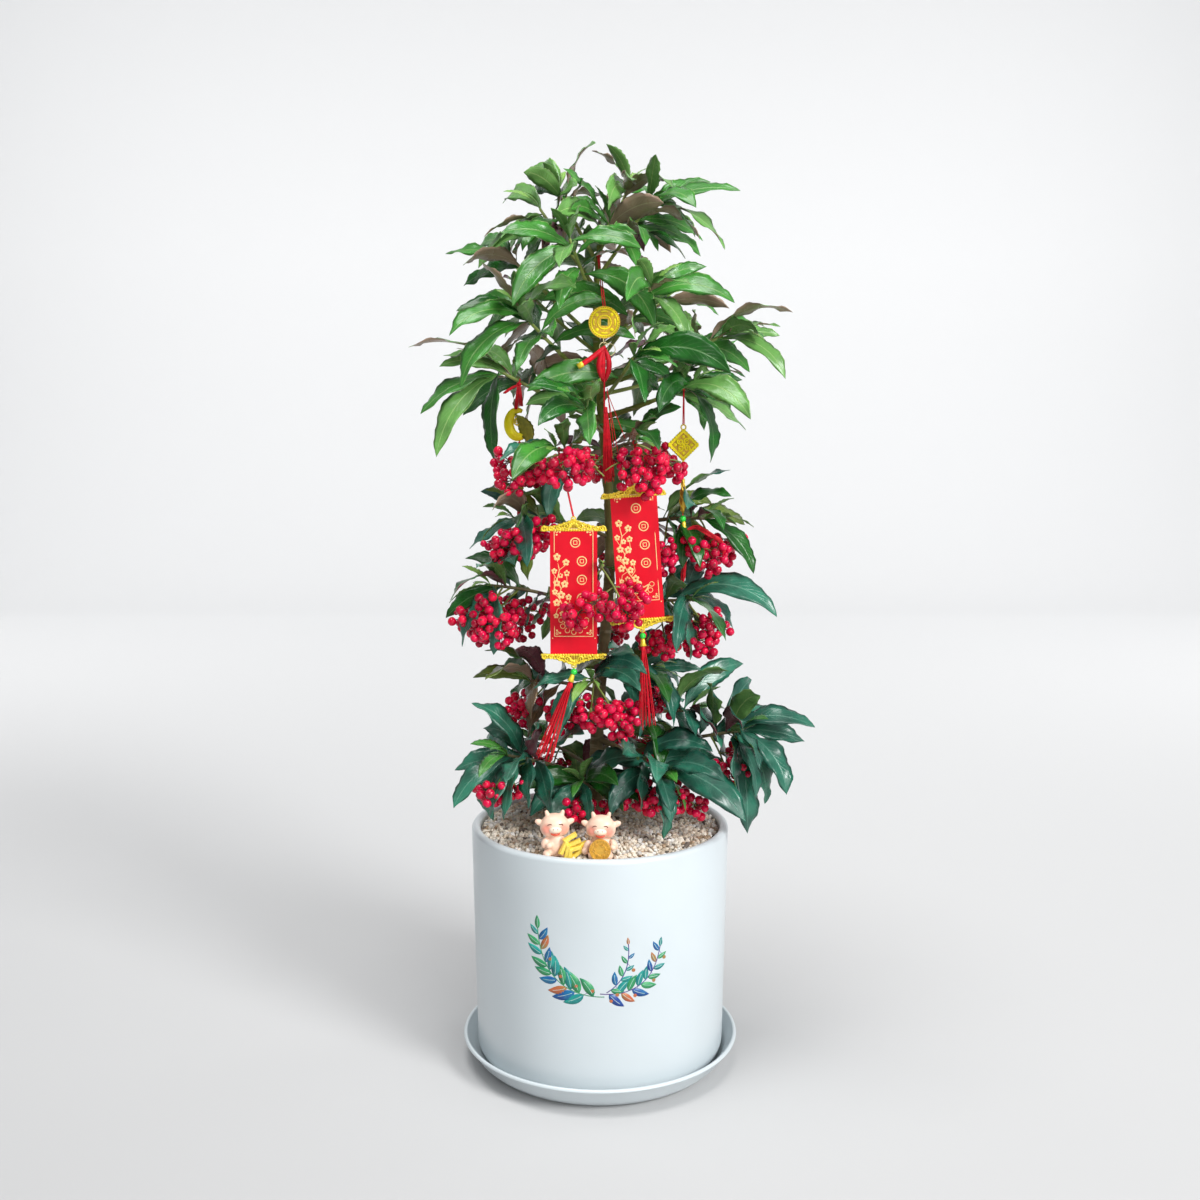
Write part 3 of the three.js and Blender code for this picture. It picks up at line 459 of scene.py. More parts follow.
# Heights of the gravel at the trunk, of the lower end of its solid and of its tip
TRUNK_FOOT = 247.0
TRUNK_LOW = 247.3
TRUNK_TOP = 806.0
# Length of a stem's leafy end, and the part of it that carries the leads
LEAFY = 42.0
LEAD_ZONE = 18.0
# A whorl's leaf that heads this close to a lead, in degrees, is left out
LEAD_GAP = 20
# Room kept round a leaf, and the share of a leaf from which it may not cross its own spray
GUARD = 0.45
OWN_SHARE = 0.3
# Steps of a leaf's stand-in: for leads and low leaves, and for the others
FINE, COARSE = 3, 2
HEADING_TRIES = (0, 12, -12, 24, -24, 38, -38)
LENGTH_TRIES = (1.0, 0.82)
SEED = 1009
SEED_STEP = 977
# Seeds of what the source doesn't grow
SEEDS = {"foliage": 40961, "trunk": 7919, "pebbles": 3571, "print": 2749, "scrolls": 8117,
         "coin": 5233, "bow": 6521, "plaque": 4409}


@dataclass
class Kind:
    """How the laterals of one storey grow, with angles in degrees."""

    leaves: int
    length: float
    young: float
    old: float
    lift: float
    bend: float
    arch: float
    width: float
    waves: float


KINDS = {
    "crown": Kind(9, 92, 28, 84, 8, 52, -0.04, 0.255, 1.9),
    "tier": Kind(4, 80, 30, 80, 6, 58, 0.10, 0.27, 1.9),
    "base": Kind(6, 92, 30, 82, 10, 50, 0.06, 0.305, 2.4),
}


@dataclass
class Lateral:
    """One side branch: its leads are (heading, pitch, length), its umbels (count, fan, spread,
    drop)."""

    name: str
    kind: str
    root: float
    heading: float
    reach: float
    rise: float
    bough: float = 0.0
    leaves: int = -1
    leads: tuple = ()
    umbels: tuple = (0, 0, 0, 0)


LATERALS = (
    Lateral("crown_apex", "crown", 806, 0, 10, 20,
            leads=((310, -30, 82), (20, -15, 94), (165, 25, 70))),
    Lateral("crown_high_left", "crown", 788, 172, 38, 67, leaves=6,
            leads=((300, 40, 82), (120, 10, 82), (105, 25, 82))),
    Lateral("crown_high_right", "crown", 797, 35, 36, 66, leaves=6,
            leads=((310, 0, 82), (255, -20, 82), (105, 5, 82))),
    Lateral("crown_upper_right", "crown", 774, 338, 52, 66, leaves=7,
            leads=((340, 10, 102), (320, -5, 82), (335, -30, 94))),
    Lateral("crown_upper_left", "crown", 764, 160, 58, 78, leaves=7,
            leads=((200, -15, 70), (195, -35, 78), (125, 15, 82))),
    Lateral("crown_front_high", "crown", 748, 248, 64, 54,
            leads=((205, 10, 78), (210, -45, 86), (340, -10, 70))),
    Lateral("crown_left_mid", "crown", 716, 174, 84, 80,
            leads=((230, -5, 82), (290, 10, 82), (120, 15, 82))),
    Lateral("crown_left", "crown", 668, 212, 85, 69, bough=0.5,
            leads=((195, 10, 78), (210, -40, 102), (200, -15, 86), (305, 15, 82))),
    Lateral("crown_left_low", "crown", 640, 194, 101, 46, bough=0.55,
            leads=((200, 15, 110), (195, 5, 70), (200, -25, 94), (215, -50, 110), (255, -75, 94))),
    Lateral("crown_front_low", "crown", 628, 261, 96, 20,
            leads=((205, 20, 70), (200, -10, 70), (295, -25, 82))),
    Lateral("crown_right_front", "crown", 656, 292, 81, 38,
            leads=((190, -60, 86), (265, -30, 82), (335, -10, 102))),
    Lateral("crown_right_mid", "crown", 694, 312, 74, 64,
            leads=((335, -5, 94), (325, -50, 70), (230, -15, 82))),
    Lateral("crown_right", "crown", 672, 355, 118, 47, bough=0.6,
            leads=((338, 16, 94), (340, -30, 86), (295, -5, 82))),
    Lateral("crown_right_low", "crown", 642, 332, 96, 30, bough=0.55,
            leads=((340, -20, 94), (300, -65, 86), (240, -20, 82))),
    Lateral("crown_back_left", "crown", 704, 126, 108, 60),
    Lateral("crown_back_right", "crown", 708, 50, 108, 55),
    Lateral("crown_back_high", "crown", 756, 88, 82, 64),
    Lateral("crown_back_low", "crown", 652, 88, 108, 50),
    Lateral("crown_back_left_low", "crown", 660, 146, 104, 24),
    Lateral("crown_back_right_low", "crown", 664, 32, 104, 26),
    Lateral("tier1_left", "tier", 590, 239, 90, 22, bough=0.5, leaves=3,
            leads=((235, -20, 82),), umbels=(4, 54, 46, 16)),
    Lateral("tier1_right", "tier", 604, 294, 68, 14, bough=0.45, leaves=3,
            leads=((285, -5, 82),), umbels=(4, 48, 35, 22)),
    Lateral("tier1_back", "tier", 596, 85, 60, 20, umbels=(2, 75, 36, 22)),
    Lateral("tier2_left", "tier", 526, 210, 104, 22,
            leads=((250, 10, 82), (295, -30, 82)), umbels=(3, 70, 32, 26)),
    Lateral("tier2_right", "tier", 532, 344, 94, 14, bough=0.45,
            leads=((250, 10, 82), (345, -45, 78)), umbels=(4, 55, 34, 34)),
    Lateral("tier2_back", "tier", 512, 70, 70, 17, umbels=(2, 75, 34, 28)),
    Lateral("tier3_left", "tier", 448, 196, 116, 34,
            leads=((230, -5, 82), (100, 20, 82), (285, 20, 82), (280, -70, 78)),
            umbels=(5, 44, 36, 38)),
    Lateral("tier3_front", "tier", 488, 264, 88, 17, leaves=2, umbels=(3, 62, 30, 42)),
    Lateral("tier3_right", "tier", 450, 337, 87, 18,
            leads=((350, -10, 110), (305, -25, 82), (30, -30, 78), (70, 20, 82), (255, -35, 82)),
            umbels=(3, 55, 32, 38)),
    Lateral("tier3_back", "tier", 436, 104, 72, 20, umbels=(2, 75, 34, 30)),
    Lateral("tier4_left", "tier", 372, 192, 70, 14,
            leads=((245, 30, 82), (265, -20, 82), (240, 10, 82)), umbels=(1, 0, 26, 26)),
    Lateral("tier4_front", "tier", 380, 264, 76, 17, leaves=4,
            leads=((275, 25, 82), (310, 10, 82), (215, -55, 70)), umbels=(3, 62, 32, 34)),
    Lateral("tier4_right", "tier", 386, 336, 52, 12,
            leads=((295, -15, 82), (300, -40, 82)), umbels=(1, 0, 26, 26)),
    Lateral("base_left", "base", 284, 208, 96, 36,
            leads=((185, 50, 78), (240, -45, 72), (205, -34, 80), (120, -15, 82)),
            umbels=(2, 50, 42, 24)),
    Lateral("base_front", "base", 272, 252, 46, 22, leaves=4,
            leads=((200, 0, 74), (218, -40, 58), (328, 25, 72), (285, -58, 46)),
            umbels=(1, 0, 26, 20)),
    Lateral("base_right_front", "base", 326, 316, 88, -22, bough=0.5,
            leads=((335, -26, 110), (200, -5, 78), (212, -32, 72), (318, 5, 86), (100, 35, 82)),
            umbels=(2, 60, 26, 24)),
    Lateral("base_right", "base", 300, 349, 144, 40, bough=0.66,
            leads=((345, 5, 92), (60, 40, 76), (290, 42, 76), (265, -48, 76), (285, -78, 104),
                   (325, -45, 82)),
            umbels=(2, 50, 22, 36)),
    Lateral("base_right_high", "base", 342, 354, 92, 14,
            leads=((325, 38, 82), (110, 20, 82), (30, 28, 88), (290, -15, 82))),
    Lateral("base_back_left", "base", 292, 128, 92, 16, umbels=(2, 60, 34, 26)),
    Lateral("base_back_right", "base", 310, 58, 94, 12, umbels=(2, 60, 34, 26)),
)


def trunk_axis(height):
    """The trunk's middle at a height, which sways a little both ways."""
    sway_x = 6.8 * math.sin(2 * math.pi * (height - 408) / 440)
    sway_y = 4.0 * math.sin(2 * math.pi * (height - 330) / 380)
    return np.array((3.0 + sway_x, sway_y, height))


def trunk_radius(height):
    """The trunk's radius at a height: a taper and a flare at its foot."""
    share = (height - TRUNK_FOOT) / (TRUNK_TOP - TRUNK_FOOT)
    taper = 2.1 + 4.8 * max(0.0, 1 - share) ** 0.75
    return taper + 4.5 * math.exp((TRUNK_FOOT - height) / 9)


def level(heading):
    """The level direction of a heading in radians."""
    return np.array((math.cos(heading), math.sin(heading), 0.0))


def beside(heading):
    """The level direction to the left of a heading in radians."""
    return np.array((-math.sin(heading), math.cos(heading), 0.0))


class Stem:
    """A lateral's stem: an arc in the upright plane of its heading, from the trunk to the tip."""

    def __init__(self, lateral):
        heading = math.radians(lateral.heading)
        self.side = beside(heading)
        self.root = trunk_axis(lateral.root)
        self.tip = self.root + lateral.reach * level(heading) + lateral.rise * UP
        self.middle = (self.root + self.tip) / 2 + lateral.reach * KINDS[lateral.kind].arch * UP
        self.thick = 3.0 if lateral.bough else 2.3
        steps = np.array([self.point(share) for share in np.linspace(0, 1, 201)])
        self.length = np.linalg.norm(np.diff(steps, axis=0), axis=1).sum()

    def point(self, share):
        """The point of the middle line at a share of the stem."""
        left = 1 - share
        return (left * left * self.root + 2 * left * share * self.middle
                + share * share * self.tip)

    def ahead(self, share):
        """The direction of the stem at a share of it."""
        return unit((1 - share) * (self.middle - self.root) + share * (self.tip - self.middle))

    def radius(self, share):
        """The stem's radius at a share of it, in millimetres."""
        return self.thick + (1.5 - self.thick) * share

    def leafy_share(self, place):
        """Share of the stem at which the leafy zone's place 0 (oldest) to 1 (tip) lies."""
        return 1 - min(0.8, LEAFY / self.length) * (1 - place)

    def aim(self, ahead, lean, turn):
        """A direction that leans away from one along the stem, turned round it."""
        return (math.cos(lean) * ahead + math.sin(lean) * math.cos(turn) * self.side
                + math.sin(lean) * math.sin(turn) * np.cross(ahead, self.side))


@dataclass
class Leaf:
    """One leaf, with angles in radians and its length in millimetres."""

    root: np.ndarray
    heading: float
    pitch: float
    bend: float
    length: float
    roll: float
    width: float = 0.31
    wave: float = 1.5
    tone: int = 0
    under: int = 0
    phase: float = 0.0


def facing_roll(root, heading):
    """Roll that turns a blade's top away from the trunk, and a little to the light in front."""
    outward = root - trunk_axis(root[2])
    outward[2] = 0.0
    outward = unit(outward)
    outward[1] -= 0.6
    sideways = -outward[0] * math.sin(heading) + outward[1] * math.cos(heading)
    return -math.radians(58) * min(1.0, max(-1.0, sideways))


def leaves_of(lateral, stem, draw):
    """The leads of a lateral, and the golden-angle whorl that fills between them."""
    kind = KINDS[lateral.kind]
    number = kind.leaves if lateral.leaves < 0 else lateral.leaves
    leads, whorl = [], []
    for i, (heading, pitch, size) in enumerate(lateral.leads):
        share = 1 - LEAD_ZONE / stem.length * (1 - (i + 0.5) / len(lateral.leads))
        bend = math.radians(kind.bend * (0.7 + 0.5 * draw()))
        root = stem.point(share)
        turn = math.radians(heading)
        roll = facing_roll(root, turn) + math.radians(28 * (draw() - 0.5))
        leads.append(Leaf(root, turn, math.radians(pitch) + bend / 2, bend, size, roll))
    phase = 360 * draw()
    for i in range(number):
        age = 1 - i / ((number - 1) or 1)
        share = stem.leafy_share(1 - age)
        turn = math.radians(phase + GOLDEN * i + 24 * (draw() - 0.5))
        lean = kind.young + (kind.old - kind.young) * age + 16 * (draw() - 0.5)
        aim = stem.aim(stem.ahead(share), math.radians(lean), turn)
        size = kind.length * (0.84 + 0.28 * draw()) * (0.72 + 0.28 * age)
        bend = math.radians(kind.bend * (0.6 + 0.6 * draw()) * (0.55 + 0.45 * age))
        heading = math.atan2(aim[1], aim[0])
        root = stem.point(share)
        roll = facing_roll(root, heading) + math.radians(36 * (draw() - 0.5))
        gaps = [math.cos(heading - math.radians(lead[0])) for lead in lateral.leads]
        if any(gap > math.cos(math.radians(LEAD_GAP)) for gap in gaps):
            continue
        pitch = math.asin(aim[2]) * 0.6 + math.radians(kind.lift)
        whorl.append(Leaf(root, heading, pitch, bend, size, roll))
    return leads, whorl


@dataclass
class Umbel:
    """A stalk from a stem to the middle of a ball of berries."""

    root: np.ndarray
    centre: np.ndarray


def umbels_of(lateral, stem, draw):
    """The umbels of a lateral, fanned out from the leafy end of its stem."""
    number, fan, spread, drop = lateral.umbels
    umbels = []
    for i in range(number):
        root = stem.point(stem.leafy_share((i + 0.5) / number))
        heading = lateral.heading + fan * (i - (number - 1) / 2) + 14 * (draw() - 0.5)
        centre = root + spread * (0.85 + 0.3 * draw()) * level(math.radians(heading))
        centre[2] -= drop * (0.8 + 0.4 * draw())
        draw()  # the turn of the source's berries
        umbels.append(Umbel(root, centre))
    return umbels


# Leaf blades

ACROSS = np.array((-1.0, -0.6, 0.0, 0.6, 1.0))
ALONG = np.concatenate([(0.0, 0.05), np.linspace(0.09, 0.95, 27), (0.98,)])
# Teeth of a blade's margin from its stalk to its tip
TEETH = 8.5
STALK_END = 0.06
STALK_HALF = 0.85


def blade_faces():
    """Faces of one leaf, with 0 for those of the top and 1 for those of the underside."""
    rows, columns = len(ALONG), len(ACROSS)
    top = np.arange(rows * columns).reshape(rows, columns)
    low = top.copy()
    low[:, 1:-1] = rows * columns + np.arange(rows * (columns - 2)).reshape(rows, -1)
    root = rows * (2 * columns - 2)
    tip = root + 1
    faces, sides = [], []
    for row in range(rows - 1):
        for column in range(columns - 1):
            after = column + 1
            faces.append((top[row, column], top[row + 1, column],
                          top[row + 1, after], top[row, after]))
            faces.append((low[row, column], low[row, after],
                          low[row + 1, after], low[row + 1, column]))
            sides += [0, 1]
    for column in range(columns - 1):
        after = column + 1
        faces.append((top[-1, column], tip, top[-1, after], -1))
        faces.append((low[-1, column], low[-1, after], tip, -1))
        faces.append((top[0, column], top[0, after], root, -1))
        faces.append((low[0, column], root, low[0, after], -1))
        sides += [0, 1, 0, 1]
    return np.array(faces), np.array(sides)


BLADE_FACES, BLADE_SIDES = blade_faces()


def blade_points(leaf):
    """Points of one leaf blade, and their marks: share across from 0 to 1, and along."""
    share = np.append(ALONG, 1.0)
    # The middle line: a bow in the upright plane of the heading, swept a little to one side
    turn = leaf.pitch + leaf.bend * (0.26 - 1.52 * share)
    steps = np.diff(share, prepend=0.0)
    halfway = turn - np.diff(turn, prepend=turn[0]) / 2
    ahead = np.cumsum(steps * np.cos(halfway)) * leaf.length
    rise = np.cumsum(steps * np.sin(halfway)) * leaf.length
    out, side = level(leaf.heading), beside(leaf.heading)
    roll = leaf.roll + 0.35 * math.sin(leaf.phase) * share
    normal = -np.sin(turn)[:, None] * out + np.cos(turn)[:, None] * UP
    left = np.cos(roll)[:, None] * side + np.sin(roll)[:, None] * normal
    face = np.cos(roll)[:, None] * normal - np.sin(roll)[:, None] * side
    spine = leaf.root + ahead[:, None] * out + rise[:, None] * UP
    sweep = 0.05 * math.cos(2.3 * leaf.phase) * leaf.length * share ** 2
    spine = spine + sweep[:, None] * left
    # Half the width along the blade, with teeth at the margin
    blade = np.clip((share - STALK_END) / (1 - STALK_END), 0, 1)
    half = 0.5 * np.maximum(0, np.sin(math.pi * blade ** 1.02)) ** (0.72 + 0.24 * blade)
    half = np.maximum(half * leaf.length * leaf.width, STALK_HALF * (1 - 0.4 * blade))
    half = half[:-1]
    wide = np.minimum(1, half / 6)[:, None]
    teeth = wide * np.sin(leaf.phase + 2 * math.pi * TEETH * blade[:-1, None])
    u = ACROSS[None, :]
    reach = (half[:, None] + 0.34 * teeth * np.abs(u) ** 3) * u
    # The fold along the rib, the waves of the margin and the crisped teeth
    margin = np.abs(u) ** 2.2 * wide
    waves = np.sin(leaf.phase + 2 * math.pi * 2.4 * blade[:-1, None] + np.where(u < 0, 1.9, 0.0))
    over = (0.2 * half[:, None] * np.abs(u) * (1 - 0.3 * u * u)
            + leaf.wave * margin * waves + 0.4 * teeth * np.abs(u) ** 3)
    thick = np.where(blade[:-1] > 0.02, plant_settings().leaf_thickness / MM / 2, 0.6)[:, None]
    lift = thick * (1 - u * u)
    grid = (spine[:-1, None, :] + reach[..., None] * left[:-1, None, :])
    top = grid + (over + lift)[..., None] * face[:-1, None, :]
    low = grid + (over - lift)[..., None] * face[:-1, None, :]
    points = np.concatenate([top.reshape(-1, 3), low[:, 1:-1].reshape(-1, 3),
                             spine[:1] - 1.5 * out[None] * math.cos(leaf.pitch), spine[-1:]])
    marks = np.stack(np.broadcast_arrays(0.5 + 0.5 * u, ALONG[:, None]), -1)
    marks = np.concatenate([marks.reshape(-1, 2), marks[:, 1:-1].reshape(-1, 2),
                            [[0.5, 0.0], [0.5, 1.0]]])
    return points, marks


# Room: shapes that are in place, so that new ones don't cross them

def leaf_proxy(leaf, steps, extra=0.0, first=0.0):
    """The source's spindle for a leaf, from a share of its length on: points and triangles."""
    share = np.linspace(first, 1, steps + 1)
    turn = leaf.pitch - leaf.bend * share
    ahead = leaf.length / leaf.bend * (math.sin(leaf.pitch) - np.sin(turn))
    rise = leaf.length / leaf.bend * (np.cos(turn) - math.cos(leaf.pitch))
    out, side = level(leaf.heading), beside(leaf.heading)
    spine = leaf.root + ahead[:, None] * out + rise[:, None] * UP
    normal = -np.sin(turn)[:, None] * out + np.cos(turn)[:, None] * UP
    left = math.cos(leaf.roll) * side + math.sin(leaf.roll) * normal
    face = math.cos(leaf.roll) * normal - math.sin(leaf.roll) * side
    half = 0.5 * np.maximum(0, np.sin(math.pi * share ** 0.8)) ** 0.85 * leaf.length * 0.31 + extra
    points = []
    for row in range(1, steps):
        for across, corner in ((-1, 0), (0, 1), (1, 0), (0, -1)):
            over = corner * (0.85 + extra) + abs(across) * 0.22 * half[row]
            points.append(spine[row] + across * half[row] * left[row] + over * face[row])
    return [*points, spine[0], spine[-1]], three_cornered(tube_faces(steps - 1, 4))


def rod_proxy(path, radius):
    """A plain stand-in for a rod, in triangles."""
    points, faces, _ = rod(path, radius, 4)
    return points, three_cornered(faces)


def ball_proxy(centre, radius):
    """A plain stand-in for a ball, in triangles."""
    points, faces = BEAD
    return points * radius + centre, three_cornered(faces)


def box_proxy(low, high):
    """A box between two corners, in triangles."""
    points = [[(low, high)[i][0], (low, high)[j][1], (low, high)[k][2]]
              for i in (0, 1) for j in (0, 1) for k in (0, 1)]
    return points, [(0, 1, 3), (0, 3, 2), (4, 6, 7), (4, 7, 5), (0, 4, 5), (0, 5, 1),
                    (2, 3, 7), (2, 7, 6), (0, 2, 6), (0, 6, 4), (1, 5, 7), (1, 7, 3)]


def tree_of(points, faces):
    """A search tree of a shape."""
    return BVHTree.FromPolygons([Vector(point) for point in points], faces)


class Room:
    """All shapes that are in place, each with its owner."""

    def __init__(self):
        self.owners = []
        self.shapes = []
        self.trees = []
        self.lows = np.zeros((0, 3))
        self.highs = np.zeros((0, 3))

    def put(self, owner, shape):
        """Adds a shape that belongs to a mass or a node."""
        points = np.asarray(shape[0])
        self.owners.append(owner)
        self.shapes.append(shape)
        self.trees.append(tree_of(*shape))
        self.lows = np.vstack([self.lows, points.min(axis=0)])
        self.highs = np.vstack([self.highs, points.max(axis=0)])

    def meets(self, shape, owner, own, leaf=True):
        """Whether a shape crosses one of its own owner (own) or one of another owner. What isn't
        a leaf may cross a view."""
        points = np.asarray(shape[0])
        near = ((self.lows <= points.max(axis=0)) & (self.highs >= points.min(axis=0))).all(axis=1)
        tree = None
        for i in np.nonzero(near)[0]:
            if (self.owners[i] == owner) != own or (self.owners[i] == "view" and not leaf):
                continue
            tree = tree or tree_of(*shape)
            if tree.overlap(self.trees[i]):
                return True
        return False

    def put_node(self, name):
        """Adds the solid of a CAD node."""
        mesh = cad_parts[name].data
        points = np.empty(len(mesh.vertices) * 3, np.float32)
        mesh.vertices.foreach_get("co", points)
        faces = [tuple(face.vertices) for face in mesh.polygons]
        self.put(name, (points.reshape(-1, 3) / MM, faces))

    def hang_leaf(self, sprig, leaf, steps):
        """Adds a leaf to a sprig in the first of the tried headings and lengths in which it
        crosses nothing, or leaves it out."""
        owner, size, heading = sprig.lateral.name, leaf.length, leaf.heading
        for factor in LENGTH_TRIES:
            for offset in HEADING_TRIES:
                leaf.length = size * factor
                leaf.heading = heading + math.radians(offset)
                if self.meets(leaf_proxy(leaf, steps, 0.0, OWN_SHARE), owner, True):
                    continue
                if not self.meets(leaf_proxy(leaf, steps, GUARD), owner, False):
                    self.put(owner, leaf_proxy(leaf, steps))
                    sprig.leaves.append(leaf)
                    return

    def surfaces(self):
        """One tree of all shapes but the fruit and the views."""
        points, faces = [], []
        for owner, shape in zip(self.owners, self.shapes):
            if owner not in ("fruit", "view"):
                total = len(points)
                points += list(shape[0])
                faces += [[corner + total for corner in face] for face in shape[1]]
        return tree_of(points, faces)


# Boxes in front of the ornaments that leaves keep out of, as (low corner, high corner)
CLEAR_VIEWS = (((-22, -170, 672), (20, -64, 744)), ((-2, -170, 592), (14, -66, 652)),
               ((6, -150, 458), (56, -76, 580)), ((-46, -170, 430), (-2, -98, 549)))


@dataclass
class Sprig:
    """One lateral as grown: its stem, its umbels, and what finds room on them."""

    lateral: Lateral
    stem: Stem
    umbels: list
    leaves: list = field(default_factory=list)
    fruits: list = field(default_factory=list)
    stalks: list = field(default_factory=list)


# Where the crescent and the plaque hang: lateral and share of its stem, then their middle's height
BOW_HOOK, BOW_HEIGHT = ("crown_left_low", 0.8), 636.0
PLAQUE_HOOK, PLAQUE_HEIGHT = ("crown_right_low", 0.9), 616.0


def charm_views(margin):
    """Boxes in front of the crescent and the plaque, which stay clear of leaves and berries."""
    boxes = []
    for hook, middle in ((BOW_HOOK, BOW_HEIGHT), (PLAQUE_HOOK, PLAQUE_HEIGHT)):
        x, y, _ = hang_point(*hook)
        half, rise = 12 + margin, 14 + margin
        boxes.append(((x - half, y - 100, middle - rise),
                      (x + half, y - 6 + margin, middle + rise)))
    return boxes


def grown_sprigs():
    """All laterals, with the leaves and umbels that find room, as in the part's source."""
    sprigs, wanted = [], []
    for i, lateral in enumerate(LATERALS):
        draw = seeded(SEED + SEED_STEP * i)
        draw()  # the source warms its rule up
        stem = Stem(lateral)
        wanted.append(leaves_of(lateral, stem, draw))
        sprigs.append(Sprig(lateral, stem, umbels_of(lateral, stem, draw)))
    room = Room()
    names = [lateral.name for lateral in LATERALS]
    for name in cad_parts:
        if name not in names:
            room.put_node(name)
    for low, high in (*CLEAR_VIEWS, *charm_views(0)):
        room.put("view", box_proxy(low, high))
    for sprig in sprigs:
        shares = np.linspace(sprig.lateral.bough, 1, 4)
        path = [sprig.stem.point(share) for share in shares]
        room.put(sprig.lateral.name, rod_proxy(path, [sprig.stem.radius(s) for s in shares]))
    for sprig, (leads, _) in zip(sprigs, wanted):
        for leaf in leads:
            room.hang_leaf(sprig, leaf, FINE)
    for sprig in sprigs:
        kept = []
        for umbel in sprig.umbels:
            path = (umbel.root, umbel.centre)
            if room.meets(rod_proxy(path, 1.4), sprig.lateral.name, False, leaf=False):
                continue
            room.put(sprig.lateral.name, rod_proxy(path, 1.2))
            room.put("fruit", ball_proxy(umbel.centre, 9.0))
            kept.append(umbel)
        sprig.umbels = kept
    for sprig, (_, whorl) in zip(sprigs, wanted):
        for leaf in whorl:
            room.hang_leaf(sprig, leaf, COARSE)
    return sprigs, room


# Materials

def group_of(name, inputs, outputs):
    """A shader node group with named sockets, or the one made before."""
    tree = bpy.data.node_groups.get(name)
    if tree:
        return tree, None, None
    tree = bpy.data.node_groups.new(name, "ShaderNodeTree")
    for socket, kind, default in inputs:
        made = tree.interface.new_socket(socket, in_out="INPUT", socket_type=kind)
        made.default_value = default
    for socket, kind in outputs:
        tree.interface.new_socket(socket, in_out="OUTPUT", socket_type=kind)
    return tree, tree.nodes.new("NodeGroupInput"), tree.nodes.new("NodeGroupOutput")


def node(tree, kind, **values):
    """A new node: properties by name, inputs by socket name or number."""
    made = tree.nodes.new(kind)
    for name, value in values.pop("sockets", {}).items():
        made.inputs[name].default_value = value
    for name, value in values.items():
        setattr(made, name, value)
    return made


def maths(tree, operation, *inputs):
    """A sum of sockets or numbers, as a socket."""
    made = tree.nodes.new("ShaderNodeMath")
    made.operation = operation
    for i, value in enumerate(inputs):
        if isinstance(value, (int, float)):
            made.inputs[i].default_value = value
        else:
            tree.links.new(value, made.inputs[i])
    return made.outputs[0]


def mixed(tree, factor, first, second):
    """A colour between two, each a socket or four numbers."""
    made = tree.nodes.new("ShaderNodeMix")
    made.data_type = "RGBA"
    for socket, value in ((made.inputs[0], factor), (made.inputs[6], first),
                          (made.inputs[7], second)):
        if isinstance(value, bpy.types.NodeSocket):
            tree.links.new(value, socket)
        else:
            socket.default_value = value
    return made.outputs[2]


def ramp(tree, value, *stops):
    """A colour ramp with (place, grey or colour) stops."""
    made = tree.nodes.new("ShaderNodeValToRGB")
    elements = made.color_ramp.elements
    while len(elements) < len(stops):
        elements.new(0.5)
    for element, (place, shade) in zip(elements, stops):
        element.position = place
        element.color = (shade, shade, shade, 1) if isinstance(shade, float) else (*shade, 1)
    tree.links.new(value, made.inputs[0])
    return made.outputs[0]


def noise(tree, scale, detail, vector=None, roughness=0.5):
    """Noise on Object coordinates, or on a given vector."""
    made = node(tree, "ShaderNodeTexNoise",
                sockets={"Scale": scale, "Detail": detail, "Roughness": roughness})
    if vector is None:
        vector = tree.nodes.new("ShaderNodeTexCoord").outputs["Object"]
    tree.links.new(vector, made.inputs["Vector"])
    return made.outputs[0]


def mottle_group():
    """Colour and height that change softly over a surface: wear, cloudiness and fine grain."""
    tree, given, made = group_of(
        "surface_mottle",
        (("Color", "NodeSocketColor", (0.5, 0.5, 0.5, 1)),
         ("Second Color", "NodeSocketColor", (0.4, 0.4, 0.4, 1)),
         ("Cloud Scale", "NodeSocketFloat", 40.0),
         ("Grain Scale", "NodeSocketFloat", 900.0),
         ("Amount", "NodeSocketFloat", 0.5)),
        (("Color", "NodeSocketColor"), ("Mask", "NodeSocketFloat"), ("Grain", "NodeSocketFloat")))
    if given is None:
        return tree
    place = tree.nodes.new("ShaderNodeTexCoord").outputs["Object"]
    values = []
    for socket, detail in (("Cloud Scale", 3.0), ("Grain Scale", 2.0)):
        cloud = node(tree, "ShaderNodeTexNoise", sockets={"Detail": detail})
        tree.links.new(place, cloud.inputs["Vector"])
        tree.links.new(given.outputs[socket], cloud.inputs["Scale"])
        values.append(cloud.outputs[0])
    mask = ramp(tree, values[0], (0.34, 0.0), (0.66, 1.0))
    share = maths(tree, "MULTIPLY", mask, given.outputs["Amount"])
    colour_out = mixed(tree, share, given.outputs["Color"], given.outputs["Second Color"])
    tree.links.new(colour_out, made.inputs["Color"])
    tree.links.new(mask, made.inputs["Mask"])
    tree.links.new(values[1], made.inputs["Grain"])
    return tree


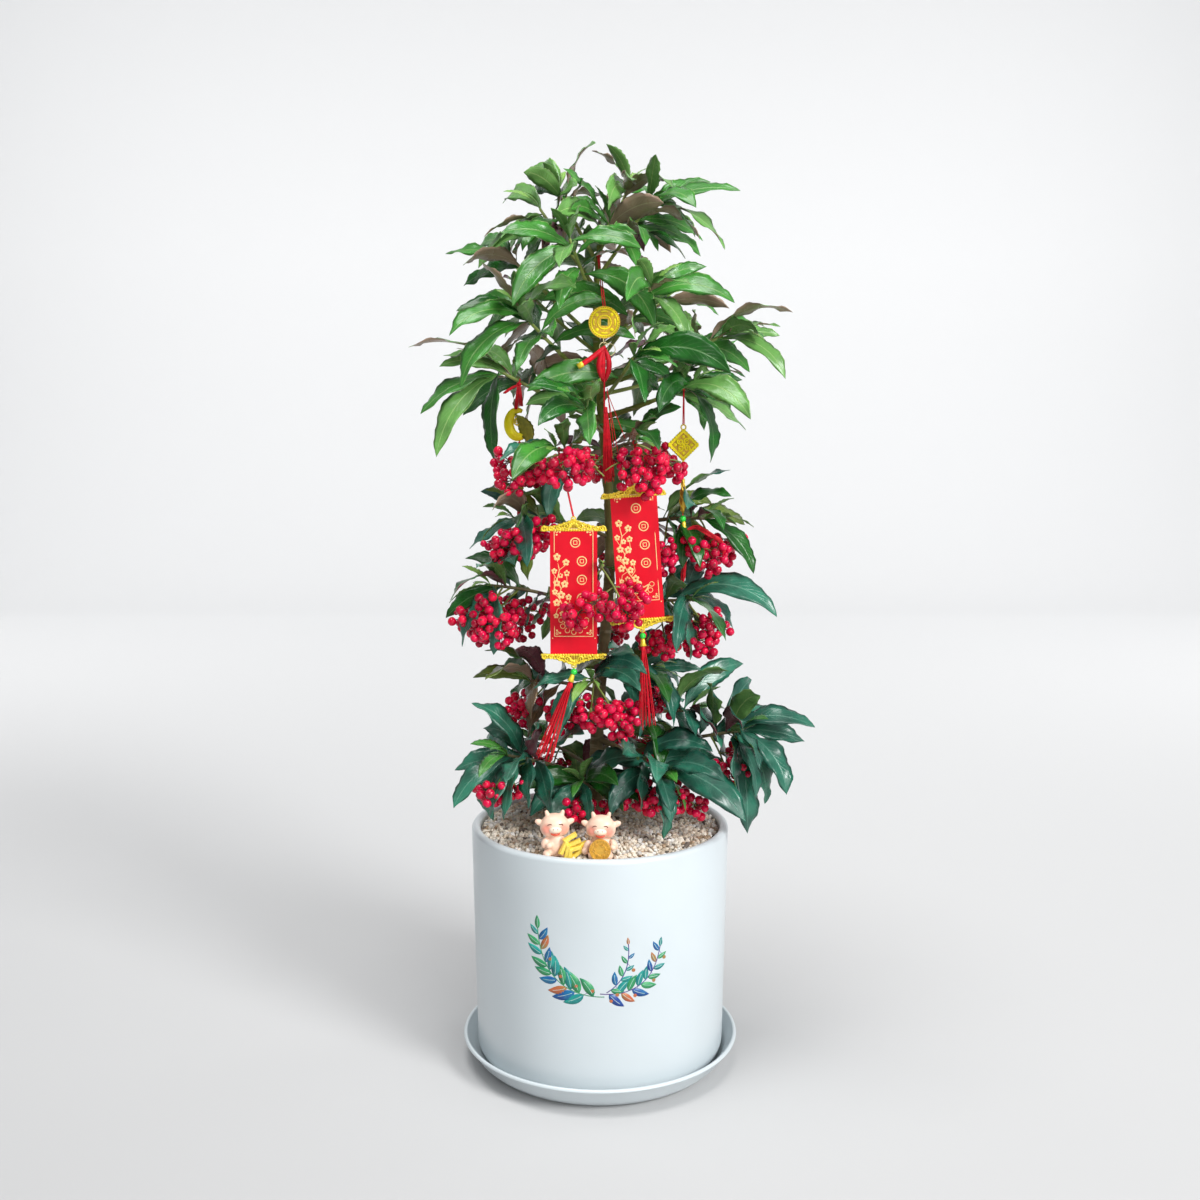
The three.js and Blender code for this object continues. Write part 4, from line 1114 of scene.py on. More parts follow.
def leaf_group():
    """Leaf surface from its marks: midrib, side veins, margin and clouded green."""
    tree, given, made = group_of(
        "leaf_surface",
        (("Blade", "NodeSocketColor", (0.05, 0.2, 0.05, 1)),
         ("Shade", "NodeSocketColor", (0.02, 0.1, 0.03, 1)),
         ("Vein", "NodeSocketColor", (0.3, 0.5, 0.15, 1)),
         ("Vein Strength", "NodeSocketFloat", 0.5),
         ("Margin", "NodeSocketFloat", 0.5)),
        (("Color", "NodeSocketColor"), ("Height", "NodeSocketFloat"),
         ("Roughness", "NodeSocketFloat")))
    if given is None:
        return tree
    marks = node(tree, "ShaderNodeUVMap", uv_map="surface").outputs[0]
    apart = tree.nodes.new("ShaderNodeSeparateXYZ")
    tree.links.new(marks, apart.inputs[0])
    along = apart.outputs[1]
    across = maths(tree, "ABSOLUTE", maths(tree, "SUBTRACT", apart.outputs[0], 0.5))
    rib = ramp(tree, across, (0.012, 1.0), (0.034, 0.0))
    slant = maths(tree, "SUBTRACT", maths(tree, "MULTIPLY", along, 15.0),
                  maths(tree, "MULTIPLY", across, 7.0))
    wave = maths(tree, "ABSOLUTE", maths(tree, "SUBTRACT", maths(tree, "FRACT", slant), 0.5))
    side_veins = ramp(tree, wave, (0.0, 1.0), (0.10, 0.0))
    side_veins = maths(tree, "MULTIPLY", side_veins,
                       ramp(tree, across, (0.05, 1.0), (0.44, 0.1)))
    scallop = maths(tree, "MULTIPLY", maths(tree, "SINE", maths(tree, "MULTIPLY", along, 95.0)),
                    0.013)
    edge = ramp(tree, maths(tree, "ADD", across, scallop), (0.466, 0.0), (0.490, 1.0))
    cloud = ramp(tree, noise(tree, 48.0, 3.0), (0.36, 0.0), (0.64, 1.0))
    base = mixed(tree, maths(tree, "MULTIPLY", cloud, 0.75), given.outputs["Blade"],
                 given.outputs["Shade"])
    lines = maths(tree, "MAXIMUM", maths(tree, "MULTIPLY", rib, 0.7),
                  maths(tree, "MULTIPLY", side_veins, 0.30))
    lines = maths(tree, "MULTIPLY", lines, given.outputs["Vein Strength"])
    lines = maths(tree, "MAXIMUM", lines, maths(tree, "MULTIPLY", edge, given.outputs["Margin"]))
    colour_out = mixed(tree, lines, base, given.outputs["Vein"])
    tree.links.new(colour_out, made.inputs["Color"])
    height = maths(tree, "ADD", maths(tree, "MULTIPLY", rib, -1.0),
                   maths(tree, "MULTIPLY", side_veins, -0.55))
    grain = noise(tree, 260.0, 2.0)
    height = maths(tree, "ADD", height, maths(tree, "MULTIPLY", grain, 0.5))
    tree.links.new(height, made.inputs["Height"])
    rough = maths(tree, "ADD", maths(tree, "MULTIPLY", cloud, 0.10), 0.24)
    tree.links.new(rough, made.inputs["Roughness"])
    return tree


def new_material(name):
    """A new material, its node tree and its Principled shader."""
    material = bpy.data.materials.new(name)
    material.use_nodes = True
    tree = material.node_tree
    return material, tree, tree.nodes["Principled BSDF"]


def set_values(made, **values):
    """Sets a node's own sockets by name."""
    for name, value in values.items():
        made.inputs[name.replace("_", " ")].default_value = value


def set_group(tree, group, **values):
    """Puts a node group in a tree and sets its inputs by name."""
    made = tree.nodes.new("ShaderNodeGroup")
    made.node_tree = group
    set_values(made, **values)
    return made


def add_bump(tree, shader, height, strength, distance):
    """Joins a height to the shader's normal."""
    bump = node(tree, "ShaderNodeBump", sockets={"Strength": strength, "Distance": distance})
    tree.links.new(height, bump.inputs["Height"])
    tree.links.new(bump.outputs[0], shader.inputs["Normal"])


def leaf_material(name, blade, shade, vein, vein_strength, margin, specular=0.40, coat=0.10):
    """Skin of one tone of leaf, with paler veins and margin."""
    material, tree, shader = new_material(name)
    group = set_group(tree, leaf_group(), Blade=(*blade, 1), Shade=(*shade, 1), Vein=(*vein, 1),
                      Vein_Strength=vein_strength, Margin=margin)
    tree.links.new(group.outputs["Color"], shader.inputs["Base Color"])
    tree.links.new(group.outputs["Roughness"], shader.inputs["Roughness"])
    set_values(shader, Specular_IOR_Level=specular, Coat_Weight=coat, Coat_Roughness=0.22)
    add_bump(tree, shader, group.outputs["Height"], 0.35, 0.0006)
    return material


def mottled_material(name, first, second, cloud, rough, grain=900.0, amount=0.7, spread=0.1,
                     bump=0.3, depth=0.0002, metallic=0.0, coat=0.0, specular=0.5):
    """A finish with two clouded colours and fine grain."""
    material, tree, shader = new_material(name)
    group = set_group(tree, mottle_group(), Color=(*first, 1), Second_Color=(*second, 1),
                      Cloud_Scale=cloud, Grain_Scale=grain, Amount=amount)
    tree.links.new(group.outputs["Color"], shader.inputs["Base Color"])
    rough = maths(tree, "ADD", maths(tree, "MULTIPLY", group.outputs["Mask"], spread), rough)
    tree.links.new(rough, shader.inputs["Roughness"])
    set_values(shader, Metallic=metallic, Coat_Weight=coat, Coat_Roughness=0.12,
               Specular_IOR_Level=specular)
    add_bump(tree, shader, group.outputs["Grain"], bump, depth)
    return material


def darker(shade, share):
    """A shade brought down to a share of itself."""
    return tuple(value * share for value in shade)


# Tones of the leaves: tops, then undersides
FRESH, MIDDLE, DEEP, MOSS, TEAL, BLUE, YOUNG, BROWN, SAGE, TAUPE, PURPLE = range(11)


def leaf_finishes():
    """Materials of the leaves in the order of their tones."""
    plant = plant_settings()
    pale = (0.42, 0.60, 0.22)
    return [leaf_material(*finish) for finish in (
        ("leaf_fresh", plant.fresh, darker(plant.fresh, 0.55), pale, 0.65, 0.75),
        ("leaf_middle", plant.middle, darker(plant.middle, 0.5), pale, 0.5, 0.6),
        ("leaf_deep", plant.deep, darker(plant.deep, 0.36), (0.22, 0.42, 0.16), 0.45, 0.45),
        ("leaf_olive", (0.12, 0.19, 0.025), (0.04, 0.072, 0.012), (0.4, 0.42, 0.14), 0.5, 0.5),
        ("leaf_teal", plant.teal, darker(plant.teal, 0.34), (0.22, 0.48, 0.34), 0.5, 0.35, 0.5),
        ("leaf_blue", (0.020, 0.140, 0.088), (0.006, 0.042, 0.030), (0.16, 0.38, 0.28), 0.5,
         0.3, 0.5),
        ("leaf_young", (0.24, 0.44, 0.09), (0.13, 0.33, 0.05), (0.5, 0.62, 0.2), 0.5, 0.6),
        ("leaf_brown", (0.15, 0.095, 0.045), (0.07, 0.04, 0.022), (0.35, 0.28, 0.14), 0.5, 0.4,
         0.35, 0.0),
        ("under_sage", (0.13, 0.27, 0.075), (0.08, 0.18, 0.045), (0.36, 0.46, 0.18), 0.8, 0.4,
         0.35, 0.0),
        ("under_taupe", (0.34, 0.24, 0.17), (0.22, 0.15, 0.105), (0.45, 0.38, 0.24), 0.8, 0.35,
         0.35, 0.0),
        ("under_purple", (0.18, 0.060, 0.078), (0.07, 0.022, 0.032), (0.2, 0.14, 0.12), 0.75,
         0.3, 0.4, 0.05),
    )]


# Shares of the tones on each storey; "low" are the tiers below a height in millimetres
LOW_TIERS = 480
TOPS = {
    "crown": ((FRESH, 0.36), (MIDDLE, 0.42), (DEEP, 0.22)),
    "tier": ((FRESH, 0.07), (MIDDLE, 0.21), (DEEP, 0.28), (MOSS, 0.26), (TEAL, 0.08),
             (BLUE, 0.05), (BROWN, 0.05)),
    "low": ((MIDDLE, 0.09), (MOSS, 0.13), (TEAL, 0.42), (BLUE, 0.18), (DEEP, 0.14),
            (BROWN, 0.04)),
    "base": ((TEAL, 0.46), (BLUE, 0.42), (DEEP, 0.12)),
}
UNDERSIDES = {
    "crown": ((SAGE, 0.52), (TAUPE, 0.42), (PURPLE, 0.06)),
    "tier": ((SAGE, 0.35), (TAUPE, 0.40), (PURPLE, 0.25)),
    "low": ((SAGE, 0.30), (TAUPE, 0.25), (PURPLE, 0.45)),
    "base": ((SAGE, 0.62), (TAUPE, 0.13), (PURPLE, 0.25)),
}
YOUNG_TONES = {"crown": YOUNG, "tier": YOUNG, "base": MIDDLE}


def dealt(shares, value):
    """The tone whose share of the deal holds a value from 0 to 1."""
    for tone, share in shares:
        value -= share
        if value <= 0:
            return tone
    return shares[-1][0]


# The plant's pieces

def extra_leaves(sprig, room, draw):
    """Small light leaves at a shoot's tip, which the source leaves out."""
    kind, stem = KINDS[sprig.lateral.kind], sprig.stem
    phase = 360 * draw()
    for i in range(plant_settings().young_leaves):
        lean = math.radians(18 + 9 * i)
        aim = unit(stem.aim(stem.ahead(1.0), lean, math.radians(phase + GOLDEN * i))
                   + 0.5 * math.cos(lean) * UP)
        size = kind.length * (0.24 + 0.09 * i) * (0.85 + 0.3 * draw())
        bend = math.radians(30 + 20 * draw())
        leaf = Leaf(stem.tip, math.atan2(aim[1], aim[0]), math.asin(aim[2]) * 0.8 + 0.15, bend,
                    size, math.radians(50 * (draw() - 0.5)), width=0.27, wave=0.5,
                    tone=YOUNG_TONES[sprig.lateral.kind], under=SAGE, phase=6.28 * draw())
        if not room.meets(leaf_proxy(leaf, COARSE, GUARD, OWN_SHARE), sprig.lateral.name, True):
            room.hang_leaf(sprig, leaf, COARSE)


# Leaves that fill the older part of a low shoot, of each storey
FILLERS = {"crown": 2, "tier": 8, "base": 8}


def filler_leaves(sprig, room, draw):
    """More leaves along the older part of a low shoot, which the source leaves out."""
    kind, stem = KINDS[sprig.lateral.kind], sprig.stem
    low = (sprig.lateral.bough or 0.3) + 0.05
    phase = 360 * draw()
    number = FILLERS[sprig.lateral.kind]
    if sprig.lateral.leaves >= 0:
        number = max(0, sprig.lateral.leaves - 2)
    for i in range(number):
        share = low + (0.95 - low) * draw()
        root = stem.point(share)
        lean = math.radians(55 + 25 * draw())
        aim = stem.aim(stem.ahead(share), lean, math.radians(phase + GOLDEN * i))
        heading = math.atan2(aim[1], aim[0])
        bend = math.radians(40 + 25 * draw())
        size = kind.length * (0.66 + 0.30 * draw())
        roll = facing_roll(root, heading) + math.radians(30 * (draw() - 0.5))
        room.hang_leaf(sprig, Leaf(root, heading, math.asin(aim[2]) * 0.7 + 0.1, bend, size, roll),
                       COARSE)


# More leaves low over the gravel: share of the stem, heading, pitch and length
MORE_LEAVES = {
    "base_left": ((0.7, 285, -38, 74), (0.55, 300, -30, 66), (0.9, 262, -42, 70)),
    "base_front": ((0.6, 318, -6, 70), (0.8, 300, -14, 66), (0.5, 205, -22, 72),
                   (0.9, 340, 8, 64)),
    "base_right_front": ((0.75, 262, -30, 66), (0.9, 285, -48, 62)),
}


def low_leaves(sprig, room, draw):
    """More leaves of the base that hang over the gravel, where there is room."""
    for share, heading, pitch, size in MORE_LEAVES.get(sprig.lateral.name, ()):
        root, turn = sprig.stem.point(share), math.radians(heading)
        bend = math.radians(40 + 15 * draw())
        roll = facing_roll(root, turn) + math.radians(20 * (draw() - 0.5))
        room.hang_leaf(sprig, Leaf(root, turn, math.radians(pitch) + bend / 2, bend, size, roll),
                       FINE)


def dress_leaves(sprig, draw):
    """Deals a spray's tones out, with some leaves apart from the rest."""
    storey = sprig.lateral.kind
    kind = KINDS[storey]
    if storey == "tier" and sprig.lateral.root < LOW_TIERS:
        storey = "low"
    spray = draw()
    for leaf in sprig.leaves:
        value = (spray + 0.55 * (draw() - 0.5) + 1) % 1 if draw() < 0.75 else draw()
        leaf.tone = dealt(TOPS[storey], value)
        leaf.under = dealt(UNDERSIDES[storey], draw())
        leaf.width = kind.width * (0.9 + 0.2 * draw())
        leaf.wave = kind.waves * (0.7 + 0.6 * draw())
        leaf.phase = 2 * math.pi * draw()


def leaf_heap(sprigs):
    """The blades of all leaves of some sprigs."""
    heap = Heap()
    for sprig in sprigs:
        for leaf in sprig.leaves:
            points, marks = blade_points(leaf)
            slots = np.where(BLADE_SIDES == 0, leaf.tone, leaf.under)
            heap.add(points, BLADE_FACES, slots, marks)
    return heap


BERRY_SIDES = 9
BERRY = ball_shape((0, 32, 64, 96, 128, 166, 180), BERRY_SIDES)
# The last fan of faces, round the lower pole, is the dry end of the fruit
BERRY_END = np.arange(len(BERRY[1])) >= len(BERRY[1]) - BERRY_SIDES


@dataclass
class Fruit:
    """A berry: its middle, the joint of its stalk, and its radius."""

    centre: np.ndarray
    joint: np.ndarray
    radius: float


# The space in front of the coin's tassel, which no berry fills
TASSEL_VIEW = ((-7, -170, 577), (17, -48, 655))
# Reach of the berries round the middle of a main umbel and of a side umbel
MAIN_REACH, SIDE_REACH = 12.6, 10.0
# Turns of the three side umbels about the arm of their main one, in degrees
SIDE_TURNS = (60, -60, 0)
# Share of a berry's radius that has to be free, and how close two berries may come
LEAST_ROOM, SQUEEZE = 0.6, 0.9
# Middles of more umbels that hang from one umbel of a lateral, given by its number
MORE_HEADS = {
    ("tier3_front", 1): ((-22, -107, 464), (-5, -113, 474)),
    ("tier1_left", 1): ((-84, -76, 601), (-80, -92, 584)),
    ("tier1_right", 2): ((44, -92, 582),),
}


def heads_of(sprig, draw):
    """The berry heads of a sprig: each one's middle, the place on its umbel's arm that carries
    it, its number of berries and their reach, with a stalk for each but the umbels' own."""
    plant = plant_settings()
    for number, umbel in enumerate(sprig.umbels):
        arm = umbel.centre - umbel.root
        heads = [(umbel.centre, umbel.root, plant.berries, MAIN_REACH)]
        heading = math.atan2(arm[1], arm[0])
        for k, turn in enumerate(SIDE_TURNS):
            part = umbel.root + arm * (0.42 + 0.13 * k)
            reach = level(heading + math.radians(turn + 20 * (draw() - 0.5)))
            head = part + reach * (18 + 6 * draw()) - UP * (19 * draw() - 3)
            heads.append((head, part, plant.side_berries, SIDE_REACH))
        for place in MORE_HEADS.get((sprig.lateral.name, number), ()):
            part = umbel.root + arm * 0.45
            heads.append((np.array(place, float), part, plant.berries, MAIN_REACH))
        sprig.stalks += [(part, head) for head, part, _, _ in heads[1:]]
        yield from heads


def grow_fruit(sprig, surfaces, taken, draw):
    """Grows the berries of a sprig's heads where they cross nothing that is in place."""
    size = plant_settings().berry_radius / MM
    clear = [*charm_views(5), TASSEL_VIEW]
    for head, root, number, spread in heads_of(sprig, draw):
        start = 360 * draw()
        back = unit(root - head)
        for j in range(number):
            polar = math.acos(1 - 1.72 * (j + 0.5) / number)
            around = math.radians(start + GOLDEN * j)
            aim = np.array((math.sin(polar) * math.cos(around),
                            math.sin(polar) * math.sin(around), -math.cos(polar)))
            joint = head + back * (j % 4) * 1.3
            centre = joint + aim * spread * (0.85 + 0.3 * draw())
            radius = size * (0.86 + 0.22 * draw())
            if any((centre > low).all() and (centre < high).all() for low, high in clear):
                continue
            nearest = surfaces.find_nearest(Vector(centre), radius + 0.2)
            if nearest[0] is not None:
                if nearest[3] < LEAST_ROOM * radius:
                    continue
                radius = min(radius, nearest[3])
            if taken:
                gaps = np.linalg.norm(np.asarray([f.centre for f in taken]) - centre, axis=1)
                if (gaps < SQUEEZE * (np.asarray([f.radius for f in taken]) + radius)).any():
                    continue
            fruit = Fruit(centre, joint, radius)
            sprig.fruits.append(fruit)
            taken.append(fruit)


FOLIAGE = {}


def grow_plant():
    """Grows the whole plant once and keeps it for the operators of its pieces."""
    if FOLIAGE:
        return FOLIAGE
    sprigs, room = grown_sprigs()
    draw = seeded(SEEDS["foliage"])
    for sprig in sprigs:
        low_leaves(sprig, room, draw)
    for sprig in sprigs:
        filler_leaves(sprig, room, draw)
        dress_leaves(sprig, draw)
    for sprig in sprigs:
        extra_leaves(sprig, room, draw)
    surfaces = room.surfaces()
    taken = []
    for sprig in sprigs:
        grow_fruit(sprig, surfaces, taken, draw)
    FOLIAGE["sprigs"] = sprigs
    FOLIAGE["draw"] = draw
    return FOLIAGE


def masses(*kinds):
    """Names of the CAD masses of the given kinds."""
    return [lateral.name for lateral in LATERALS if lateral.kind in kinds]


class ARDISIA_OT_leaves(bpy.types.Operator):
    """Grow the leaves of the three storeys, each storey as one joined mesh"""

    bl_idname = "ardisia.leaves"
    bl_label = "Leaves"

    def execute(self, context):
        sprigs = grow_plant()["sprigs"]
        finishes = leaf_finishes()
        for kind, slot in (("crown", "crown_leaves"), ("tier", "fruiting_sprays"),
                           ("base", "base_leaves")):
            heap = leaf_heap([sprig for sprig in sprigs if sprig.lateral.kind == kind])
            piece = heap.piece(finishes)
            mounted(piece, "leaves_" + kind, slot, *masses(kind))
        return {"FINISHED"}


def berry_material(name, light, dark, rough=0.08):
    """Glossy berry skin, faintly clouded."""
    return mottled_material(name, light, dark, 130.0, rough, amount=0.5, spread=0.05, bump=0.03,
                            specular=0.4)


class ARDISIA_OT_berries(bpy.types.Operator):
    """Grow the red berries in their umbels as one joined mesh"""

    bl_idname = "ardisia.berries"
    bl_label = "Berries"

    def execute(self, context):
        grown = grow_plant()
        draw = grown["draw"]
        fruits = [fruit for sprig in grown["sprigs"] for fruit in sprig.fruits]
        centres = np.array([fruit.centre for fruit in fruits])
        ahead = unit(centres - np.array([fruit.joint for fruit in fruits]))
        sizes = np.array([fruit.radius for fruit in fruits])[:, None] * np.array((1, 1, 0.94))
        # A third of the berries, dealt at random, take the darker berry_dark tone: partly riper
        # fruit and partly painted shade.
        tones = np.array([int(3 * draw()) for _ in fruits])
        slots = np.where(BERRY_END[None], 3, tones[:, None])
        heap = Heap()
        heap.add_copies(BERRY, axes_along(-ahead), centres, sizes, slots)
        ripe = plant_settings().ripe
        finishes = [
            berry_material("berry_crimson", ripe, darker(ripe, 0.55)),
            berry_material("berry_scarlet", (0.82, 0.006, 0.052), (0.56, 0.004, 0.045)),
            berry_material("berry_dark", (0.54, 0.003, 0.038), (0.32, 0.002, 0.03), 0.09),
            mottled_material("berry_end", (0.20, 0.010, 0.012), (0.10, 0.004, 0.006), 300.0, 0.5,
                             1500.0, 0.6),
        ]
        mounted(heap.piece(finishes), "berries", "fruiting_sprays")
        return {"FINISHED"}


def arched(start, end, sag, steps=5):
    """A path between two points that first rises and then bows down."""
    share = np.linspace(0, 1, steps)[:, None]
    return start + (end - start) * share + UP * sag * np.sin(math.pi * share)


class ARDISIA_OT_twigs(bpy.types.Operator):
    """Grow the green twigs of the masses and the stalks of the fruit"""

    bl_idname = "ardisia.twigs"
    bl_label = "Twigs and stalks"

    def execute(self, context):
        green, olive, brown = range(3)
        heap = Heap()
        for sprig in grow_plant()["sprigs"]:
            stem = sprig.stem
            low = sprig.lateral.bough - 0.5 / stem.length if sprig.lateral.bough else 0.0
            shares = np.linspace(low, 1.0, 9)
            add_rod(heap, [stem.point(share) for share in shares],
                    [0.92 * stem.radius(share) for share in shares], 8,
                    green if sprig.lateral.kind == "crown" else olive)
            for umbel in sprig.umbels:
                path = arched(umbel.root, umbel.centre, 3.0)
                add_rod(heap, path, np.linspace(1.05, 0.8, len(path)), 6, green)
            for start, end in sprig.stalks:
                add_rod(heap, arched(start, end, 1.2, 4), 0.62, 5, green)
            for fruit in sprig.fruits:
                add_rod(heap, arched(fruit.joint, fruit.centre, 0.7, 3), 0.42, 4, brown)
        finishes = [
            mottled_material("twig_green", (0.27, 0.36, 0.07), (0.15, 0.17, 0.045), 70.0, 0.5,
                             600.0, 0.8, depth=0.0003),
            mottled_material("twig_olive", (0.15, 0.13, 0.05), (0.09, 0.06, 0.035), 70.0, 0.55,
                             600.0, 0.8, bump=0.4, depth=0.0003),
            mottled_material("fruit_stalk", (0.07, 0.022, 0.03), (0.10, 0.06, 0.03), 110.0, 0.5,
                             600.0, 0.8, bump=0.1),
        ]
        mounted(heap.piece(finishes), "twigs", "fruiting_sprays")
        return {"FINISHED"}


# Heights between which the bark has leaf scars all round, and their least distance
FIRST_RING, LAST_RING, RING_STEP = 262.0, 790.0, 9


class ARDISIA_OT_trunk(bpy.types.Operator):
    """Sweep the trunk and the boughs and give them bark relief"""

    bl_idname = "ardisia.trunk"
    bl_label = "Trunk and boughs"

    def execute(self, context):
        draw = seeded(SEEDS["trunk"])
        heights = np.arange(TRUNK_LOW - 4, TRUNK_TOP + 0.5, 1.6)
        rings = []
        height = FIRST_RING
        while height < LAST_RING:
            rings.append(height)
            height += RING_STEP * (1 + draw())
        radii = []
        for height in heights:
            nearest = min(abs(height - ring) for ring in rings)
            swell = 0.45 * math.exp(-(nearest / 1.5) ** 2)
            radii.append(trunk_radius(max(height, TRUNK_FOOT)) + swell)
        pieces = [swept_piece([trunk_axis(height) for height in heights], radii, 20)]
        for lateral in LATERALS:
            if lateral.bough:
                stem = Stem(lateral)
                shares = np.linspace(0, lateral.bough, 34)
                radii = [stem.radius(share) + (0.3 if i % 7 == 3 else 0.0)
                         for i, share in enumerate(shares)]
                pieces.append(swept_piece([stem.point(share) for share in shares], radii, 12))
        piece = joined(pieces)
        for name, size, strength in (("bark_lumps", 0.009, 0.0009), ("bark_grain", 0.0022, 0.0004)):
            displace(piece, name, size, strength)
        boughs = [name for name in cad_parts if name.startswith("bough_")]
        mounted(coat(smooth(piece, 60), bark_material()), "trunk_bark", "bark", "trunk", *boughs)
        return {"FINISHED"}


def bark_material():
    """Bark that is grey-brown at the foot and olive green near the top, with pale node rings."""
    material, tree, shader = new_material("bark_finish")
    group = set_group(tree, mottle_group(), Color=(0.215, 0.170, 0.085, 1),
                      Second_Color=(0.10, 0.078, 0.034, 1), Cloud_Scale=55.0, Grain_Scale=700.0,
                      Amount=0.85)
    place = tree.nodes.new("ShaderNodeTexCoord").outputs["Object"]
    apart = tree.nodes.new("ShaderNodeSeparateXYZ")
    tree.links.new(place, apart.inputs[0])
    high = node(tree, "ShaderNodeMapRange", sockets={"From Min": 0.42, "From Max": 0.70})
    tree.links.new(apart.outputs[2], high.inputs["Value"])
    stretched = node(tree, "ShaderNodeMapping", sockets={"Scale": (1.0, 1.0, 6.0)})
    tree.links.new(place, stretched.inputs["Vector"])
    bands = noise(tree, 34.0, 4.0, stretched.outputs[0], 0.6)
    green = mixed(tree, bands, (0.20, 0.27, 0.035, 1), (0.085, 0.10, 0.018, 1))
    colour_out = mixed(tree, high.outputs[0], group.outputs["Color"], green)
    pale = ramp(tree, bands, (0.58, 0.0), (0.68, 1.0))
    colour_out = mixed(tree, maths(tree, "MULTIPLY", pale, 0.4), colour_out,
                       (0.42, 0.38, 0.27, 1))
    tree.links.new(colour_out, shader.inputs["Base Color"])
    set_values(shader, Roughness=0.68, Specular_IOR_Level=0.3)
    add_bump(tree, shader, bands, 0.5, 0.0012)
    return material


# Pot, saucer and gravel

def glaze_material():
    """Cool white satin glaze with a faint cloudiness."""
    white = pot_settings().glaze
    return mottled_material("glaze_satin", white, darker(white, 0.93), 9.0, 0.30, 260.0,
                            spread=0.08, bump=0.03, coat=0.25)


class ARDISIA_OT_pot(bpy.types.Operator):
    """Turn the glazed pot from its rounded foot to its rounded lip and its inside"""

    bl_idname = "ardisia.pot"
    bl_label = "Pot"

    def execute(self, context):
        pot = pot_settings()
        corner = pot.low_radius - pot.foot_radius
        lip = pot.wall / 2
        low = pot.foot_height
        inner = pot.low_radius - pot.wall
        floor = low + 0.010
        belly = [(pot.low_radius + (pot.rim_radius - pot.low_radius) * share,
                  low + corner + (pot.top - lip - low - corner) * share)
                 for share in (0.25, 0.5, 0.75)]
        rings = [
            (0.02, low + 0.0012), (pot.foot_radius - 0.010, low + 0.0012),
            (pot.foot_radius - 0.009, low),
            *arc(pot.foot_radius, low + corner, corner, -90, 0, 12),
            *belly,
            *arc(pot.rim_radius - lip, pot.top - lip, lip, 0, 180, 12),
            (inner + 0.0005, floor + 0.006), (inner - 0.006, floor), (0.02, floor),
        ]
        piece = smooth(turned_piece(rings, pot.sides), 45)
        mounted(coat(piece, glaze_material()), "pot_body", "glaze", "pot")
        return {"FINISHED"}


class ARDISIA_OT_saucer(bpy.types.Operator):
    """Turn the flared saucer with its rounded lip and flat floor"""

    bl_idname = "ardisia.saucer"
    bl_label = "Saucer"

    def execute(self, context):
        pot = pot_settings()
        lip = 0.002
        knee = (pot.saucer_rim - 0.011, pot.saucer_height - 0.015)
        foot = pot.saucer_foot
        rings = [
            (0.02, 0.0), (foot - 0.001, 0.0), (foot, 0.0006),
            (foot + (knee[0] - foot) * 0.5, 0.0038), (knee[0], knee[1]),
            (knee[0] + 0.0045, pot.saucer_height - 0.006),
            *arc(pot.saucer_rim - lip, pot.saucer_height, lip, -10, 180, 9),
            (knee[0] + 0.0007, pot.saucer_height - 0.007),
            (knee[0] - 0.0025, knee[1] + 0.0015), (foot + 0.003, 0.0064),
            (foot - 0.002, 0.0056), (0.02, 0.0056),
        ]
        piece = smooth(turned_piece(rings, pot.sides), 45)
        mounted(coat(piece, glaze_material()), "saucer_dish", "glaze", "saucer")
        return {"FINISHED"}


def gravel_height(radius):
    """Height of the gravel's top at a radius, in millimetres, as in the part's source."""
    pot = pot_settings()
    edge = pot.gravel_edge / MM
    inner = (pot.rim_radius - pot.wall) / MM - 0.3
    return float(np.interp(radius, (24, inner - 60, inner - 20, inner),
                           (pot.gravel_top / MM, edge + 8.5, edge + 4, edge)))


def pebble_shape():
    """A ball of twenty three-cornered faces."""
    clear_selection()
    bpy.ops.mesh.primitive_ico_sphere_add(subdivisions=1, radius=1.0, location=(0, 0, 0))
    piece = bpy.context.active_object
    points = np.array([tuple(point.co) for point in piece.data.vertices])
    faces = np.array([(*face.vertices, -1) for face in piece.data.polygons])
    bpy.ops.object.delete()
    return points, faces


PEBBLE_TONES = (
    ("pebble_cream", (0.95, 0.87, 0.74)),
    ("pebble_beige", (0.82, 0.70, 0.55)),
    ("pebble_grey", (0.66, 0.63, 0.58)),
    ("pebble_brown", (0.48, 0.34, 0.22)),
    ("pebble_dark", (0.20, 0.16, 0.13)),
    ("pebble_white", (0.98, 0.96, 0.91)),
)
PEBBLE_DEAL = ((0, 0.32), (1, 0.28), (2, 0.12), (3, 0.08), (4, 0.04), (5, 0.16))
# Clear space round the trunk and round each calf figure, in millimetres
TRUNK_SPACE, CALF_SPACE = 10.5, 12.5


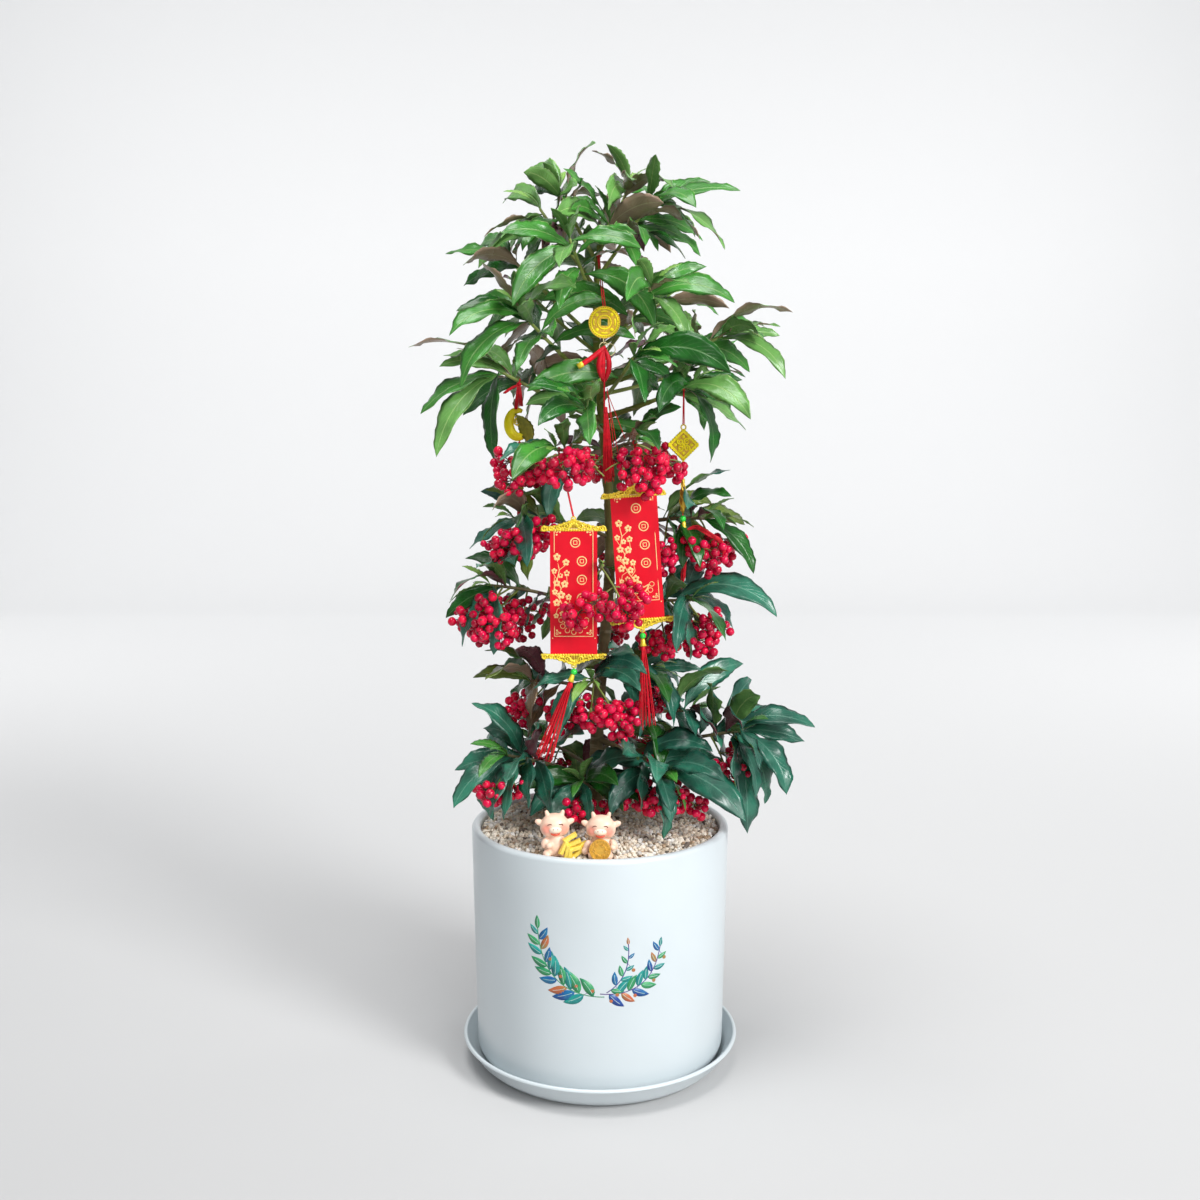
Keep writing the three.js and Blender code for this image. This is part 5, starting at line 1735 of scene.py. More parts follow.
class ARDISIA_OT_gravel(bpy.types.Operator):
    """Turn the gravel bed and scatter crushed pebbles over its top"""

    bl_idname = "ardisia.gravel"
    bl_label = "Gravel"

    def execute(self, context):
        pot = pot_settings()
        inner = pot.rim_radius - pot.wall - 0.0003
        low = pot.foot_height + 0.0103
        rings = [(0.02, low), (pot.low_radius - pot.wall - 0.0007, low + 0.0003),
                 *[(radius, gravel_height(radius / MM) * MM - 0.0012)
                   for radius in (inner, inner - 0.02, inner - 0.06, 0.024)]]
        rings.append((0.012, rings[-1][1]))
        bed = turned_piece(rings, 96)
        grit = mottled_material("gravel_grit", (0.62, 0.53, 0.41), (0.34, 0.28, 0.21), 260.0,
                                0.85, 1100.0, 0.9, bump=0.8, depth=0.0012)
        mounted(coat(smooth(bed, 50), grit), "gravel_bed", "gravel", "soil")
        draw = seeded(SEEDS["pebbles"])
        centres, sizes, turns, slots = [], [], [], []
        reach = inner / MM - 2.6
        foot = trunk_axis(TRUNK_FOOT)
        for i in range(pot.pebbles):
            radius = reach * math.sqrt((i + 0.5) / pot.pebbles)
            around = math.radians(GOLDEN * i)
            x = radius * math.cos(around) + 1.6 * (draw() - 0.5)
            y = radius * math.sin(around) + 1.6 * (draw() - 0.5)
            size = 1.9 + 1.7 * draw() ** 1.5
            values = [draw() for _ in range(8)]
            if math.hypot(x - foot[0], y - foot[1]) < TRUNK_SPACE + size:
                continue
            if any(math.hypot(x - cx, y - cy) < CALF_SPACE for cx, cy, _ in CALF_FEET):
                continue
            z = gravel_height(math.hypot(x, y)) - 1.0 + 1.9 * values[0]
            centres.append((x, y, z))
            sizes.append((size * (0.8 + 0.5 * values[1]), size * (0.75 + 0.4 * values[2]),
                          size * (0.55 + 0.4 * values[3])))
            slots.append(dealt(PEBBLE_DEAL, values[7]))
            turns.append(turned_axes(values[4:7]))
        heap = Heap()
        heap.add_copies(pebble_shape(), np.array(turns), np.array(centres), np.array(sizes),
                        np.array(slots)[:, None])
        finishes = [mottled_material(name, tone, darker(tone, 0.6), 380.0, 0.75, 1700.0, bump=0.5,
                                     depth=0.0004) for name, tone in PEBBLE_TONES]
        mounted(smooth(heap.piece(finishes), 24), "pebbles", "gravel")
        return {"FINISHED"}


def turned_axes(values):
    """Three axes turned freely by three values from 0 to 1."""
    a, b, c = (2 * math.pi * value for value in values)
    ahead = np.array((math.cos(a) * math.cos(b), math.sin(a) * math.cos(b), math.sin(b)))
    rows = axes_along(ahead)[0]
    first = math.cos(c) * rows[0] + math.sin(c) * rows[1]
    return np.array((first, np.cross(ahead, first), ahead))


# Where the calf figures stand: x, y and turn in degrees
CALF_FEET = ((-42, -97, 6), (1, -103, -4))


# The pot's painted sprigs: places are (round the pot, up from the middle) in millimetres

SPRIG_MIDDLE = 146.0
# Sprigs: start, bend and end of the stem, number of leaf pairs and length of the largest leaf
SPRIGS = (
    ((4, -34), (-58, -34), (-60, 32), 9, 26),
    ((0, -31), (52, -36), (58, 14), 7, 20),
    ((6, -30), (30, -16), (26, 18), 4, 14),
)
PRINT_TONES = (
    ("print_green", (0.012, 0.21, 0.09), (0.05, 0.34, 0.12)),
    ("print_teal", (0.006, 0.17, 0.19), (0.015, 0.33, 0.27)),
    ("print_blue", (0.012, 0.05, 0.26), (0.008, 0.17, 0.34)),
    ("print_rust", (0.50, 0.11, 0.045), (0.32, 0.20, 0.06)),
    ("print_violet", (0.10, 0.03, 0.20), (0.05, 0.06, 0.26)),
    ("print_vein", (0.55, 0.70, 0.62), (0.35, 0.55, 0.5)),
)
PRINT_RUST, PRINT_VIOLET, PRINT_VEIN = 3, 4, 5
# Tones of the leaves in turn
LEAF_TURNS = (0, 1, 0, 2, 1, 3, 0, 2, 1)


class ARDISIA_OT_print(bpy.types.Operator):
    """Paint a half wreath of leafy sprigs with berry dots on the front of the pot"""

    bl_idname = "ardisia.print"
    bl_label = "Painted sprigs"

    def execute(self, context):
        pot = pot_settings()
        draw = seeded(SEEDS["print"])
        heap = Heap()
        along = np.linspace(0, 1, 9)
        for number, (start, bend, end, pairs, largest) in enumerate(SPRIGS):
            share = np.linspace(0, 1, 25)[:, None]
            path = ((1 - share) ** 2 * start + 2 * (1 - share) * share * np.array(bend)
                    + share ** 2 * end)
            add_flat(heap, path, 1.0, PRINT_VIOLET if number else 0, 0.05)
            for i in range(2 * pairs + 1):
                place = min(0.98, 0.12 + 0.88 * i / (2 * pairs))
                k = min(23, int(place * 24))
                ahead = unit(path[k + 1] - path[k])
                side = 0 if i == 2 * pairs else (1 if i % 2 else -1)
                size = largest * (1.0 - 0.5 * place) * (0.88 + 0.24 * draw())
                turn = math.atan2(ahead[1], ahead[0]) + side * math.radians(48 + 12 * draw())
                angles = turn - side * math.radians(24) * along
                steps = np.stack([np.cos(angles), np.sin(angles)], 1) * size / 8
                blade = path[k] + np.concatenate([[(0, 0)], np.cumsum(steps[:-1], axis=0)])
                width = 0.46 * size * np.sin(math.pi * along ** 0.8) ** 0.9 + 0.2
                add_flat(heap, blade, width, LEAF_TURNS[(i + 3 * number) % 9], 0.08)
                add_flat(heap, blade[1:7], 0.5, PRINT_VEIN, 0.14)
                if i % 4 == 1:
                    dot = path[k] + 9.0 * np.array((math.cos(turn + 3.0), math.sin(turn + 3.0)))
                    add_flat(heap, (path[k], dot), 0.45, PRINT_VIOLET, 0.05)
                    add_ball(heap, (dot[0], 0.0, dot[1]), (1.8, 0.12, 1.8), PRINT_RUST, ROUND_BEAD)
        low = pot.foot_height + pot.low_radius - pot.foot_radius
        for points in heap.points:
            height = SPRIG_MIDDLE + points[:, 2]
            share = (height * MM - low) / (pot.top - pot.wall / 2 - low)
            wall = (pot.low_radius + (pot.rim_radius - pot.low_radius) * share) / MM
            angle = points[:, 0] / wall
            reach = wall - points[:, 1] + 0.03
            points[:] = np.stack([reach * np.sin(angle), -reach * np.cos(angle), height], 1)
        finishes = [mottled_material(name, first, second, 85.0, 0.32, amount=1.0, spread=0.08,
                                     bump=0.02, depth=0.0001)
                    for name, first, second in PRINT_TONES]
        mounted(heap.piece(finishes), "pot_sprigs", "glaze")
        return {"FINISHED"}


# Finishes of the ornaments

def gilt_material(name="gilt_foil", shade=None):
    """Warm gilding with small dents."""
    gold = shade or tuple(ornament_settings().gilt)
    return mottled_material(name, gold, darker(gold, 0.72), 300.0, 0.26, 1300.0, spread=0.14,
                            bump=0.35, depth=0.0004, metallic=0.22, coat=0.25)


def charm_material(name, light, dark, metallic, amount=0.7, specular=0.5):
    """A charm's metal, more or less bright."""
    return mottled_material(name, light, dark, 300.0, 0.3, 1200.0, amount, depth=0.0003,
                            metallic=metallic, specular=specular)


def ornament_finishes():
    """Materials of a hanging ornament, in the order that the ornaments' slots use."""
    ornament = ornament_settings()
    cloth, thread = tuple(ornament.cloth), tuple(ornament.thread)
    return [
        mottled_material("cloth_red", cloth, darker(cloth, 0.8), 90.0, 0.42, 2200.0, 0.5,
                         bump=0.25, specular=0.2),
        mottled_material("print_gold", (0.93, 0.66, 0.30), (0.85, 0.50, 0.16), 400.0, 0.40,
                         1500.0, 0.5, bump=0.1, depth=0.0001, metallic=0.15),
        gilt_material(),
        mottled_material("thread_red", thread, darker(thread, 0.55), 260.0, 0.38, 1600.0,
                         specular=0.3),
        mottled_material("bead_green", (0.02, 0.72, 0.06), (0.01, 0.5, 0.04), 200.0, 0.16,
                         amount=0.4, spread=0.06, bump=0.02, depth=0.0001, coat=0.6),
        mottled_material("wire_pale", (0.75, 0.66, 0.36), (0.5, 0.42, 0.2), 200.0, 0.3,
                         amount=0.5, bump=0.05, depth=0.0001, metallic=0.6),
        # The dark gilt below is the gilt darkened as painted shade in the recesses of the finials
        # and the plaque; it also colours the plaque's spindle.
        charm_material("charm_dark_gilt", (0.62, 0.38, 0.04), (0.32, 0.19, 0.02), 0.6),
        # The bright gilt below is the gilt lightened as painted light: on the raised relief of the
        # coin and the plaque, and on the crescent and the plaque, which hang in the crown's shade.
        charm_material("charm_lit_gilt", (1.0, 0.89, 0.02), (0.94, 0.72, 0.02), 0.05, 0.5,
                       0.25),
        charm_material("charm_olive", (0.34, 0.31, 0.03), (0.17, 0.19, 0.02), 0.25),
    ]


# The bright gilt paints light on raised relief and on charms in the crown's shade; the dark gilt
# paints shade in recesses.
CLOTH, PRINT, GILT, THREAD, GREEN, WIRE, DARK_GILT, LIT_GILT, OLIVE = range(9)


# Shapes of the ornaments, in millimetres

def stem_of(name):
    """The stem of a lateral, given by its name."""
    return Stem(next(one for one in LATERALS if one.name == name))


def hang_point(name, share):
    """The point just below a stem from which a string hangs."""
    stem = stem_of(name)
    return stem.point(share) - UP * (stem.radius(share) + 0.5)


def loop_round(name, share, steps=12):
    """A loop of string round the stem that carries an ornament."""
    stem = stem_of(name)
    rows = axes_along(stem.ahead(share))[0]
    reach = stem.radius(share) + 0.45
    angles = np.linspace(0, 2 * math.pi, steps + 1)
    return stem.point(share) + reach * (np.outer(np.cos(angles), rows[0])
                                        + np.outer(np.sin(angles), rows[1]))


def bowed(start, end, sag, steps=8):
    """A string's path between two points that sags by a little."""
    share = np.linspace(0, 1, steps)[:, None]
    start, end = np.asarray(start, float), np.asarray(end, float)
    return start + (end - start) * share - UP * sag * 4 * share * (1 - share)


def ring_path(centre, radius, tilt=0.0, steps=14):
    """A closed round path that faces the front, turned about the upright axis by tilt."""
    angles = np.linspace(0, 2 * math.pi, steps + 1)
    turn = math.radians(tilt)
    out = radius * np.cos(angles)
    return np.asarray(centre) + np.stack([out * math.cos(turn), out * math.sin(turn),
                                          radius * np.sin(angles)], 1)


def spiral_path(centre, radius, start, turns, y=0.0, steps=16):
    """A flat curl that winds in from a radius to its middle, with its start in degrees."""
    share = np.linspace(0, 1, steps)
    angle = math.radians(start) + 2 * math.pi * turns * share
    reach = radius * (1 - 0.82 * share)
    return np.stack([centre[0] + reach * np.cos(angle), np.full(steps, y),
                     centre[1] + reach * np.sin(angle)], 1)


def add_string(heap, start, end, radius, sag=0.0, sides=6):
    """A thread between two points."""
    add_rod(heap, bowed(start, end, sag), radius, sides, THREAD)


def add_cone(heap, centre, heights, radii, slot):
    """A turned bead or cap: radii at heights along the upright axis through a centre."""
    path = [np.asarray(centre, float) + UP * height for height in heights]
    add_rod(heap, path, radii, 14, slot)


def add_ball_ring(heap, centre, radius, number, size, slot, start=0.0):
    """Balls at equal steps round a centre in the plane of the front, from an angle in degrees."""
    for step in range(number):
        angle = math.radians(start + 360 * step / number)
        place = np.add(centre, (radius * math.cos(angle), 0, radius * math.sin(angle)))
        add_ball(heap, place, size, slot)


# Radius of a tassel where its threads part
TASSEL_NECK = 1.3


def add_tassel(heap, top, end, spread, draw, strands=None, wire=0.42):
    """Threads that hang from a bound head and part towards their ends."""
    number = strands or ornament_settings().strands
    top, end = np.asarray(top, float), np.asarray(end, float)
    drop = np.linalg.norm(end - top)
    rows = axes_along(end - top)[0]
    share = np.linspace(0, 1, 9)[:, None]
    open_out = TASSEL_NECK + (spread - TASSEL_NECK) * share ** 0.8
    for i in range(number):
        around = math.radians(GOLDEN * i)
        reach = math.sqrt((i + 0.5) / number)
        across = math.cos(around) * rows[0] + math.sin(around) * rows[1]
        size = 1 + 0.09 * (draw() - 0.5)
        waver = 4.5 * (draw() - 0.5)
        path = (top + (end - top) * share * size + across * open_out * reach
                + rows[0] * waver * np.sin(5 * share + i) * share)
        add_rod(heap, path, wire, 4, THREAD)
    add_cone(heap, top, (0.8, 0.2, -0.06 * drop, -0.09 * drop), (0.9, 1.9, 2.1, 1.6), THREAD)


def moved(heap, place, lean=0.0):
    """Leans a heap's points in the plane of the front and moves them to a place."""
    angle = math.radians(lean)
    turn = np.array(((math.cos(angle), 0, -math.sin(angle)), (0, 1, 0),
                     (math.sin(angle), 0, math.cos(angle))))
    heap.points = [points @ turn.T + np.asarray(place) for points in heap.points]
    return heap


def add_flat(heap, path, width, slot=PRINT, lift=0.16):
    """A printed line: a flattened rod along a path, of which only x and z count."""
    path = np.insert(np.asarray(path, float)[:, (0, -1)], 1, 0.0, axis=1)
    points, faces, marks = rod(path, np.asarray(width) / 2, 6)
    points[:, 1] *= lift / (np.max(width) / 2)
    heap.add(points, faces, slot, marks)


def add_rectangle(heap, first, last, width):
    """A printed frame between two opposite corners."""
    corners = (first, (last[0], first[1]), last, (first[0], last[1]), first)
    for ends in zip(corners[:-1], corners[1:]):
        add_flat(heap, ends, width)


def add_flower(heap, x, z, size):
    """A five-petalled plum blossom."""
    add_ball_ring(heap, (x, 0, z), size, 5, (0.66 * size, 0.2, 0.66 * size), PRINT, 90)
    add_ball(heap, (x, 0, z), (0.34 * size, 0.34, 0.34 * size), CLOTH)


BRANCH = ((-15, -36), (-13, -46), (-15, -55), (-11.5, -63), (-13.5, -71), (-10, -79), (-4, -88))
SIDE_SHOOTS = (((-13, -46), (-8, -42), (-7, -37)), ((-15, -55), (-18, -50), (-18.2, -46)),
               ((-11.5, -63), (-6, -58), (-6.4, -50)), ((-13.5, -71), (-17.5, -68), (-18, -63)),
               ((-10, -79), (-15, -82), (-16.5, -88)), ((-7, -84), (-3, -79), (-4, -73)))
BLOSSOMS = ((-15.2, -34, 2.1), (-7, -39, 2.0), (-17.6, -47, 1.7), (-12, -51, 1.6),
            (-6.3, -49, 1.8), (-15.5, -58, 2.0), (-8.2, -59, 2.1), (-17.2, -66, 1.7),
            (-11.5, -69, 2.3), (-4.6, -71, 1.8), (-15.5, -76, 2.1), (-7.4, -78, 2.0),
            (-3.0, -86, 2.2), (-16, -88, 1.5), (-10.5, -86, 1.6))


def add_scroll_print(heap, y, mirror):
    """The gilt print of one face: border, corner curls, blossom branch, coins and a bowl."""
    half, top, low = 17.6, -8.5, -107.0
    sign = -1 if mirror else 1
    part = Heap()
    add_rectangle(part, (-half, top), (half, low), 0.75)
    for side in (-1, 1):
        for height, up in ((top, -1), (low, 1)):
            x = side * (half - 2.6)
            z = height + up * 2.6
            add_flat(part, spiral_path((x, z), 1.9, 0, 1.2, steps=10), 0.7)
            for dx, dz in ((-2.6 * side, 0.4 * up), (0.4 * side, 2.8 * up)):
                add_ball(part, (x + dx, 0, z + dz), (0.9, 0.2, 0.9), PRINT)
            add_ball(part, (side * (half + 1.8), 0, height - up * 1.8), (0.6, 0.3, 0.6), PRINT)
    add_flat(part, BRANCH, 0.9)
    for shoot in SIDE_SHOOTS:
        add_flat(part, shoot, 0.6)
    for blossom in BLOSSOMS:
        add_flower(part, *blossom)
    for x, z in ((1.5, -21), (7.5, -38), (7.5, -55), (7.5, -72)):
        add_flat(part, ring_path((x, 0, z), 4.2, 0, 18), 1.1)
        add_rectangle(part, (x - 1.6, z - 1.6), (x + 1.6, z + 1.6), 0.7)
    bowl = [(8.5 * math.cos(a), -92 + 8.0 * math.sin(a))
            for a in np.linspace(math.pi, 2 * math.pi, 13)]
    add_flat(part, bowl, 1.6)
    add_flat(part, ((-9.5, -92), (-4, -94.5), (0, -91), (4, -94.5), (9.5, -92)), 1.3)
    add_ball(part, (0, 0, -90.5), (2.6, 0.2, 2.2), PRINT)
    for k in range(7):
        angle = math.radians(180 + 30 * k)
        middle = (11.6 * math.cos(angle), 0, -92 + 11.2 * math.sin(angle))
        add_flat(part, ring_path(middle, 2.2, 0, 10), 0.65)
    heap.add(np.concatenate(part.points) * (sign, sign, 1) + (0, y, 0),
             np.concatenate(part.faces), np.concatenate(part.slots))


def add_finial(heap, base, sign):
    """A gilt bar at a height: beaded rail, curls, a fan of petals in the middle and a ring."""
    half = ornament_settings().finial_width / MM / 2
    for share in np.linspace(-1, 1, 25):
        add_ball(heap, (share * (half - 1.6), 0, base + sign * 1.3), (1.5, 1.9, 1.3), GILT)
    add_rod(heap, ((-half + 1, 0, base + sign * 1.4), (half - 1, 0, base + sign * 1.4)), 1.1, 8,
            GILT)
    crest = []
    for share in np.linspace(-1, 1, 27):
        reach = abs(share)
        height = 2.2 + 8.0 * (1 - reach) ** 1.5 + 1.9 * math.exp(-((reach - 0.9) / 0.09) ** 2)
        crest.append((share * (half - 1.5), 0, base + sign * height))
    add_rod(heap, crest, 1.15, 7, GILT)
    # Dark gilt balls fill the space between the rail and the crest: painted shade in the recess
    # behind the crest's openwork.
    for x, _, z in crest:
        add_ball(heap, (x, 0, (base + z) / 2), (1.5, 0.9, abs(z - base) / 2), DARK_GILT)
    for x, _, z in crest[1::2]:
        add_ball(heap, (x, 0, z + sign * 0.5), (1.4, 1.6, 1.2), GILT)
    for side in (-1, 1):
        for reach, size in ((half - 3.5, 2.9), (half - 10, 2.5), (half - 16.5, 2.4), (6.5, 2.8)):
            height = np.interp(reach, (0, 8, 16, half), (6.5, 4.6, 3.4, 3.0))
            path = spiral_path((side * reach, base + sign * height), size, 90 + 90 * side,
                               side * sign * 1.25)
            for y in (-1.2, 1.2):
                add_rod(heap, path + (0, y, 0), np.linspace(0.95, 0.55, len(path)), 6, GILT)
        for reach in (3.2, 10, 13.5, 20):
            height = np.interp(reach, (0, 8, 16, half), (7.4, 3.4, 2.6, 2.6))
            add_ball(heap, (side * reach, 0, base + sign * height), (1.5, 1.7, 1.5), GILT)
    for k in range(5):
        angle = math.radians(90 + 34 * (k - 2))
        centre = (3.6 * math.cos(angle), 0, base + sign * (3.4 + 4.0 * math.sin(angle)))
        add_ball(heap, centre, (1.7, 1.5, 1.9), GILT)
    add_rod(heap, ring_path((0, 0, base + sign * 11.4), 2.0), 0.65, 7, GILT)


# Scrolls: name, carrying lateral and share of its stem, top, lean and end of the tassel
SCROLLS = (
    ("scroll_left", "tier1_left", 0.95, (-24, -90, 549), 0, (-52, -97, 331)),
    ("scroll_right", "tier1_right", 0.97, (30, -70, 579), 4, (44, -75, 356)),
)
FINIAL_HEIGHT = 11.0


def scroll_panel(top, lean):
    """The red panel, folded over the bars at both ends."""
    ornament = ornament_settings()
    height = ornament.scroll_height
    piece = box_piece(ornament.scroll_width, 0.0013, height + 0.002)
    bpy.ops.mesh.subdivide(number_cuts=15)
    bpy.ops.object.mode_set(mode="OBJECT")
    angle = math.radians(lean)
    for point in piece.data.vertices:
        x, y, z = point.co
        ends = max(0.0, abs(z) - height / 2 + 0.006) / 0.007
        y *= 1 + 0.9 * math.sin(min(1.0, ends) * math.pi) ** 0.5 if ends else 1
        z -= FINIAL_HEIGHT * MM + height / 2
        point.co = (x * math.cos(angle) - z * math.sin(angle) + top[0] * MM, y + top[1] * MM,
                    x * math.sin(angle) + z * math.cos(angle) + top[2] * MM)
    return piece


class ARDISIA_OT_scrolls(bpy.types.Operator):
    """Make the two red scrolls with gilt bars, blossom print, beads and tassels"""

    bl_idname = "ardisia.scrolls"
    bl_label = "Scrolls"

    def execute(self, context):
        finishes = ornament_finishes()
        draw = seeded(SEEDS["scrolls"])
        drop = ornament_settings().scroll_height / MM
        for name, carrier, share, top, lean, tassel_end in SCROLLS:
            printed = Heap()
            for y, mirror in ((-0.66, False), (0.66, True)):
                add_scroll_print(printed, y, mirror)
            face = moved(printed, top, lean).piece(finishes)
            panel = scroll_panel(top, lean)
            for finish in finishes:
                panel.data.materials.append(finish)
            cloth = joined([face, panel])
            displace(cloth, "cloth_wave", 0.035, 0.0026, direction="Y")
            mounted(smooth(cloth, 55), name + "_cloth", "scroll_cloth", name)
            gilt = Heap()
            add_finial(gilt, -FINIAL_HEIGHT, 1)
            add_finial(gilt, -FINIAL_HEIGHT - drop, -1)
            foot = -2 * FINIAL_HEIGHT - drop
            add_rod(gilt, ring_path((0, 0, foot - 1.6), 1.6, 80), 0.4, 6, WIRE)
            moved(gilt, top, lean)
            angle = math.radians(lean)
            base = np.array((top[0] - (foot - 6) * math.sin(angle), top[1],
                             top[2] + (foot - 6) * math.cos(angle)))
            add_ball(gilt, base, (3.1, 3.1, 2.9), GREEN, ROUND_BEAD)
            end = np.asarray(tassel_end, float)
            ahead = unit(end - base)
            cap = [base + ahead * along for along in (2.4, 3.6, 6.5, 9.5)]
            add_rod(gilt, cap, (1.2, 2.0, 2.3, 3.3), 12, GILT)
            add_tassel(gilt, base + ahead * 9, end, 9.5, draw, strands=15, wire=0.48)
            hook = hang_point(carrier, share)
            for x in (-0.45, 0.45):
                add_string(gilt, hook + (x, 0, 0), (top[0] + x, top[1], top[2] + 2.0), 0.5)
            add_rod(gilt, loop_round(carrier, share), 0.5, 6, THREAD)
            mounted(gilt.piece(finishes), name + "_trim", "gilt")
        return {"FINISHED"}


COIN_CENTRE = np.array((4.0, -60.0, 727.0))
# Height on the trunk at which the coin's cord is tied
COIN_HOOK = 795.0


def coin_piece(centre, radius, thickness, hole, material):
    """A coin with a raised rim, a raised ring and, where it has one, a square hole."""
    clear_selection()
    bpy.ops.mesh.primitive_cylinder_add(vertices=56, radius=radius, depth=thickness,
                                        end_fill_type="NGON", location=(0, 0, 0))
    piece = bpy.context.active_object
    for sign in (1, -1):
        for inset, depth in ((0.08, 0.0), (0.03, -0.22), (0.28, 0.0), (0.02, 0.12),
                             (0.06, 0.0), (0.02, -0.12)):
            bpy.ops.object.mode_set(mode="OBJECT")
            caps = [face for face in piece.data.polygons
                    if face.normal.z * sign > 0.9 and len(face.vertices) > 8]
            inner = min(caps, key=lambda face: face.area).index
            pick(piece, "FACE", lambda face, inner=inner: face.index == inner)
            bpy.ops.mesh.inset(thickness=inset * radius, depth=depth * thickness)
    bpy.ops.object.mode_set(mode="OBJECT")
    if hole:
        bpy.ops.object.select_all(action="DESELECT")
        bpy.ops.mesh.primitive_cube_add(size=hole, location=(0, 0, 0))
        cutter = bpy.context.active_object
        apply_modifier(piece, "BOOLEAN", object=cutter, operation="DIFFERENCE", solver="EXACT")
        bpy.data.objects.remove(cutter, do_unlink=True)
    piece.rotation_euler = (math.pi / 2, 0, 0)
    piece.location = centre
    return coat(smooth(settle(piece), 35), material)


class ARDISIA_OT_coin(bpy.types.Operator):
    """Make the coin on its red cord with the knot, the capped tube and the tassel"""

    bl_idname = "ardisia.coin"
    bl_label = "Coin charm"

    def execute(self, context):
        finishes = ornament_finishes()
        draw = seeded(SEEDS["coin"])
        x, y, z = COIN_CENTRE
        radius = ornament_settings().coin_radius
        # The coin's body is a darker gilt: painted shade in its recessed field, against the bright
        # gilt of its relief.
        coin = coin_piece(tuple(COIN_CENTRE * MM), radius, 0.0024, 0.0062,
                          gilt_material("coin_gilt", (0.80, 0.50, 0.04)))
        heap = Heap()
        reach = radius / MM
        # Beads, curls and rings in the bright gilt: painted light on the coin's raised relief.
        for face in (y - 1.0, y + 1.0):
            add_ball_ring(heap, (x, face, z), 0.66 * reach, 4, (1.7, 0.9, 1.7), LIT_GILT, 45)
            for turn in np.radians((90, 180, 270, 360)):
                path = [(x + 0.68 * reach * math.cos(a), face, z + 0.68 * reach * math.sin(a))
                        for a in np.linspace(turn - 0.3, turn + 0.3, 6)]
                add_rod(heap, path, 0.75, 5, LIT_GILT)
            add_rod(heap, ring_path((x, face, z), 0.42 * reach, 0, 24), 0.55, 5, LIT_GILT)
            add_rod(heap, ring_path((x, face, z), 0.85 * reach, 0, 36), 0.6, 5, LIT_GILT)
        add_ball_ring(heap, (x, y, z), 0.93 * reach, 40, (0.75, 1.8, 0.75), LIT_GILT)
        hook, thick = trunk_axis(COIN_HOOK), trunk_radius(COIN_HOOK)
        for offset in (-1.0, 1.0):
            add_string(heap, hook + (0.6 * offset, -thick - 0.6, 0),
                       (x + offset, y, z + reach - 1.5), 0.55)
        angles = np.linspace(0, 2 * math.pi, 15)
        loop = np.stack([np.cos(angles), np.sin(angles), 0 * angles], 1)
        add_rod(heap, hook + (thick + 0.5) * loop, 0.55, 6, THREAD)
        low = z - reach
        for dx, drop, size, tilt, wire in ((0, 2.2, 2.6, 70, 0.4), (-0.5, 7.5, 4.2, 20, 0.45),
                                           (4.5, 10, 5.6, 10, 0.4)):
            add_rod(heap, ring_path((x + dx, y, low - drop), size, tilt), wire, 6, WIRE)
        tube = bowed((x + 1, y - 1.5, low - 7.5), (x - 23, y - 4, low - 25), 0.8)
        add_rod(heap, tube, (1.7, 2.3, 2.4, 2.4, 2.4, 2.4, 2.4, 2.3), 10, THREAD)
        ahead = unit(tube[-1] - tube[-2])
        add_rod(heap, (tube[-1] - ahead * 4, tube[-1] - ahead * 3.6, tube[-1] + ahead * 1.5),
                (2.4, 2.75, 2.7), 10, GILT)
        for side, width in ((-1, 3.1), (1, 2.6), (-0.25, 2.3)):
            path = [(x + side * 4.4 * math.sin(math.pi * s) ** 0.8, y - 1.4 * math.cos(3 * s),
                     low - 9 - 30 * s) for s in np.linspace(0, 1, 10)]
            add_rod(heap, path, width * np.sin(np.linspace(0.45, math.pi - 0.45, 10)), 9, THREAD)
        add_string(heap, (x, y, low - 36), (x, y, 648), 0.9)
        add_tassel(heap, (x + 1.0, y, 650), (x + 4, y, 584), 5.6, draw)
        for k, (dx, end) in enumerate(((9, 613), (13.5, 604), (19, 622))):
            add_string(heap, (x + 2.5, y - 0.5, 668 - 2 * k), (x + dx, y - 1, end), 0.38, 1.5 - k,
                       4)
        mounted(joined([heap.piece(finishes), coin]), "coin_hanging", "gilt", "coin_charm")
        return {"FINISHED"}


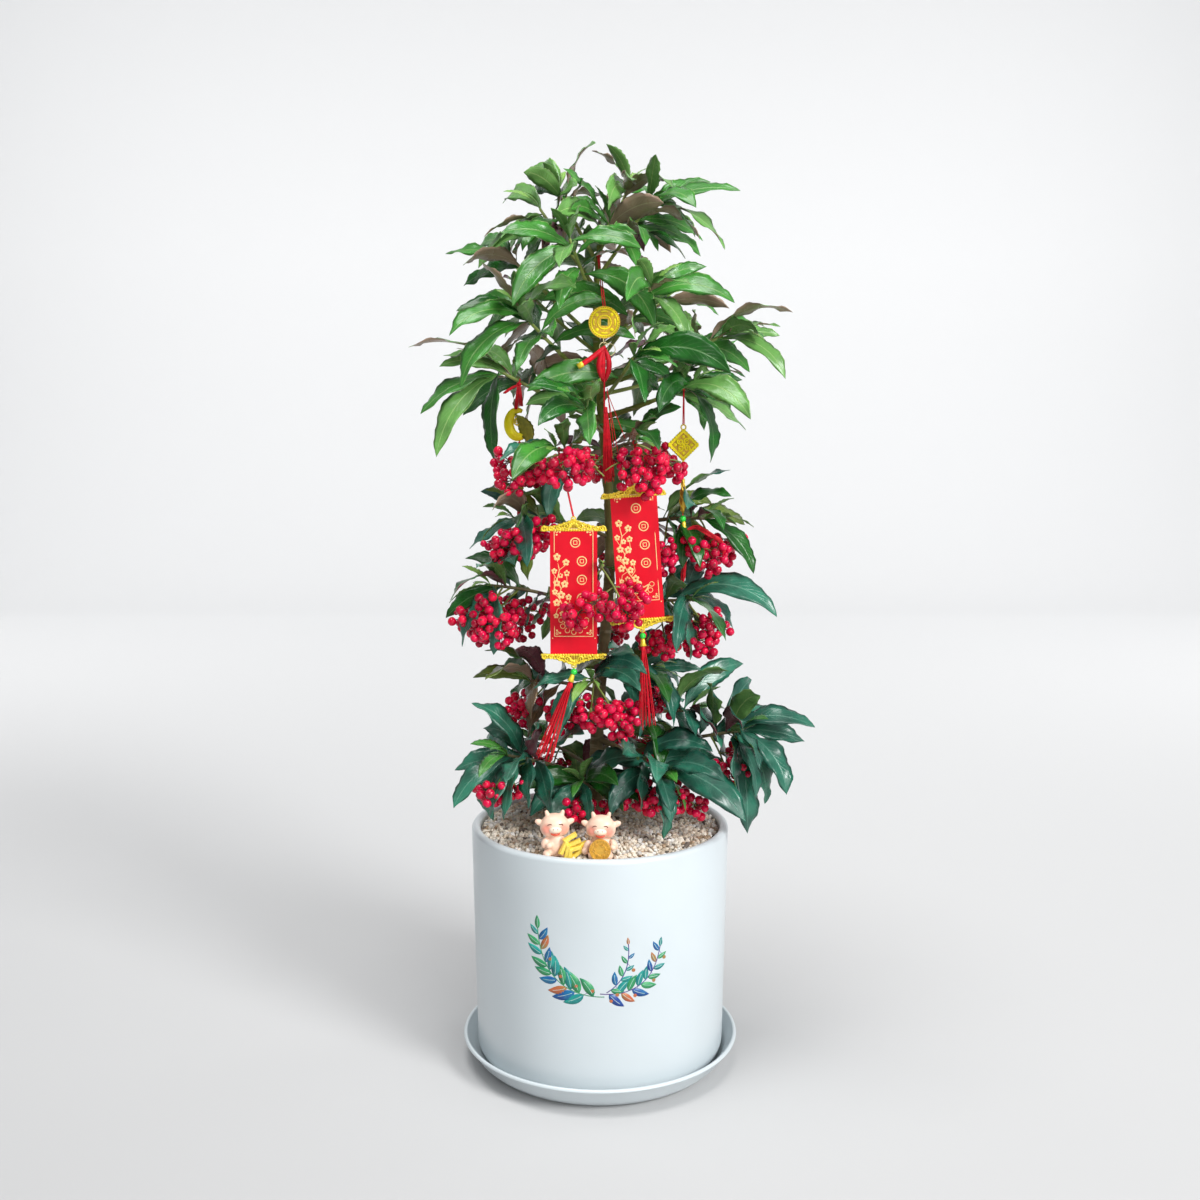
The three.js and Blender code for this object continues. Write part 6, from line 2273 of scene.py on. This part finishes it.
class ARDISIA_OT_bow(bpy.types.Operator):
    """Make the gilt leaf charm with its ribbon tails, its red tube and its tassel"""

    bl_idname = "ardisia.bow"
    bl_label = "Bow charm"

    def execute(self, context):
        finishes = ornament_finishes()
        draw = seeded(SEEDS["bow"])
        heap = Heap()
        top = hang_point(*BOW_HOOK)
        x, y, z = top
        add_rod(heap, loop_round(*BOW_HOOK), 0.7, 6, THREAD)
        add_ball(heap, (x, y - 1.5, z - 0.5), (2.4, 1.8, 2.2), THREAD, ROUND_BEAD)
        for dx, dz, width in ((-14, -9, 1.7), (-3, -24, 1.8), (2.5, -21, 1.5)):
            path = bowed((x, y - 1.5, z - 1), (x + dx, y - 3, z + dz), -1.0)
            for shift in (-0.9, 0.0, 0.9):
                add_rod(heap, path + (shift, 0.3 * shift, 0), (0.7, *[width / 2] * 6, 0.5), 5,
                        THREAD)
        add_string(heap, top, (x, y, 652), 0.55)
        # The crescent is in the bright gilt: painted light, as it hangs in the crown's shade.
        angles = np.radians(np.linspace(65, 330, 20))
        path = np.stack([x - 1.0 + 9.0 * np.cos(angles), np.full(20, y),
                         BOW_HEIGHT + 12.5 * np.sin(angles)], 1)
        swell = 1.2 + 3.6 * np.sin(np.linspace(0.1, math.pi - 0.25, 20)) ** 0.8
        points, faces, marks = rod(path, swell, 12)
        points[:, 1] = y + (points[:, 1] - y) * 0.5
        heap.add(points, faces, LIT_GILT, marks)
        for size, start in ((4.2, 60), (3.2, 250)):
            curl = spiral_path((x - 4.0 + size * 0.6, BOW_HEIGHT + 3 - size * 0.4), size, start,
                               1.3, y - 1.6)
            add_rod(heap, curl, np.linspace(1.0, 0.6, len(curl)), 6, GILT)
        blade = Leaf(np.array((x - 3.5, y - 3.2, 645.0)), 0.0, math.radians(-50),
                     math.radians(24), 33.0, math.radians(-82), width=0.44, wave=0.4)
        points, marks = blade_points(blade)
        heap.add(points, BLADE_FACES, OLIVE, marks)
        add_cone(heap, (x, y, 614), (5, 3.5, 0, -1.5), (0.8, 2.6, 2.4, 0.8), THREAD)
        add_string(heap, (x, y, 620), (x, y, 575), 0.7)
        add_cone(heap, (x, y, 576), (2.6, 2.0, -2.0, -2.6), (2.4, 3.9, 3.9, 2.6), GILT)
        add_cone(heap, (x, y, 574), (0, -4, -16, -27), (2.7, 2.9, 2.8, 3.0), THREAD)
        add_tassel(heap, (x, y, 548), (x + 0.5, y, 523), 3.6, draw, strands=22)
        mounted(heap.piece(finishes), "bow_hanging", "gilt", "bow_charm")
        return {"FINISHED"}


class ARDISIA_OT_plaque(bpy.types.Operator):
    """Make the square gilt plaque with its spindle, its green bead and its draped threads"""

    bl_idname = "ardisia.plaque"
    bl_label = "Plaque charm"

    def execute(self, context):
        finishes = ornament_finishes()
        ornament = ornament_settings()
        draw = seeded(SEEDS["plaque"])
        top = hang_point(*PLAQUE_HOOK)
        x, y, z = top[0], top[1], PLAQUE_HEIGHT
        side = ornament.plaque_side
        plate = box_piece(side, 0.0022, side)
        pick(plate, "FACE", lambda face: abs(face.normal.y) > 0.9)
        for thickness, depth in ((0.0018, 0.0), (0.0003, -0.0006)):
            bpy.ops.mesh.inset(thickness=thickness, depth=depth, use_individual=True)
        bpy.ops.object.mode_set(mode="OBJECT")
        plate.rotation_euler = (0, math.pi / 4, 0)
        plate.location = (x * MM, y * MM, z * MM)
        # The plate's rim is the bright gilt, painted light because the plaque hangs in the crown's
        # shade; its recessed field is the dark gilt, painted shade.
        coat(smooth(settle(plate), 30), finishes[LIT_GILT])
        plate.data.materials.append(finishes[DARK_GILT])
        for face in plate.data.polygons:
            face.material_index = int(face.area > 1e-4)
        heap = Heap()
        reach = side / 2 / MM * math.sqrt(2)
        corners = [(0, reach), (reach, 0), (0, -reach), (-reach, 0), (0, reach)]
        # The olive rods under the rim's beads paint shade in the gaps between the beads, which are
        # in the bright gilt as painted light.
        for (ax, az), (bx, bz) in zip(corners[:-1], corners[1:]):
            add_rod(heap, bowed((x + ax, y, z + az), (x + bx, y, z + bz), 0.0), 0.9, 5, OLIVE)
            for share in (np.arange(7) + 0.5) / 7:
                place = (x + ax + (bx - ax) * share, y, z + az + (bz - az) * share)
                add_ball(heap, place, (1.35, 1.7, 1.35), LIT_GILT)
        # Curls and bosses in the bright gilt: painted light on the raised relief.
        for face in (y - 0.9, y + 0.9):
            for turn in (45, 135, 225, 315):
                angle = math.radians(turn)
                curl = spiral_path((x + 4.3 * math.cos(angle), z + 4.3 * math.sin(angle)), 3.1,
                                   turn, 1.4, face)
                add_rod(heap, curl, np.linspace(1.0, 0.65, len(curl)), 6, LIT_GILT)
            add_ball_ring(heap, (x, face, z), 7.6, 4, (1.6, 0.7, 1.6), LIT_GILT)
            add_ball(heap, (x, face, z), (1.8, 0.9, 1.8), LIT_GILT)
        add_rod(heap, loop_round(*PLAQUE_HOOK), 0.6, 6, THREAD)
        for offset in (-0.6, 0.6):
            add_string(heap, top + (0.5 * offset, 0, 0), (x + offset, y, z + reach + 4.0), 0.55)
        add_rod(heap, ring_path((x, y, z + reach + 2.2), 2.3), 0.7, 7, GILT)
        low = z - reach
        add_rod(heap, ring_path((x, y, low - 2.0), 2.0, 70), 0.6, 7, GILT)
        add_rod(heap, ring_path((x + 1, y, low - 6.5), 3.4, 30), 0.35, 5, WIRE)
        heights = (586, 584, 578, 572, 566, 560, 555, 552)
        radii = (0.7, 1.2, 1.9, 2.5, 3.2, 3.1, 1.7, 0.9)
        add_cone(heap, (x, y, 0), heights, radii, DARK_GILT)
        fall = 584 - 30 * np.linspace(0, 1, 22)
        width = np.interp(fall, heights[::-1], radii[::-1])
        for k in range(3):
            angles = np.linspace(0, 2.4 * math.pi, 22) + 2 * math.pi * k / 3
            helix = np.stack([x + width * np.cos(angles), y + width * np.sin(angles), fall], 1)
            add_rod(heap, helix, 0.55, 5, GILT)
        add_ball(heap, (x, y, 547), (3.2, 3.2, 3.1), GREEN, ROUND_BEAD)
        add_string(heap, (x, y, low - 4), (x, y, 540), 0.5)
        add_cone(heap, (x + 1, y, 540), (5, 3, -2, -5), (1.0, 1.9, 2.4, 2.9), GILT)
        for i in range(ornament.strands):
            size, turn, swing = draw(), draw(), draw()
            if i % 3:
                knots = ((2, 536), (12 + 3 * turn, 541 - 4 * size), (27, 534 - 5 * swing),
                         (36 + 3 * turn, 520 + 6 * size), (38 + 4 * swing, 503 + 8 * turn))
            else:
                knots = ((1, 536), (3 + 2 * turn, 522), (1 + 3 * swing, 507),
                         (4 * turn - 1, 494 + 4 * size), (2 - 4 * size, 480 + 9 * turn))
            path = [(x + dx, y - 2 + 5 * swing * k / 4, height)
                    for k, (dx, height) in enumerate(knots)]
            add_rod(heap, rounded(path), 0.42, 4, THREAD)
        mounted(joined([heap.piece(finishes), plate]), "plaque_hanging", "gilt", "plaque_charm")
        return {"FINISHED"}


def rounded(path, steps=4):
    """A path through its points with rounded corners (Catmull-Rom)."""
    path = np.asarray(path, float)
    whole = np.concatenate([[2 * path[0] - path[1]], path, [2 * path[-1] - path[-2]]])
    made = []
    for a, b, c, d in zip(whole, whole[1:], whole[2:], whole[3:]):
        for t in np.arange(steps) / steps:
            made.append(0.5 * (2 * b + (c - a) * t + (2 * a - 5 * b + 4 * c - d) * t ** 2
                               + (3 * b - a - 3 * c + d) * t ** 3))
    return np.array([*made, path[-1]])


# Calf figures

# Height of the gravel on which they stand, in millimetres
CALF_FLOOR = 237.0


def stood(piece, x, y, turn):
    """Turns a part of a figure about the upright axis and stands it on the gravel."""
    piece.rotation_euler = (0, 0, math.radians(turn))
    piece.location = (x * MM, y * MM, CALF_FLOOR * MM)
    return settle(piece)


def calf_body(parts):
    """One figure from joined balls, remeshed into one skin and smoothed."""
    pieces = []
    for centre, size, tilt in parts:
        clear_selection()
        bpy.ops.mesh.primitive_uv_sphere_add(segments=24, ring_count=16, radius=1.0,
                                             location=np.asarray(centre) * MM)
        ball = bpy.context.active_object
        ball.scale = np.asarray(size) * MM
        ball.rotation_euler = (0, math.radians(tilt), 0)
        pieces.append(settle(ball))
    piece = joined(pieces)
    apply_modifier(piece, "REMESH", mode="VOXEL", voxel_size=0.0007)
    apply_modifier(piece, "SMOOTH", factor=0.6, iterations=5)
    return piece


def skin_material(name, x, y, turn):
    """Peach enamel with a soft blush on both cheeks."""
    material, tree, shader = new_material(name)
    place = tree.nodes.new("ShaderNodeTexCoord").outputs["Object"]
    angle = math.radians(turn)
    masks = []
    for side, ahead in ((-8.2, -8.2), (8.2, -8.2)):
        cheek = (x + side * math.cos(angle) - ahead * math.sin(angle),
                 y + side * math.sin(angle) + ahead * math.cos(angle), CALF_FLOOR + 27.5)
        gap = node(tree, "ShaderNodeVectorMath", operation="DISTANCE",
                   sockets={1: tuple(value * MM for value in cheek)})
        tree.links.new(place, gap.inputs[0])
        masks.append(ramp(tree, maths(tree, "MULTIPLY", gap.outputs["Value"], 100.0),
                          (0.25, 1.0), (0.62, 0.0)))
    blush = maths(tree, "MAXIMUM", *masks)
    group = set_group(tree, mottle_group(), Color=(0.93, 0.65, 0.50, 1),
                      Second_Color=(0.87, 0.55, 0.40, 1), Cloud_Scale=120.0, Grain_Scale=600.0,
                      Amount=0.5)
    colour_out = mixed(tree, maths(tree, "MULTIPLY", blush, 0.75), group.outputs["Color"],
                       (0.86, 0.24, 0.17, 1))
    tree.links.new(colour_out, shader.inputs["Base Color"])
    set_values(shader, Roughness=0.42, Coat_Weight=0.15)
    add_bump(tree, shader, group.outputs["Grain"], 0.05, 0.0002)
    return material


def enamel_material(name, light, dark, rough, cloud=200.0, bump=0.02, coat=0.0):
    """Smooth enamel of the calf figures."""
    return mottled_material(name, light, dark, cloud, rough, amount=0.4, spread=0.05, bump=bump,
                            depth=0.0001, coat=coat)


CALF_PARTS = (
    ((0, 0.5, 10.5), (10.8, 8.2, 12.5), 0), ((0, -0.5, 29.5), (13.2, 10.4, 11.2), 0),
    ((-6.5, -1.5, 27), (7.2, 7.8, 7.4), 0), ((6.5, -1.5, 27), (7.2, 7.8, 7.4), 0),
    ((0, -8.2, 27.2), (6.0, 3.6, 4.0), 0),
    ((-14, 0.5, 32), (5.0, 2.3, 3.0), 24), ((14, 0.5, 32), (5.0, 2.3, 3.0), -24),
    ((-7, 0, 40), (2.2, 2.0, 4.0), -16), ((7, 0, 40), (2.2, 2.0, 4.0), 16),
    ((-7.5, -5.5, 3.6), (4.2, 6.6, 3.7), 0), ((7.5, -5.5, 3.6), (4.2, 6.6, 3.7), 0),
)
ARM_PARTS = {
    "bars": (((-9.5, -3.5, 13.5), (3.4, 3.6, 5.4), 20), ((-5.5, -7.5, 12), (3.4, 3.0, 3.0), 0),
             ((8, -4.5, 14), (3.4, 3.6, 5.0), -20)),
    "coin": (((-12.5, -3.5, 12.5), (3.3, 3.4, 5.8), 26), ((-14.6, -6, 7.6), (3.2, 3.0, 3.0), 0),
             ((12, -3.5, 14), (3.3, 3.4, 5.4), -30), ((11.5, -8.5, 12.5), (3.0, 2.8, 2.8), 0)),
}
# Gold bars: middle, turn about the front axis, turn about the upright axis, in mm and degrees
BARS = (
    ((13.5, -9.5, 19.5), -28, 8), ((16.5, -10.5, 14.5), -22, -6), ((17.5, -12.2, 9.8), -14, 4),
    ((7.5, -11.0, 10.5), -62, 10), ((10.5, -12.5, 7.0), -78, -8), ((19.5, -11.2, 4.6), -38, 6),
    ((13.0, -13.2, 3.6), -82, 0), ((23.0, -9.4, 11.5), -20, 12), ((14.5, -8.2, 8.0), -50, 0),
)


def gold_bar(centre, lean, spin):
    """A gold bar with bevelled edges and a narrower top."""
    bar = box_piece(0.0145, 0.0042, 0.0046)
    bpy.ops.mesh.bevel(offset=0.0006, segments=2, affect="EDGES")
    bpy.ops.object.mode_set(mode="OBJECT")
    for point in bar.data.vertices:
        if point.co.y < 0:
            point.co.x *= 0.9
            point.co.z *= 0.78
    bar.rotation_euler = (0, math.radians(lean), math.radians(spin))
    bar.location = np.asarray(centre) * MM
    return settle(bar)


class ARDISIA_OT_calves(bpy.types.Operator):
    """Model the two sitting calf figures, one with gold bars and one with a coin"""

    bl_idname = "ardisia.calves"
    bl_label = "Calf figures"

    def execute(self, context):
        line, lips, cream, gold, amber = range(5)
        finishes = [
            enamel_material("calf_line", (0.16, 0.045, 0.02), (0.1, 0.03, 0.015), 0.4),
            enamel_material("calf_lips", (0.72, 0.10, 0.05), (0.6, 0.07, 0.04), 0.3),
            enamel_material("calf_cream", (0.97, 0.79, 0.63), (0.93, 0.70, 0.53), 0.38, 150.0,
                            0.03, 0.15),
            gilt_material("calf_gilt", (1.0, 0.76, 0.12)),
            gilt_material("calf_coin_gilt", (0.80, 0.44, 0.05)),
        ]
        for foot, held, name in zip(CALF_FEET, ("bars", "coin"), ("calf_left", "calf_right")):
            body = stood(calf_body(CALF_PARTS + ARM_PARTS[held]), *foot)
            body.data.shade_smooth()
            coat(body, skin_material(name + "_skin", *foot))
            heap = Heap()
            for side in (-1, 1):
                lid = [(side * 5.0 + 2.1 * math.cos(a), -10.05 + 0.25 * abs(math.cos(a)),
                        31.3 + 1.5 * math.sin(a)) for a in np.linspace(0.15, math.pi - 0.15, 8)]
                add_rod(heap, lid, 0.42, 6, line)
                add_ball(heap, (side * 2.0, -11.9, 28.2), (0.42, 0.3, 0.62), line)
            add_ball(heap, (0, -8.7, 27.4), (6.2, 3.5, 3.7), cream, ROUND_BEAD)
            smile = [(4.6 * math.sin(a), -10.6 + 1.4 * math.sin(a) ** 2,
                      24.4 - 1.7 * math.cos(a)) for a in np.linspace(-1.25, 1.25, 11)]
            add_rod(heap, smile, np.sin(np.linspace(0.35, math.pi - 0.35, 11)) * 0.95, 7, lips)
            if held == "coin":
                pieces = [coin_piece((0, -0.0135, 0.0115), 0.0098, 0.0036, 0.0, finishes[amber])]
                add_ball_ring(heap, (0, -15.2, 11.5), 8.1, 18, (0.6, 0.4, 0.6), amber)
                for turn in range(0, 360, 60):
                    angle = math.radians(turn)
                    curl = spiral_path((5.3 * math.cos(angle), 11.5 + 5.3 * math.sin(angle)),
                                       1.7, turn, 1.1, -15.0, 10)
                    add_rod(heap, curl, 0.4, 5, amber)
            else:
                pieces = [coat(gold_bar(*bar), finishes[gold]) for bar in BARS]
            details = stood(joined([heap.piece(finishes), *pieces]), *foot)
            mounted(joined([body, details]), name + "_figure", "figure_enamel", name)
        return {"FINISHED"}


# Stage

def light(name, place, aim, size, power, shade=(1.0, 1.0, 1.0)):
    """A soft area light at a place, aimed at a point."""
    data = bpy.data.lights.new(name, "AREA")
    data.shape = "DISK"
    data.size = size
    data.energy = power
    data.color = shade
    lamp = bpy.data.objects.new(name, data)
    bpy.context.scene.collection.objects.link(lamp)
    lamp.location = place
    lamp.rotation_euler = (Vector(aim) - Vector(place)).to_track_quat("-Z", "Y").to_euler()
    return lamp


# Radius of the curve between the floor and the wall, and the wall's height, in metres
FLOOR_BEND, WALL_HEIGHT = 1.5, 4.5


class ARDISIA_OT_stage(bpy.types.Operator):
    """Set up the camera, the soft studio light and the pale floor with its curved backdrop"""

    bl_idname = "ardisia.stage"
    bl_label = "Stage"

    def execute(self, context):
        settings = context.scene.ardisia_stage
        data = bpy.data.cameras.new("camera")
        data.lens = settings.lens
        data.sensor_width = 36.0
        data.sensor_fit = "HORIZONTAL"
        data.clip_start = 0.05
        camera = bpy.data.objects.new("camera", data)
        context.scene.collection.objects.link(camera)
        camera.location = (0, -settings.distance, settings.height)
        camera.rotation_euler = (math.pi / 2 - settings.pitch, 0, 0)
        context.scene.camera = camera

        clear_selection()
        bpy.ops.mesh.primitive_plane_add(size=8.0, location=(0, -0.5, 0))
        floor = settle(context.active_object)
        points = floor.data.vertices
        pick(floor, "EDGE", lambda edge: all(points[end].co.y > 3 for end in edge.vertices))
        turns = np.radians(np.linspace(0, 90, 13))
        moves = [(0, FLOOR_BEND * (math.sin(turn) - math.sin(last)),
                  FLOOR_BEND * (math.cos(last) - math.cos(turn)))
                 for last, turn in zip(turns, turns[1:])]
        for move in (*moves, (0, 0, WALL_HEIGHT)):
            bpy.ops.mesh.extrude_region_move(TRANSFORM_OT_translate={"value": move})
        bpy.ops.object.mode_set(mode="OBJECT")
        floor.name = "backdrop"
        smooth(floor, 60)
        backdrop, tree, shader = new_material("backdrop_paper")
        apart = tree.nodes.new("ShaderNodeSeparateXYZ")
        place = tree.nodes.new("ShaderNodeTexCoord").outputs["Object"]
        tree.links.new(place, apart.inputs[0])
        # Painted light and shade: the colour goes from the floor's darker grey near the plant to
        # the wall's paler grey at the back, evening out the lamps' light, which is strongest on the
        # near floor.
        away = node(tree, "ShaderNodeMapRange", sockets={"From Min": -0.3, "From Max": 3.3})
        tree.links.new(apart.outputs[1], away.inputs["Value"])
        shade = mixed(tree, away.outputs[0], (*settings.floor, 1), (*settings.backdrop, 1))
        tree.links.new(shade, shader.inputs["Base Color"])
        set_values(shader, Roughness=0.9, Specular_IOR_Level=0.0)
        coat(floor, backdrop)
        lamps = [
            light("key", (2.0, -2.0, 2.1), (0, 0, 0.45), 1.1, 84),
            light("fill", (1.4, -2.9, 1.2), (0, 0, 0.45), 2.0, 37),
            light("top", (-0.3, -0.5, 2.8), (0, 0, 0.5), 1.4, 46),
            light("wall_left", (-2.6, 1.4, 2.4), (-1.2, 5.0, 1.0), 2.6, 52),
            light("wall_right", (2.6, 1.4, 2.4), (1.2, 5.0, 1.0), 2.6, 52),
        ]
        world = bpy.data.worlds.new("studio")
        world.use_nodes = True
        set_values(world.node_tree.nodes["Background"], Color=(0.93, 0.96, 1.0, 1), Strength=0.30)
        context.scene.world = world
        context.scene.view_settings.view_transform = "Standard"
        return {"FINISHED"}


OPERATORS = (
    ARDISIA_OT_stage,
    ARDISIA_OT_saucer,
    ARDISIA_OT_pot,
    ARDISIA_OT_print,
    ARDISIA_OT_gravel,
    ARDISIA_OT_trunk,
    ARDISIA_OT_leaves,
    ARDISIA_OT_berries,
    ARDISIA_OT_twigs,
    ARDISIA_OT_scrolls,
    ARDISIA_OT_coin,
    ARDISIA_OT_bow,
    ARDISIA_OT_plaque,
    ARDISIA_OT_calves,
)
SETTINGS = (
    ("ardisia_pot", ArdisiaPotSettings),
    ("ardisia_plant", ArdisiaPlantSettings),
    ("ardisia_ornaments", ArdisiaOrnamentSettings),
    ("ardisia_stage", ArdisiaStageSettings),
)


class ARDISIA_PT_panel(bpy.types.Panel):
    """Lists the plant's pieces with their settings"""

    bl_label = "Potted Coral Ardisia"
    bl_idname = "ARDISIA_PT_panel"
    bl_space_type = "VIEW_3D"
    bl_region_type = "UI"
    bl_category = "Ardisia"

    def draw(self, context):
        column = self.layout.column(align=True)
        for operator in OPERATORS:
            column.operator(operator.bl_idname)
        for name, group in SETTINGS:
            box = self.layout.box()
            for prop in group.__annotations__:
                box.prop(getattr(context.scene, name), prop)


def register():
    for name, group in SETTINGS:
        bpy.utils.register_class(group)
        setattr(bpy.types.Scene, name, bpy.props.PointerProperty(type=group))
    for operator in OPERATORS:
        bpy.utils.register_class(operator)
    bpy.utils.register_class(ARDISIA_PT_panel)


def unregister():
    bpy.utils.unregister_class(ARDISIA_PT_panel)
    for operator in reversed(OPERATORS):
        bpy.utils.unregister_class(operator)
    for name, group in reversed(SETTINGS):
        delattr(bpy.types.Scene, name)
        bpy.utils.unregister_class(group)


def main():
    """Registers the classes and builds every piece."""
    register()
    for operator in OPERATORS:
        getattr(bpy.ops.ardisia, operator.bl_idname.split(".")[1])()


if __name__ == "__main__":
    main()
